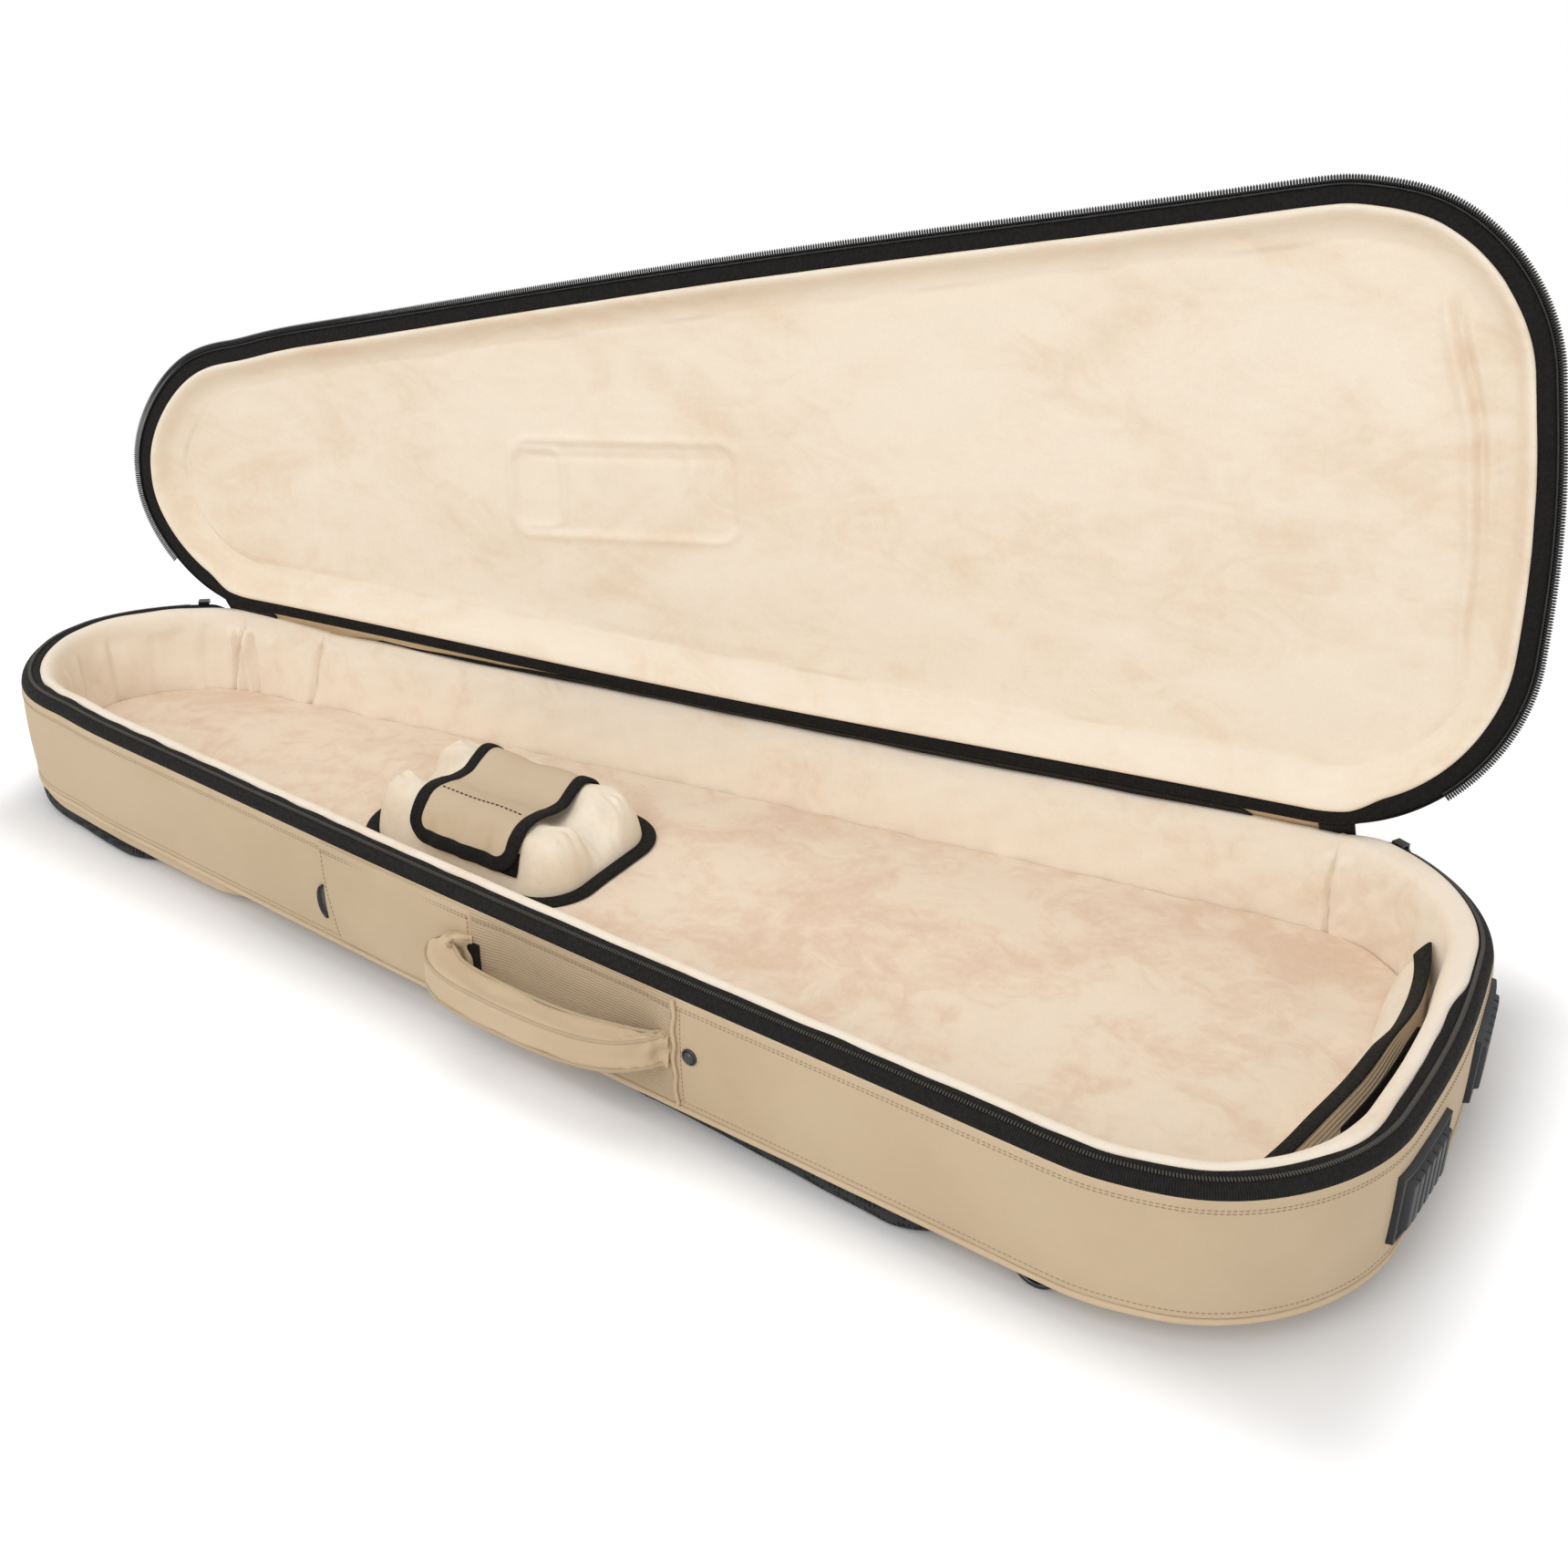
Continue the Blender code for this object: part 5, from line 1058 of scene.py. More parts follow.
def cradle_surface(along, across):
    """Points of the felt block from shares of its half length and half width."""
    x0 = along * CRADLE_L
    y = across * rounded_width(x0, CRADLE_L, CRADLE_W, CRADLE_ROUND)
    depth = rounded_depth(x0, y, CRADLE_L, CRADLE_W, CRADLE_ROUND)
    share = np.clip(depth / 0.017, 0, 1)
    rise = np.maximum(1 - (1 - share) ** 2.2, 0) ** (1 / 1.6)
    crossing = y / CRADLE_W
    lift = saddle(crossing) * rise
    end = smooth((np.abs(along) - 0.55) / 0.3)
    lift = lift - 0.0050 * end * bell(crossing, 0.26) * rise
    crest, trough = (bell(np.abs(crossing) - at + 0.16 * end, 0.055) for at in (0.50, 0.37))
    ridge = crest - 0.8 * trough
    lift = lift + 0.0046 * end * ridge * rise
    at_end = smooth((np.abs(along) - 0.7) / 0.15)
    pleat = np.sin(crossing * 46 + along * 14) * bell(share - 0.75, 0.5) * at_end
    lift = lift + 0.0008 * pleat * rise
    x = CRADLE_X + x0
    y = y + cradle_y(x0)
    spot = np.stack([x, y, lift], -1)
    lift = lift + 0.0007 * ripple(spot, 0.030, 51) * smooth(lift / 0.01)
    z = cushion_top(x, y) + 0.0003 + np.maximum(lift, 0.0008)
    return np.stack([x - ORIGIN_X, y, z], -1)


def build_cradle():
    tip = 0.55 + 0.45 * np.sin(np.linspace(0, math.pi / 2, 44))
    along = np.concatenate([-tip[::-1], np.linspace(-0.53, 0.53, 36), tip])
    side = 0.5 + 0.5 * np.sin(np.linspace(0, math.pi / 2, 34))
    across = np.concatenate([-side[::-1], np.linspace(-0.48, 0.48, 30), side])
    A, B = np.meshgrid(along, across, indexing="ij")
    top = cradle_surface(A, B)
    under = top.copy()
    under[..., 2] = cushion_top(top[..., 0] + ORIGIN_X, top[..., 1]) + 0.0003
    piece = slab("neck_cradle_felt", top, under, sharp=0)
    on_tray(piece, M.felt, "cradle_felt", "neck_cradle")

    def rounded(half_length, half_width, radius, count=200):
        angle = np.linspace(0, 2 * math.pi, count, endpoint=False)
        c, s = np.cos(angle), np.sin(angle)
        x = np.sign(c) * (half_length - radius) + radius * c
        y = np.sign(s) * (half_width - radius) + radius * s
        return even_loop(np.stack([x, y], 1), count)

    middle = rounded(CRADLE_L + 0.0050, CRADLE_W + 0.0050, CRADLE_ROUND + 0.005, 260)
    ahead = unit(np.roll(middle, -1, 0) - np.roll(middle, 1, 0))
    out = np.stack([ahead[:, 1], -ahead[:, 0]], 1)
    section = curve([(-0.0052, 0.0), (-0.0052, 0.0020), (-0.0030, 0.0030), (0.0, 0.0031), (0.0032, 0.0026),
                     (0.0051, 0.0014), (0.0051, 0.0), (0.0, 0.0)], 18)
    grid = np.zeros((len(middle), len(section), 3))
    for k, (o, lift) in enumerate(section):
        x = CRADLE_X + middle[:, 0] + out[:, 0] * o
        y = middle[:, 1] + out[:, 1] * o + cradle_y(x - CRADLE_X)
        grid[:, k] = np.stack([x - ORIGIN_X, y, cushion_top(x, y) + 0.0003 + lift], 1)
    piece = loft("cradle_skirt_binding", grid, ring=True)
    on_tray(piece, M.binding, "black_tape", "cradle_binding")


def flap_section():
    w, h = CRADLE_W, CRADLE_H
    return [(0.835 * w, h - 0.0142), (0.72 * w, h - 0.0040), (0.535 * w, h + 0.0012), (0.33 * w, h - 0.0010),
            (0.12 * w, h - 0.0060), (-0.12 * w, h - 0.0060), (-0.33 * w, h - 0.0012),
            (-0.535 * w, h + 0.0014), (-0.72 * w, h - 0.0018), (-0.88 * w, h - 0.0120),
            (-0.99 * w, h - 0.0240)]


FLAP_HALF = 0.050
FLAP_ROUND = 0.017
FLAP_SKEW = 0.010
FLAP_EDGE = 0.004
FLAP_SEAM = 0.091


def flap_grid(xs, lengths, lift, trimmed=False):
    """Points over the flap's section line; lengths run from the hinge to the hanging end."""
    line = curve(flap_section(), 400)
    marks = marks_along(line)
    ahead = unit(np.gradient(line, axis=0))
    out = np.stack([ahead[:, 1], -ahead[:, 0]], 1)
    X, T = np.meshgrid(xs, lengths, indexing="ij")
    end = marks[-1]
    over = np.clip(T - (end - FLAP_ROUND), 0, FLAP_ROUND - 0.003)
    if trimmed:
        X = X * (FLAP_HALF - FLAP_ROUND + np.sqrt(FLAP_ROUND ** 2 - over ** 2)) / FLAP_HALF
    y = np.interp(T, marks, line[:, 0])
    z = np.interp(T, marks, line[:, 1])
    ny = np.interp(T, marks, out[:, 0])
    nz = np.interp(T, marks, out[:, 1])
    spot = np.stack([X, T, 0 * X], -1)
    hang = smooth((T - 0.098) / 0.014)
    lift = lift + 0.0006 * ripple(spot, 0.05, 61) + 0.0015 * hang * np.sin(X * 190 + 1.1 * np.sin(X * 60))
    lift = lift + 0.0004 * ripple(spot, 0.018, 62) * hang
    y, z = y + ny * lift, z + nz * lift
    x0 = X + FLAP_SKEW * (T / end - 0.4)
    x = CRADLE_X + x0
    y = y + cradle_y(x0)
    return np.stack([x - ORIGIN_X, y, cushion_top(x, y) + 0.0003 + z], -1), end


def build_flap():
    _, end = flap_grid(np.array([0.0]), np.array([0.0]), 0.0)
    half = FLAP_HALF
    xs = np.linspace(-half + FLAP_EDGE, half - FLAP_EDGE, 60)
    lengths = np.linspace(0, end - FLAP_EDGE, 90)
    top, _ = flap_grid(xs, lengths, 0.0018, trimmed=True)
    under, _ = flap_grid(xs, lengths, 0.0002, trimmed=True)
    piece = slab("cradle_flap_cloth", top, under)
    dress(piece, "cradle_strap", M.flap, ("cradle_flap",))

    # The binding follows the left side, the hanging end with its round corners, and the right side
    radius = FLAP_ROUND
    path = [(-half, t) for t in np.linspace(0, end - radius, 60)]
    for a in np.linspace(0, math.pi / 2, 14)[1:]:
        path.append((-half + radius - radius * math.cos(a), end - radius + radius * math.sin(a)))
    path += [(x, end) for x in np.linspace(-half + radius, half - radius, 40)[1:]]
    for a in np.linspace(0, math.pi / 2, 14)[1:]:
        path.append((half - radius + radius * math.sin(a), end - radius + radius * math.cos(a)))
    path += [(half, t) for t in np.linspace(end - radius, 0, 60)[1:]]
    path = np.array(path)
    ahead = unit(np.gradient(path, axis=0))
    inward = np.stack([ahead[:, 1], -ahead[:, 0]], 1)
    section = curve([(-0.0003, 0.0010), (0.0004, 0.0026), (0.0030, 0.0032), (0.0078, 0.0031),
                     (0.0096, 0.0022), (0.0096, 0.0014), (0.0096, 0.0002), (0.0060, -0.0008),
                     (0.0020, -0.0008)], 18)
    grid = np.zeros((len(path), len(section), 3))
    for k, (i, lift) in enumerate(section):
        spot = path + inward * i
        for n, (x, t) in enumerate(spot):
            got, _ = flap_grid(np.array([x]), np.array([t]), lift)
            grid[n, k] = got[0, 0]
    piece = loft("flap_edge_binding", grid)
    dress(piece, "cradle_strap", M.binding, ("flap_binding",))

    line = np.array([flap_grid(np.array([x]), np.array([FLAP_SEAM]), 0.0019)[0][0, 0]
                     for x in np.linspace(-0.039, 0.039, 60)])
    normal = np.tile([0, -0.3, 1.0], (60, 1))
    row = stitch_row(line, normal, 0.0042)
    stitching("flap_stitching", [row], 0.0027, 0.0015, 0.0010, M.dark_thread, "cradle_strap")

    # The hook tape's free corner looks out under the hanging end
    top, under = [], []
    for x in np.linspace(-0.020, 0.050, 24):
        lengths = np.linspace(end - 0.016, end - 0.002 + 0.009 * float(smooth((x - 0.026) / 0.012)), 8)
        top.append(flap_grid(np.array([x]), lengths, -0.0010)[0][0])
        under.append(flap_grid(np.array([x]), lengths, -0.0022)[0][0])
    piece = slab("flap_hook_tape", np.stack(top), np.stack(under))
    dress(piece, "cradle_strap", M.hook, ("flap_hook_patch",))

    along = np.linspace(-0.36, 0.36, 24)
    across = -np.linspace(0.80, 0.93, 8)
    A, B = np.meshgrid(along, across, indexing="ij")
    top = cradle_surface(A, B) + np.array([0, -0.0006, 0.0008])
    under = cradle_surface(A, B) + np.array([0, -0.0001, 0.0002])
    piece = slab("cradle_loop_tape", top, under)
    on_tray(piece, M.hook, "black_tape", "cradle_loop_patch")


# Pocket at the wide end

# Lines of the pocket, read across the bag (y). Foot: place along the bag. Binding's lower and upper edge:
# place along the bag and height. Back: how far the back cloth has gone towards the wall at its foot
POCKET_FOOT = ((-0.140, 1.0340), (-0.100, 1.0430), (-0.050, 1.0510), (0.000, 1.0550), (0.030, 1.0550),
               (0.065, 1.0525), (0.095, 1.0500), (0.130, 1.0465))
POCKET_EDGE = ((-0.140, 1.0385, 0.0800), (-0.107, 1.0474, 0.0800), (-0.077, 1.0530, 0.0800),
               (-0.044, 1.0583, 0.0800), (-0.019, 1.0614, 0.0795), (0.004, 1.0640, 0.0785),
               (0.020, 1.0665, 0.0765), (0.035, 1.0682, 0.0745), (0.055, 1.0683, 0.0735),
               (0.080, 1.0672, 0.0735), (0.105, 1.0640, 0.0735), (0.130, 1.0570, 0.0735))
POCKET_TOP = ((-0.140, 1.0465, 0.0815), (-0.107, 1.0553, 0.0820), (-0.077, 1.0612, 0.0825),
              (-0.044, 1.0665, 0.0830), (-0.019, 1.0697, 0.0835), (0.004, 1.0718, 0.0840),
              (0.020, 1.0737, 0.0842), (0.035, 1.0756, 0.0844), (0.055, 1.0764, 0.0844),
              (0.080, 1.0747, 0.0844), (0.105, 1.0710, 0.0844), (0.130, 1.0650, 0.0844))
POCKET_BACK = ((-0.140, 0.0030), (-0.100, 0.0130), (-0.060, 0.0145), (0.000, 0.0120), (0.030, 0.0070),
               (0.055, 0.0055), (0.090, 0.0030), (0.130, 0.0010))
POCKET_DROP = 0.0225


def across_bag(line, y):
    """Reads one of the pocket's lines at places across the bag."""
    smoothed = curve(line, 240)
    return [np.interp(y, smoothed[:, 0], smoothed[:, i]) for i in range(1, smoothed.shape[1])]


def build_pocket():
    shares = np.linspace(-1, 1, 110)
    y = np.where(shares < 0, 0.134, 0.122) * shares
    (foot_x,) = across_bag(POCKET_FOOT, y)
    edge_x, edge_z = across_bag(POCKET_EDGE, y)
    top_x, top_z = across_bag(POCKET_TOP, y)
    foot_z = cushion_top(foot_x, y) + 0.0006
    ends = smooth((1 - np.abs(shares)) / 0.05)
    wave = 0.0010 * np.sin(shares * 7.5)

    rows = [(rise, True) for rise in np.linspace(0, 1, 16)]
    rows += [(rise, False) for rise in np.linspace(1, 0, 14)]
    grid = np.zeros((len(shares), len(rows), 3))
    for k, (rise, front) in enumerate(rows):
        deep = mix(0.0090, 0.0030, smooth(rise / 0.85))
        x = mix(foot_x, edge_x, rise ** 1.1)
        full = 0.0042 * math.sin(math.pi * rise) ** 0.7
        middle = x + deep / 2
        x = mix(middle, x - full if front else x + deep, ends ** 0.5)
        grid[:, k] = np.stack([x - ORIGIN_X, y, mix(foot_z, edge_z + wave, rise)], 1)
    grid[..., 0] += 0.0006 * ripple(grid, 0.05, 71)
    piece = loft("pocket_padded_front", grid, sharp=0)
    on_tray(piece, M.felt, "cradle_felt", "end_pocket_panel")

    # Binding: a thin strip from its lower to its upper edge, rounded over at the top
    along_x, along_z = top_x - edge_x, top_z - edge_z
    wide = np.hypot(along_x, along_z)
    along_x, along_z = along_x / wide, along_z / wide
    section = ((-0.0012, 0.0008), (0.0010, 0.0013), (0.0050, 0.0014), (0.0078, 0.0012), (0.0088, 0.0006),
               (0.0090, -0.0002), (0.0084, -0.0010), (0.0050, -0.0014), (0.0010, -0.0014), (-0.0012, -0.0012))
    grid = np.zeros((len(shares), len(section), 3))
    for k, (way, out) in enumerate(section):
        way = way * wide / 0.0088
        x = edge_x + along_x * way - along_z * out
        z = edge_z + along_z * way + along_x * out + wave
        grid[:, k] = np.stack([x - ORIGIN_X, y, z], 1)
    piece = loft("pocket_top_binding", grid)
    on_tray(piece, M.binding, "black_tape", "end_pocket_binding")

    def back(y, share, out):
        """The back cloth, from under the binding (0) down towards the wall (1)."""
        x, z = across_bag(POCKET_TOP, y)
        (reach,) = across_bag(POCKET_BACK, y)
        size = np.hypot(reach, POCKET_DROP)
        x = x - 0.0008 + share * reach + out * POCKET_DROP / size
        z = z - 0.0006 - share * POCKET_DROP + out * reach / size
        return np.stack([x - ORIGIN_X, y + 0 * x, z + 0.0010 * np.sin(y / 0.130 * 7.5)], -1)

    rows = y[np.abs(shares) < 0.985]
    Y, T = np.meshgrid(rows, np.linspace(0, 1, 14), indexing="ij")
    piece = slab("pocket_back_cloth", back(Y, T, 0.0006), back(Y, T, -0.0004))
    on_tray(piece, M.khaki_rib, "khaki_fabric", "end_pocket_back_sheet")

    ys = np.linspace(-0.078, 0.050, 80)
    first = 0.42 + 0.06 * np.sin(ys * 30)
    round_off = np.sqrt(np.clip((ys + 0.0785) / 0.006, 0, 1) * np.clip((0.0505 - ys) / 0.006, 0, 1))
    share = mix(0.72, mix(first[:, None], 1.02, np.linspace(0, 1, 8)[None]), round_off[:, None])
    Y = np.broadcast_to(ys[:, None], share.shape)
    piece = slab("pocket_grip_tape", back(Y, share, 0.0020), back(Y, share, 0.0007))
    on_tray(piece, M.hook, "black_tape")

    s = np.linspace(RIM.tail(-0.112), RIM.tail(0.020), 60)
    r = RIM.at(s)
    z = np.linspace(RIM_Z - 0.026, RIM_Z - 0.013, 8)
    inset = 0.0272 + 0.0015 * (RIM_Z - 0.012 - z) / (RIM_Z - 0.012 - FLOOR_Z)
    lift = 0.0022 * np.sin(np.linspace(0, math.pi, 60)) ** 0.3
    top = place(r, inset[None] + lift[:, None], z)
    under = place(r, inset, z)
    piece = slab("pocket_closing_tape", top, under)
    on_tray(piece, M.hook, "black_tape", "pocket_closure_strip")


# Near side: panels, seam piping, rivet and grommet

PANEL_LOW = STAND + 0.0060
PANEL_HIGH = RIM_Z - 0.0012
OVERLAY_X = (0.414, 0.5555)
SEAM_X = 0.7172
RIVET_X = 0.728
GROMMET_X = 0.4145
GROMMET_Z = RIM_Z - 0.047
HANDLE_X = (0.549, 0.711)
HANDLE_Z = RIM_Z - 0.036
HANDLE_BACK = -0.0036
HANDLE_REACH = 0.0275


def build_near_panels():
    low, high = PANEL_LOW, PANEL_HIGH
    z = np.linspace(low, high, 26)
    t = np.linspace(0, 1, 60)
    left = OVERLAY_X[0] + 0.010 * ((high - z) / (high - low)) ** 1.6
    X = left[None] + (OVERLAY_X[1] - left[None]) * t[:, None]
    Z = np.broadcast_to(z, X.shape)
    edge = smooth(np.minimum(t, 1 - t) / 0.02)[:, None] * smooth((z - low) / 0.002)[None]
    swell = 0.0007 * np.sin(math.pi * t)[:, None]
    top = near_point(X, Z, 0.0005 + 0.0012 * edge + swell)
    under = near_point(X, Z, 0.0002)
    piece = slab("overlay_cloth", top, under)
    on_tray(piece, M.khaki, "khaki_fabric", "side_overlay_panel")

    X = np.linspace(BAY[0] + 0.0002, BAY[1] - 0.0010, 70)[:, None] + 0 * z[None]
    Z = np.broadcast_to(z, X.shape)
    top = near_point(X, Z, 0.0010)
    under = near_point(X, Z, 0.0002)
    piece = slab("handle_bay_cloth", top, under)
    on_tray(piece, M.khaki_rib, "khaki_fabric", "handle_backing_panel")

    rows = []
    for drop in STITCH_DROPS:
        for x0, x1, out in ((0.4155, 0.5550, 0.0021), (BAY[0] + 0.001, BAY[1] - 0.002, 0.0012)):
            xs = np.linspace(x0, x1, 90)
            path = near_point(xs, RIM_Z - drop, out)
            rows.append(stitch_row(path, near_normal(xs), STITCH_PITCH))
    zs = np.linspace(low + 0.003, high - 0.004, 60)
    xs = 0.4168 + 0.010 * ((high - zs) / (high - low)) ** 1.6
    rows.append(stitch_row(near_point(xs, zs, 0.0018), near_normal(xs), STITCH_PITCH))
    for x, out in ((0.5535, 0.0018), (0.7212, 0.0001)):
        xs = np.full(60, x)
        rows.append(stitch_row(near_point(xs, zs, out), near_normal(xs), STITCH_PITCH))
    stitching("panel_stitching", rows, *STITCH, M.thread, "base_tray")

    zs = np.linspace(low, high, 60)
    xs = SEAM_X + 0.0006 * np.sin(zs * 300)
    path = near_point(xs, zs, 0.0012)
    piece = tube("handle_seam_cord", path, 0.0013, 10)
    on_tray(piece, M.khaki_light, "khaki_fabric", "handle_seam_piping")

    # Rivet: a domed cap in a dark washer
    seat = near_point(np.array([RIVET_X]), np.array([HANDLE_Z]), np.array([0.0]))[0]
    out = near_normal(np.array([RIVET_X]))[0]
    along = np.array([-out[1], out[0], 0.0])
    profile = curve([(0.0052, -0.0004), (0.0053, 0.0008), (0.0046, 0.0014), (0.0042, 0.0010),
                     (0.0039, 0.0018), (0.0028, 0.0028), (0.0012, 0.0033), (0.0002, 0.0034)], 26)
    turn = full_turn(32)
    grid = np.zeros((len(profile), 32, 3))
    for k, (radius, lift) in enumerate(profile):
        grid[k] = seat + out * lift + radius * (np.cos(turn)[:, None] * along + np.sin(turn)[:, None] * UP)
    piece = loft("rivet_cap", grid, sharp=60)
    on_tray(piece, M.metal, "black_metal", "handle_rivet")

    # Half of an oval grommet looks out from under the overlay
    angle = np.linspace(math.radians(88), math.radians(272), 40)
    grid = np.zeros((40, 10, 3))
    section = curve([(1.0, 0.0), (1.02, 0.0012), (0.92, 0.0021), (0.80, 0.0016), (0.74, 0.0004),
                     (0.70, 0.0001)], 10)
    for k, (scale, lift) in enumerate(section):
        xs = GROMMET_X + 0.0066 * scale * np.cos(angle)
        zs = GROMMET_Z + (0.0130 - 0.0066 * (1 - scale)) * np.sin(angle)
        grid[:, k] = near_point(xs, zs, lift)
    piece = loft("grommet_rim", grid, sharp=60)
    on_tray(piece, M.plastic, "black_plastic", "side_grommet")
    # A black sheet fills the grommet's opening, as painted shade inside the hole.
    t = np.linspace(0.0, 1.0, 8)
    inner = angle[:, None]
    xs = GROMMET_X + 0.0060 * t[None] * np.cos(inner)
    zs = GROMMET_Z + 0.0120 * t[None] * np.sin(inner)
    top = near_point(xs, zs, 0.0003)
    piece = slab("grommet_hole_shade", top, near_point(xs, zs, 0.0001))
    on_tray(piece, M.plastic, "black_plastic")


def handle_line():
    """The carry handle's middle line, from the head-side anchor to the other."""
    start, end = (on_rim(RIM.at([RIM.near(x)]), HANDLE_BACK, HANDLE_Z)[0] for x in HANDLE_X)
    span = np.linalg.norm(end - start)
    along = (end - start) / span
    out = np.array([along[1], -along[0], 0.0])
    reach = HANDLE_REACH + HANDLE_BACK
    chosen = [(0.045, -0.08, -1.5), (0.015, 0.04, -1.6), (-0.025, 0.22, -1.5), (-0.040, 0.54, -0.8),
              (0.02, 0.84, 0.0), (0.12, 0.97, 0.7), (0.35, 1.0, 1.0), (0.62, 0.93, 0.9), (0.82, 0.70, 0.5),
              (0.94, 0.32, 0.2), (0.99, 0.02, 0.0), (1.015, -0.06, 0.0)]
    points = [start + along * (u * span) + out * (v * reach) - np.array([0, 0, w * 0.004])
              for u, v, w in chosen]
    return curve(points, 190), out, reach, start


def handle_sections(sides=64):
    path, out, reach, start = handle_line()
    ahead = unit(np.gradient(path, axis=0))
    across = unit(np.cross(ahead, UP))
    away = (path - start) @ out
    full = smooth(away / (reach * 0.85))
    depth = mix(0.0028, 0.0104, full)
    height = mix(0.0100, 0.0102, full)
    turn = 2 * math.pi * (np.arange(sides) + 0.5) / sides
    c, s = np.cos(turn), np.sin(turn)
    fuller = 1.0 / (np.abs(c) ** 7 + np.abs(s) ** 7) ** (1 / 7)
    crown = 1 - 0.02 * np.cos(turn * 4)
    grid = path[:, None] + across[:, None] * (depth[:, None] * c * fuller * crown)[..., None]
    grid = grid + UP * (height[:, None] * s * fuller * crown)[..., None]
    uneven = 0.0004 * ripple(grid, 0.03, 81) + 0.0009 * (1 - full)[:, None] * ripple(grid, 0.010, 82)
    grid = grid + (across[:, None] * c[None, :, None] + UP * s[None, :, None]) * uneven[..., None]
    return grid, path, across, depth, height


def build_handle():
    grid, path, across, depth, height = handle_sections()
    piece = loft("handle_grip_cloth", grid, sharp=0)
    dress(piece, "carry_handle", M.khaki_light, ("handle_cover", "handle_core"))
    # A black tape sheet behind the handle's head-side end: painted shade for the gap between the handle and
    # the wall, and black webbing under the handle's end.
    X, Z = np.meshgrid(np.linspace(0.5475, 0.5620, 8), RIM_Z - np.linspace(0.024, 0.049, 12), indexing="ij")
    piece = slab("handle_gap_shade_and_webbing", near_point(X, Z, 0.0034), near_point(X, Z, 0.0010))
    on_tray(piece, M.tape, "black_tape")
    ends = smooth(np.minimum(np.arange(len(path)), np.arange(len(path))[::-1]) / 6)
    pieces = []
    for side, rise, radius in ((0.945, -0.945, 0.0013), (0.955, 0.955, 0.0011)):
        for way in (1.0, -1.0):
            line = path + way * across * (depth * side)[:, None] + UP * (height * rise)[:, None]
            pieces.append(tube("handle_welt", line[6:-6], radius * mix(0.5, 1.0, ends[6:-6]), 8))
    piece = merge("handle_welts", pieces)
    # The welts get the darker khaki, which paints the shade along the handle's piped edges.
    dress(piece, "carry_handle", M.welt, ())


# Bumpers on the wide end: a plate with a raised rim, ribs inside it, and a plain block at one end

BUMPER_TOP = RIM_Z - 0.018
BUMPER_HEIGHT = 0.043
BUMPER_HALF = 0.036
BUMPER_Y = 0.071
BUMPER_RIM = 0.0055
BUMPER_END = 0.008


def build_bumpers():
    top = BUMPER_TOP
    low = top - BUMPER_HEIGHT
    half = BUMPER_HALF
    for name, middle in (("near", -BUMPER_Y), ("far", BUMPER_Y)):
        at = np.linspace(0, 2 * half, 150)
        z = np.linspace(low, top, 60)
        s = mix(RIM.tail(middle - half), RIM.tail(middle + half), at / (2 * half))
        r = RIM.at(s)
        A, Z = np.meshgrid(at, z, indexing="ij")
        border = np.minimum(np.minimum(A, 2 * half - A), np.minimum(Z - low, top - Z))
        plate = 0.0018 * smooth(border / 0.0006)
        rim = 0.0016 * smooth(border / 0.0006) * smooth((0.0028 - border) / 0.0008)
        inner = np.minimum(np.minimum(A - BUMPER_RIM, 2 * half - BUMPER_RIM - A),
                           np.minimum(Z - low - BUMPER_RIM, top - BUMPER_RIM - Z))
        block = smooth(inner / 0.0022)
        pitch = (2 * half - 0.011 - BUMPER_END) / 6
        shift = BUMPER_END if name == "near" else 0.0
        phase = ((A - BUMPER_RIM - shift) % pitch) / pitch
        rib = smooth((0.5 - np.abs(phase - 0.5)) / 0.20)
        solid = (A - BUMPER_RIM < BUMPER_END) if name == "near" else (A > 2 * half - BUMPER_RIM - BUMPER_END)
        rib = np.where(solid, 1.0, rib)
        reach = plate + rim + block * mix(0.0004, 0.0044, rib)
        front = place(r, -0.0003 - reach - 0.0010, Z)
        back = place(r, -0.0003, Z)
        piece = slab("bumper_ribbed_" + name, front, back, sharp=35)
        on_tray(piece, M.rubber, "black_rubber", "bumper_" + name)


# Underside: pads, strap cover, webbing, adjusters and rings

def pad_outline(x0, x1, inset, corner, steps=16):
    def half(x):
        r = RIM.at([RIM.near(x)])
        return -on_rim(r, inset, STAND)[0, 1]
    spots = []
    a0, a1 = half(x0), half(x1)
    for (x, y), start in (((x0, -a0), 180), ((x1, -a1), 270), ((x1, a1), 0), ((x0, a0), 90)):
        cx = x + (corner if x == x0 else -corner)
        cy = y + (corner if y < 0 else -corner)
        for step in range(steps + 1):
            angle = math.radians(start + 90 * step / steps)
            spots.append((cx + corner * math.cos(angle), cy + corner * math.sin(angle)))
    return even_loop(np.array(spots), 240)


def head_outline(x0, x1, inset, corner, steps=16):
    s = np.linspace(0, RIM.near(x1 - corner), 90)
    r = RIM.at(s)
    edge = on_rim(r, inset, STAND)
    near = [(max(x + ORIGIN_X, x0), y) for x, y, _ in edge]
    half = -near[-1][1]
    for step in range(1, steps + 1):
        angle = math.radians(270 + 90 * step / steps)
        near.append((x1 - corner + corner * math.cos(angle), corner - half + corner * math.sin(angle)))
    near = np.array(near)
    return even_loop(np.vstack([near, near[:0:-1] * np.array([1, -1])]), 240)


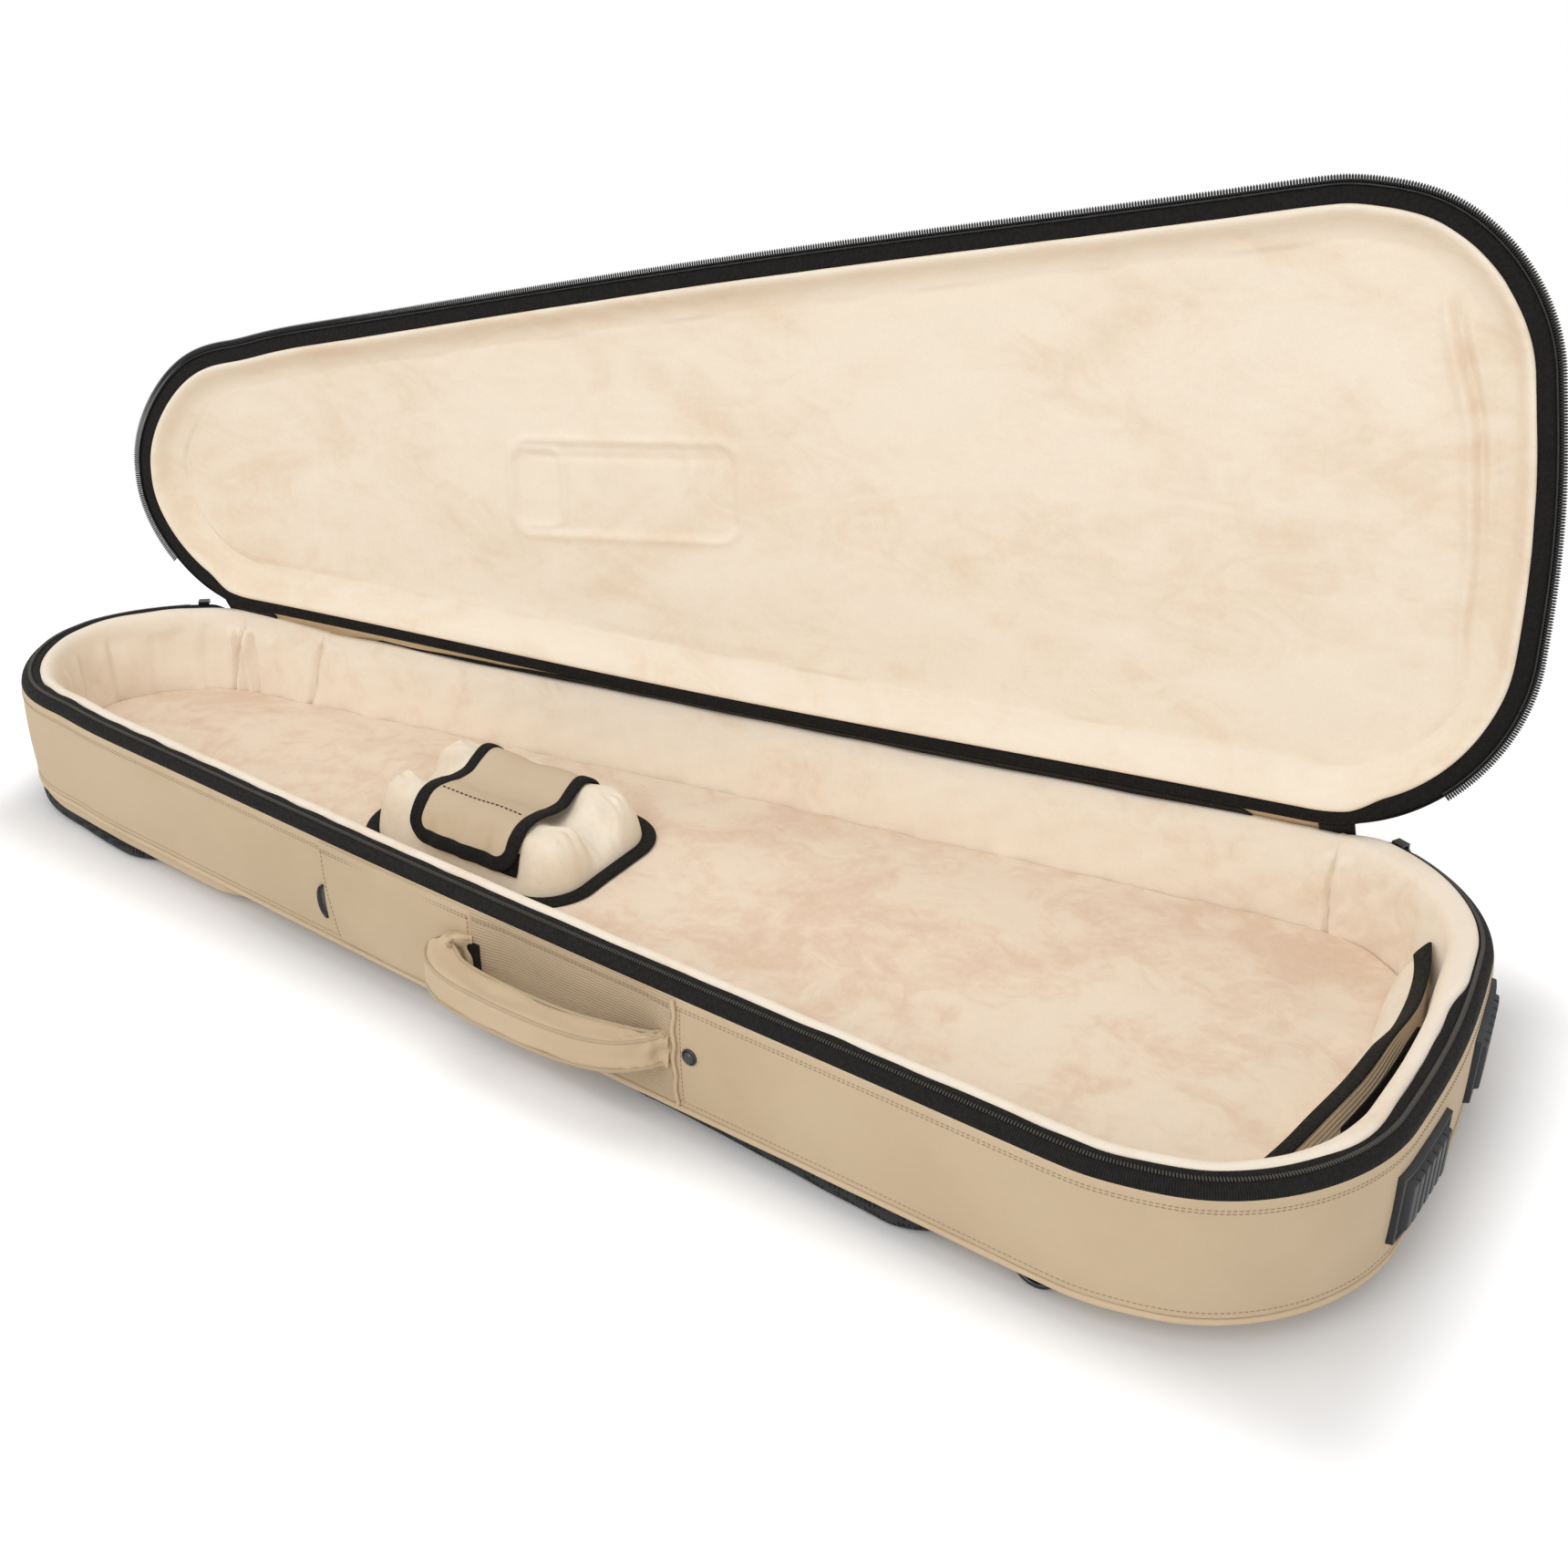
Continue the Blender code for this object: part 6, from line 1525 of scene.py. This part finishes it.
def flat_pad(name, outline, levels, seed, uneven=0.0004, tall=None):
    """A soft pad from its outline; each level is a height and how far it is drawn in."""
    centre = outline.mean(0)
    arm = outline - centre
    size = np.linalg.norm(arm, axis=1)[:, None]
    rings = []
    for z, draw in curve(levels, 22):
        spot = centre + arm * (1 - draw / size)
        rings.append(np.column_stack([spot[:, 0] - ORIGIN_X, spot[:, 1], np.full(len(spot), z)]))
    last = rings[-1]
    middle = last.mean(0)
    for share in (0.25, 0.5, 0.75, 0.95):
        rings.append(mix(last, middle, share))
    first = rings[0]
    for share in (0.3, 0.7, 0.95):
        rings.insert(0, mix(first, first.mean(0), share))
    grid = np.stack(rings)
    if tall:
        grid[..., 2] *= tall(grid[..., 0] + ORIGIN_X)
    grid[..., 2] += uneven * ripple(grid, 0.05, seed) * smooth((grid[..., 2] - 0.001) / 0.004) * smooth(
        (STAND - 0.0012 - grid[..., 2]) / 0.003)
    return loft(name, grid, sharp=0)


WIDE_PAD_X = (LENGTH - 0.195 - 0.265, LENGTH - 0.195)
HEAD_PAD_X = (-0.014, 0.235)
STRAP_COVER_X = (0.030, 0.345)
WEBBING_START = 0.3006
WEBBING_SIDE = 0.090


def build_underside():
    top = STAND - 0.0003
    x0, x1 = WIDE_PAD_X
    outline = pad_outline(x0, x1, 0.009, 0.045)
    levels = [(top, 0.003), (top * 0.80, 0.0), (top * 0.45, 0.0), (top * 0.18, 0.003), (0.0008, 0.009),
              (0.0, 0.014)]
    piece = flat_pad("mesh_pad_wide", outline, levels, 91)
    on_tray(piece, M.mesh, "black_mesh", "mesh_back_pad")
    outline = head_outline(*HEAD_PAD_X, 0.0008, 0.060)
    levels = [(1.0, 0.001), (0.7, 0.0), (0.35, 0.0006), (0.09, 0.004), (0.0, 0.008)]
    piece = flat_pad("mesh_pad_head", outline, levels, 92, 0.0,
                     lambda x: mix(0.0197, 0.0092, smooth((x - 0.035) / 0.10)))
    on_tray(piece, M.mesh, "black_mesh", "head_back_pad")
    outline = head_outline(*STRAP_COVER_X, 0.0014, 0.060)
    low = top - 0.0115
    piece = flat_pad("strap_pocket_cover", outline, [(top + 0.0002, 0.001), (mix(low, top, 0.6), 0.0),
                                                     (mix(low, top, 0.25), 0.0012), (low, 0.007)], 93, 0.0003)
    on_tray(piece, M.khaki, "khaki_fabric", "strap_cover")

    for name, side in (("near", -1), ("far", 1)):
        z1 = top - 0.0006 - 0.0030
        z0 = z1 - 0.0016
        xs = np.linspace(WEBBING_START - ORIGIN_X, x0 - 0.0006 - ORIGIN_X, 120)
        section = curve([(-0.0125, z0 + 0.0003), (-0.0119, z1), (0.0, z1), (0.0119, z1),
                         (0.0125, z0 + 0.0003), (0.0119, z0), (0.0, z0), (-0.0119, z0)], 20)
        grid = np.stack([np.column_stack([np.full(20, x), side * WEBBING_SIDE + section[:, 0], section[:, 1]])
                         for x in xs])
        piece = loft("strap_webbing_tail_" + name, grid)
        on_tray(piece, M.tape, "black_tape", "strap_webbing_" + name)
        build_ring(name, side)
        paint_node("strap_adjuster_" + name, M.plastic)


def paint_node(name, material):
    """Gives a carried-over node a finished material."""
    node = bpy.data.objects[name]
    if not node.material_slots:
        node.data.materials.append(material)
    for slot in node.material_slots:
        slot.link = "OBJECT"
        slot.material = material


def build_ring(name, side):
    r = RIM.at([RIM.near(LENGTH - 0.155)])
    spot = on_rim(r, 0.016, STAND)[0]
    along = np.array([-r.ny[0], r.nx[0], 0.0])
    z = STAND - 0.0003 - 0.0016 - 0.0005 - 0.0018
    middle = np.array([spot[0], -side * spot[1], z])
    along = np.array([along[0], -side * along[1], 0.0])
    half, depth = 0.0125, 0.0135
    points = [middle + along * (half * share) for share in np.linspace(-0.72, 0.72, 12)]
    for angle in np.linspace(math.radians(-4), math.radians(184), 40):
        drop = 0.002 + (depth - 0.002) * max(0.0, math.sin(angle))
        points.append(middle + along * (half * math.cos(angle)) - np.array([0, 0, drop]))
    piece = tube("strap_ring_" + name, np.array(points), 0.0018, 12, ring=True)
    dress(piece, "ring_" + name, M.metal, ("d_ring_" + name,))
    outward = np.array([along[1], -along[0], 0.0]) * -side
    turn = full_turn(28)
    inner, outer = 0.0023, 0.0037
    section = [(inner, -1.0), (outer - 0.0002, -1.0), (outer, -0.94), (outer, 0.94), (outer - 0.0002, 1.0),
               (inner, 1.0)]
    grid = np.zeros((28, len(section), 3))
    for k, (radius, end) in enumerate(section):
        grid[:, k] = (middle + along * (0.0070 * end) + outward * (radius * np.cos(turn))[:, None]
                      + UP * (radius * np.sin(turn))[:, None])
    piece = loft("ring_keeper_" + name, grid, ring=True)
    on_tray(piece, M.tape, "black_tape", "ring_loop_" + name)


# Hinge gusset and lid

def gusset_points(r, t):
    """The gusset's cloth from the base wall's top (0) to the open lid's edge (1)."""
    low = on_rim(r, 0.0006, RIM_Z - 0.0072)
    high = opened(on_lid(r, 0.0042, -0.0030))
    points = low[:, None] + (high - low)[:, None] * t[None, :, None]
    x = r.x[:, None]
    slack = np.sin(math.pi * t)[None]
    near_head = bell(x - 0.20, 0.13)
    folds = near_head * (0.0022 * np.sin(t * 13 + x * 26) + 0.0012 * np.sin(t * 24 - x * 52))
    points[..., 2] += slack * (folds - 0.0012 - 0.0012 * near_head)
    points[..., 1] -= slack * 0.0015 * near_head
    return points


def build_gusset():
    s = np.linspace(RIM.far_side(0.998), RIM.far_side(0.072), 300)
    r = RIM.at(s)
    t = np.linspace(0, 1, 30)
    top = gusset_points(r, t)
    under = top - np.array([0, 0.0002, 0.0008])
    piece = slab("hinge_gusset_cloth", top, under)
    dress(piece, None, M.khaki, ("hinge_strip",))
    middle = RIM.at([RIM.far_side(0.5485)])
    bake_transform(piece)

    # Black tape on the gusset's inner face, and black cloth at its two ends
    for name, first, last, low in (("hinge_inner_tape", 0.945, 0.150, 0.20),
                                   ("gusset_end_cloth_tail", 0.9985, 0.974, 0.0),
                                   ("gusset_end_cloth_head", 0.122, 0.0715, 0.0)):
        r = RIM.at(np.linspace(RIM.far_side(first), RIM.far_side(last), 200 if low else 24))
        high = np.full(len(r.s), 1.0)
        if low:
            high = mix(0.30, 0.74, smooth((r.x - 0.155) / 0.12))
            high = mix(high, 1.0, smooth((r.x - 0.34) / 0.09))
            high = mix(0.24, high, smooth((0.943 - r.x) / 0.022))
        share = low + (high[:, None] - low) * np.linspace(0, 1, 16)[None]
        whole = gusset_points(r, t)
        where = share * (len(t) - 1)
        k = np.minimum(where.astype(int), len(t) - 2)
        part = (where - k)[..., None]
        rows = np.arange(len(r.s))[:, None]
        spot = whole[rows, k] * (1 - part) + whole[rows, k + 1] * part
        piece = slab(name, spot - np.array([0, 0.0005, 0.0012]), spot - np.array([0, 0.0010, 0.0022]))
        dress(piece, None, M.tape, ())
        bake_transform(piece)


def lid_crown(share):
    return LID_CROWN * (1 - np.clip(1 - share, 0.2, 1) ** 2) * 0.97


def build_lid():
    top = LID_DEPTH
    s = around(720)
    r = RIM.at(s)
    roll = LID_SEAM
    t = np.linspace(0, 1, 9)
    z_out = np.broadcast_to(0.0009 + (top - roll - 0.0009) * t, (len(s), 9))
    spot = np.stack(np.broadcast_arrays(r.x[:, None], r.y[:, None], z_out), -1)
    out = 0.0006 * np.sin(math.pi * t)[None] + 0.0002 * ripple(spot, 0.10, 101) - 0.0032 - 0.0020 * t[None]
    fold = np.array([(0.0033, 0.0003), (0.0038, 0.0), (0.0044, 0.0006)])[::-1]
    inset = np.hstack([np.tile([0.0062, 0.0046], (len(s), 1)), np.tile(fold[:, 0], (len(s), 1)), -out])
    z = np.hstack([np.tile([top - roll, 0.006], (len(s), 1)), np.tile(fold[:, 1], (len(s), 1)), z_out])
    piece = loft("lid_wall_cloth", opened(place_lid(r, inset, z)), ring=True, u=s)
    dress(piece, "lid", M.khaki, ("lid_side_wall", "lid_wall_foam"))

    turn = full_turn(12)
    inset = 0.0058 + PIPING_R * np.cos(turn)
    z = top - roll + 0.0003 + PIPING_R + PIPING_R * np.sin(turn)
    piece = loft("lid_edge_piping", opened(place_lid(r, inset, z)), ring=True, u=s, sharp=0)
    dress(piece, "lid", M.khaki_light, ("lid_piping",))

    lines = []
    for drop in STITCH_DROPS:
        path = on_lid(r, 0.0033, drop)
        tip = opened(path + outward_of(r))
        path = opened(path)
        lines.append(stitch_row(closed(path), closed(tip - path), STITCH_PITCH))
    stitching("lid_wall_stitching", lines, *STITCH, M.thread, "lid")

    s2 = around(480)
    r2 = RIM.at(s2)
    edge_z = top - roll + 0.0022
    rings = []
    for inset, z in ((0.0070, edge_z - 0.0012), (0.0066, edge_z), (0.0070, edge_z + 0.0018),
                     (0.0084, edge_z + 0.0034), (0.0108, top - 0.0012), (0.0130, top - 0.0006)):
        rings.append(on_lid(r2, inset, z))
    edge = on_lid(r2, 0.0130, top - 0.0006)
    for share in np.concatenate([[0.03, 0.07], np.linspace(0.12, 0.97, 16)]):
        ring = spine(edge, share)
        ring[:, 2] += lid_crown(share)
        ring[:, 2] += 0.0005 * ripple(ring, 0.15, 102) * smooth(share / 0.1)
        rings.append(ring)
    inner = []
    for share in (0.97, 0.6, 0.2, 0.0):
        ring = spine(edge, share)
        ring[:, 2] += lid_crown(share) - 0.002
        inner.append(ring)
    inner.append(on_lid(r2, 0.0084, edge_z - 0.0008))
    piece = lid_panel("lid_back_cloth", [opened(g) for g in rings + inner], len(rings))
    dress(piece, "lid", M.khaki, ("lid_top_panel", "lid_foam_board"))
    build_lid_zipper()
    build_lid_lining()


def lid_panel(name, rings, middle):
    """A closed skin; rings run from the front's middle out to the edge and back in behind."""
    return pillow(name, rings[:middle][::-1] + rings[middle:][::-1], sharp=60)


def build_lid_zipper():
    first, last = RIM.zipper(15.0)
    s = np.linspace(first, last, 560)
    r = RIM.at(s)
    section = curve([(0.0032, 0.0002), (0.0032, -0.0014), (0.0034, -0.0036), (0.0038, -0.0052),
                     (0.0046, -0.0058), (0.0048, -0.0052), (0.0044, -0.0034), (0.0042, 0.0002)], 14)
    piece = loft("lid_outer_tape", opened(place_lid(r, section[:, 0], section[:, 1])), u=s)
    dress(piece, "lid", M.tape, ("lid_zipper_tape",))

    s = around(900)
    r = RIM.at(s)
    section = curve([(0.0052, -0.0050), (0.0064, -0.0056), (0.0078, -0.0062), (0.0115, -0.0066),
                     (0.0164, -0.0066), (0.0176, -0.0060), (0.0176, -0.0052), (0.0125, -0.0050),
                     (0.0072, -0.0046), (0.0054, -0.0042)], 22)
    spot = ground(r)
    share = hinge_share(r)[:, None]
    across = section[None, :, 0]
    inset = across + 0.0004 * ripple(spot, 0.04, 6)[:, None] * smooth((across - 0.010) / 0.004)
    # Along the hinge the band is about half as wide
    inset = inset - share * (0.0020 + 0.0038 * smooth((across - 0.0052) / 0.008))
    piece = loft("lid_inner_band", opened(place_lid(r, inset, section[:, 1])), ring=True, u=s)
    dress(piece, "lid", M.binding, ("lid_rim_facing",))

    first, last = RIM.zipper(45.0)
    s = np.arange(first, last, TOOTH_PITCH)
    r = RIM.at(s)
    centre = on_lid(r, 0.0028, -COIL_HEIGHT + 0.0002)
    outward = outward_of(r)
    up = np.tile([0, 0, -1.0], (len(s), 1))
    a = opened(centre)
    piece = seeds("lid_coil_teeth", a, opened(centre + outward) - a, opened(centre + up) - a,
                  0.0054, 0.0015, 0.0014)
    dress(piece, "lid", M.comb, ("lid_zipper_coil",))
    s = np.linspace(first, last, 700)
    r = RIM.at(s)
    path = on_lid(r, 0.0060, -COIL_HEIGHT - 0.0001)
    dress(tube("lid_coil_cord", opened(path), 0.0007, 6), "lid", M.comb, ())


# Where the lining meets the lid's flat face
LINING_EDGE = 0.0384


def build_lid_lining():
    top = LID_DEPTH
    face = top - 0.0145 - 0.0003 - 0.003
    s = around(1200)
    r = RIM.at(s)
    section = curve([(0.0178, -0.0040), (0.0176, -0.0056), (0.0184, -0.0070), (0.0204, -0.0073),
                     (0.0228, -0.0056), (0.0250, -0.0018), (0.0272, 0.0028), (0.0300, 0.0068),
                     (0.0336, 0.0096), (LINING_EDGE, face - 0.0004)], 40)
    rings = []
    wider = 0.0056 * hinge_share(r)[:, None]
    for inset, z in section:
        spot = place_lid(r, inset - wider * (1 - smooth((inset - 0.020) / 0.012)), np.array([z]))[:, 0]
        soft = smooth((inset - 0.017) / 0.01)
        spot[:, 2] += soft * 0.0007 * ripple(spot, 0.07, 111)
        rings.append(spot)
    edge = on_lid(r, LINING_EDGE, face)
    shares = np.concatenate([[0.012, 0.03], np.linspace(0.05, 0.98, 84)])
    for share in shares:
        rings.append(spine(edge, share))
    for ring, share in zip(rings[40:], shares):
        ring[:, 2] = RIM_Z + LID_RIM + face + lid_relief(ring) * smooth(share / 0.10)
    visible = rings
    back = []
    for share in (0.98, 0.5, 0.0):
        spot = spine(edge, share)
        spot[:, 2] = RIM_Z + LID_RIM + face + 0.0035
        back.append(spot)
    for inset, z in ((0.0360, face + 0.002), (0.0270, 0.0090), (0.0225, 0.0030), (0.0195, -0.0030)):
        back.append(on_lid(r, inset, z))
    piece = lid_panel("lid_plush_face", [opened(g) for g in visible + back], len(visible))
    piece.data.shade_smooth()
    dress(piece, "lid", M.lid, ("lid_lining",))


# Middle of the print that the cradle has left in the lid
PRINT_X = 0.453
PRINT_Y = 0.0


def lid_relief(points):
    """Swells, the crease at the wide end and the print that the cradle has left; up is away from the tray."""
    x = points[:, 0] + ORIGIN_X
    y = points[:, 1]
    up = 0.0008 * ripple(points, 0.20, 121) + 0.0004 * ripple(points, 0.06, 122)
    line = 1.0625 - 0.0230 * smooth((-0.010 - y) / 0.150) - 0.008 + 0.0010 * np.sin(y * 70)
    along = smooth((0.140 - np.abs(y + 0.010)) / 0.03)
    up -= along * (0.0034 * bell(x - line, 0.0040) - 0.0052 * bell(x - line - 0.0080, 0.0038)
                   + 0.0022 * bell(x - line - 0.0150, 0.0040))
    u, v = x - PRINT_X, y - PRINT_Y
    depth = rounded_depth(u, v, 0.098, 0.036, 0.018)
    up += 0.0014 * smooth(depth / 0.006) - 0.0016 * bell(depth + 0.001, 0.0035)
    knob = rounded_depth(u + 0.074, v, 0.022, 0.030, 0.012)
    up -= 0.0016 * bell(knob, 0.0030)
    up -= 0.0016 * bell(u + 0.050, 0.0028) * smooth((0.046 - np.abs(v)) / 0.008)
    up += 0.0010 * bell(v + 0.024, 0.0030) * smooth((0.090 - np.abs(u)) / 0.02)
    up += 0.0009 * bell(u - 0.062, 0.0030) * smooth((0.004 - v) / 0.01) * smooth((v + 0.034) / 0.008)
    return up


# Sliders, pulls and what else is carried over

def build_sliders():
    for name in ("head", "tail"):
        paint_node("zipper_slider_" + name, M.metal)
        paint_node("zipper_pull_" + name, M.plastic)


# Floor, lights and camera

def build_stage():
    mesh = bpy.data.meshes.new("studio_floor")
    work = bmesh.new()
    bmesh.ops.create_circle(work, cap_ends=True, segments=96, radius=9.0)
    work.to_mesh(mesh)
    work.free()
    floor = link("studio_floor", mesh)
    floor.location = (-0.2, 0.0, 0.0)
    paint = Paint("pale_floor", roughness=0.9, specular=0.1)
    paint.colour((0.86, 0.86, 0.865))
    seen = seen_ray(paint)
    where = paint.coordinates()
    split = paint.node("SeparateXYZ")
    paint.wire(split, where)

    # Under the bag and close by, a wedge of floor is left to the bag's own shadow
    def beyond(value, limit):
        return paint.math("MAXIMUM", paint.math("SUBTRACT", paint.math("ABSOLUTE", value), limit), 0.0)

    along = beyond(split.outputs[0], 0.520)
    across = beyond(split.outputs[1], paint.math("MULTIPLY_ADD", split.outputs[0], 0.075, 0.150))
    across = paint.math("MULTIPLY", across, across)
    away = paint.math("SQRT", paint.math("MULTIPLY_ADD", along, along, across))
    glow = paint.math("MULTIPLY", seen, paint.step(away, 0.005, 0.100, 0.02, 0.46))
    pale = paint.wire(paint.node("AddShader"), paint.shader.outputs[0], white_light(paint, glow))

    # Further off the floor turns to plain white
    length = paint.node("VectorMath", operation="LENGTH")
    paint.wire(length, where)
    share = paint.math("MULTIPLY", paint.step(length.outputs["Value"], 0.6, 1.6), seen)
    both = paint.wire(paint.node("MixShader"), share, pale, white_light(paint, 1.0))
    paint.put(paint.nodes["Material Output"].inputs["Surface"], both)
    mesh.materials.append(paint.material)


def white_light(paint, strength, kind="Emission"):
    return paint.wire(paint.node(kind), (1.0, 1.0, 1.0), strength)


def seen_ray(paint):
    """1 for rays that show the background: from the camera, by reflection or through glass."""
    path = paint.node("LightPath")
    camera, glossy, glass = (path.outputs[f"Is {kind} Ray"] for kind in ("Camera", "Glossy", "Transmission"))
    return paint.math("MAXIMUM", paint.math("MAXIMUM", camera, glossy), glass)


class Sky(Paint):
    """The same short way for the world's nodes."""

    def __init__(self, name):
        self.world = bpy.data.worlds.new(name)
        self.world.use_nodes = True
        self.nodes = self.world.node_tree.nodes
        self.links = self.world.node_tree.links
        self.nodes.clear()


def build_lights():
    sky = Sky("studio")
    bpy.context.scene.world = sky.world
    ambient, white = (white_light(sky, strength, "Background") for strength in (0.50, 1.0))
    both = sky.wire(sky.node("MixShader"), seen_ray(sky), ambient, white)
    sky.put(sky.node("OutputWorld").inputs["Surface"], both)
    for name, spot, aim, size, power in (
            ("key", (0.0, -2.4, 2.0), (-0.3, 0.0, 0.15), 2.2, 38.0),
            ("top", (-0.7, 0.2, 3.0), (-0.3, 0.0, 0.1), 2.4, 21.0),
            ("tail", (2.3, -0.9, 1.0), (0.2, 0.0, 0.10), 1.4, 8.0),
            ("side", (-2.6, -1.4, 1.3), (-0.2, 0.0, 0.15), 1.6, 8.0)):
        light = bpy.data.lights.new(name, "AREA")
        light.shape = "SQUARE"
        light.size = size
        light.energy = power
        lamp = link(name, light)
        lamp.location = spot
        lamp.rotation_mode = "QUATERNION"
        lamp.rotation_quaternion = (Vector(aim) - Vector(spot)).to_track_quat("-Z", "Y")


def build_camera():
    right = Vector((0.85696428, 0.51536668, 0.00306559))
    down = Vector((0.21588934, -0.35357213, -0.91015303))
    forward = Vector((-0.46797864, 0.78063047, -0.41426086))
    camera = bpy.data.cameras.new("photo_view")
    camera.sensor_width = 36.0
    camera.lens = 42.235
    camera.shift_y = -0.0581
    camera.clip_end = 50.0
    eye = link("photo_view", camera)
    matrix = Matrix((right, -down, -forward)).transposed().to_4x4()
    matrix.translation = Vector((0.4488, -0.9064, 0.6892))
    eye.matrix_world = matrix
    bpy.context.scene.camera = eye
    bpy.context.scene.view_settings.view_transform = "Standard"


def main():
    for build in (build_wall, build_base_zipper, build_end_tabs, build_lining, build_cushion, build_cradle,
                  build_flap, build_pocket, build_near_panels, build_handle, build_bumpers, build_underside,
                  build_gusset, build_lid, build_sliders, build_stage, build_lights, build_camera):
        build()


main()
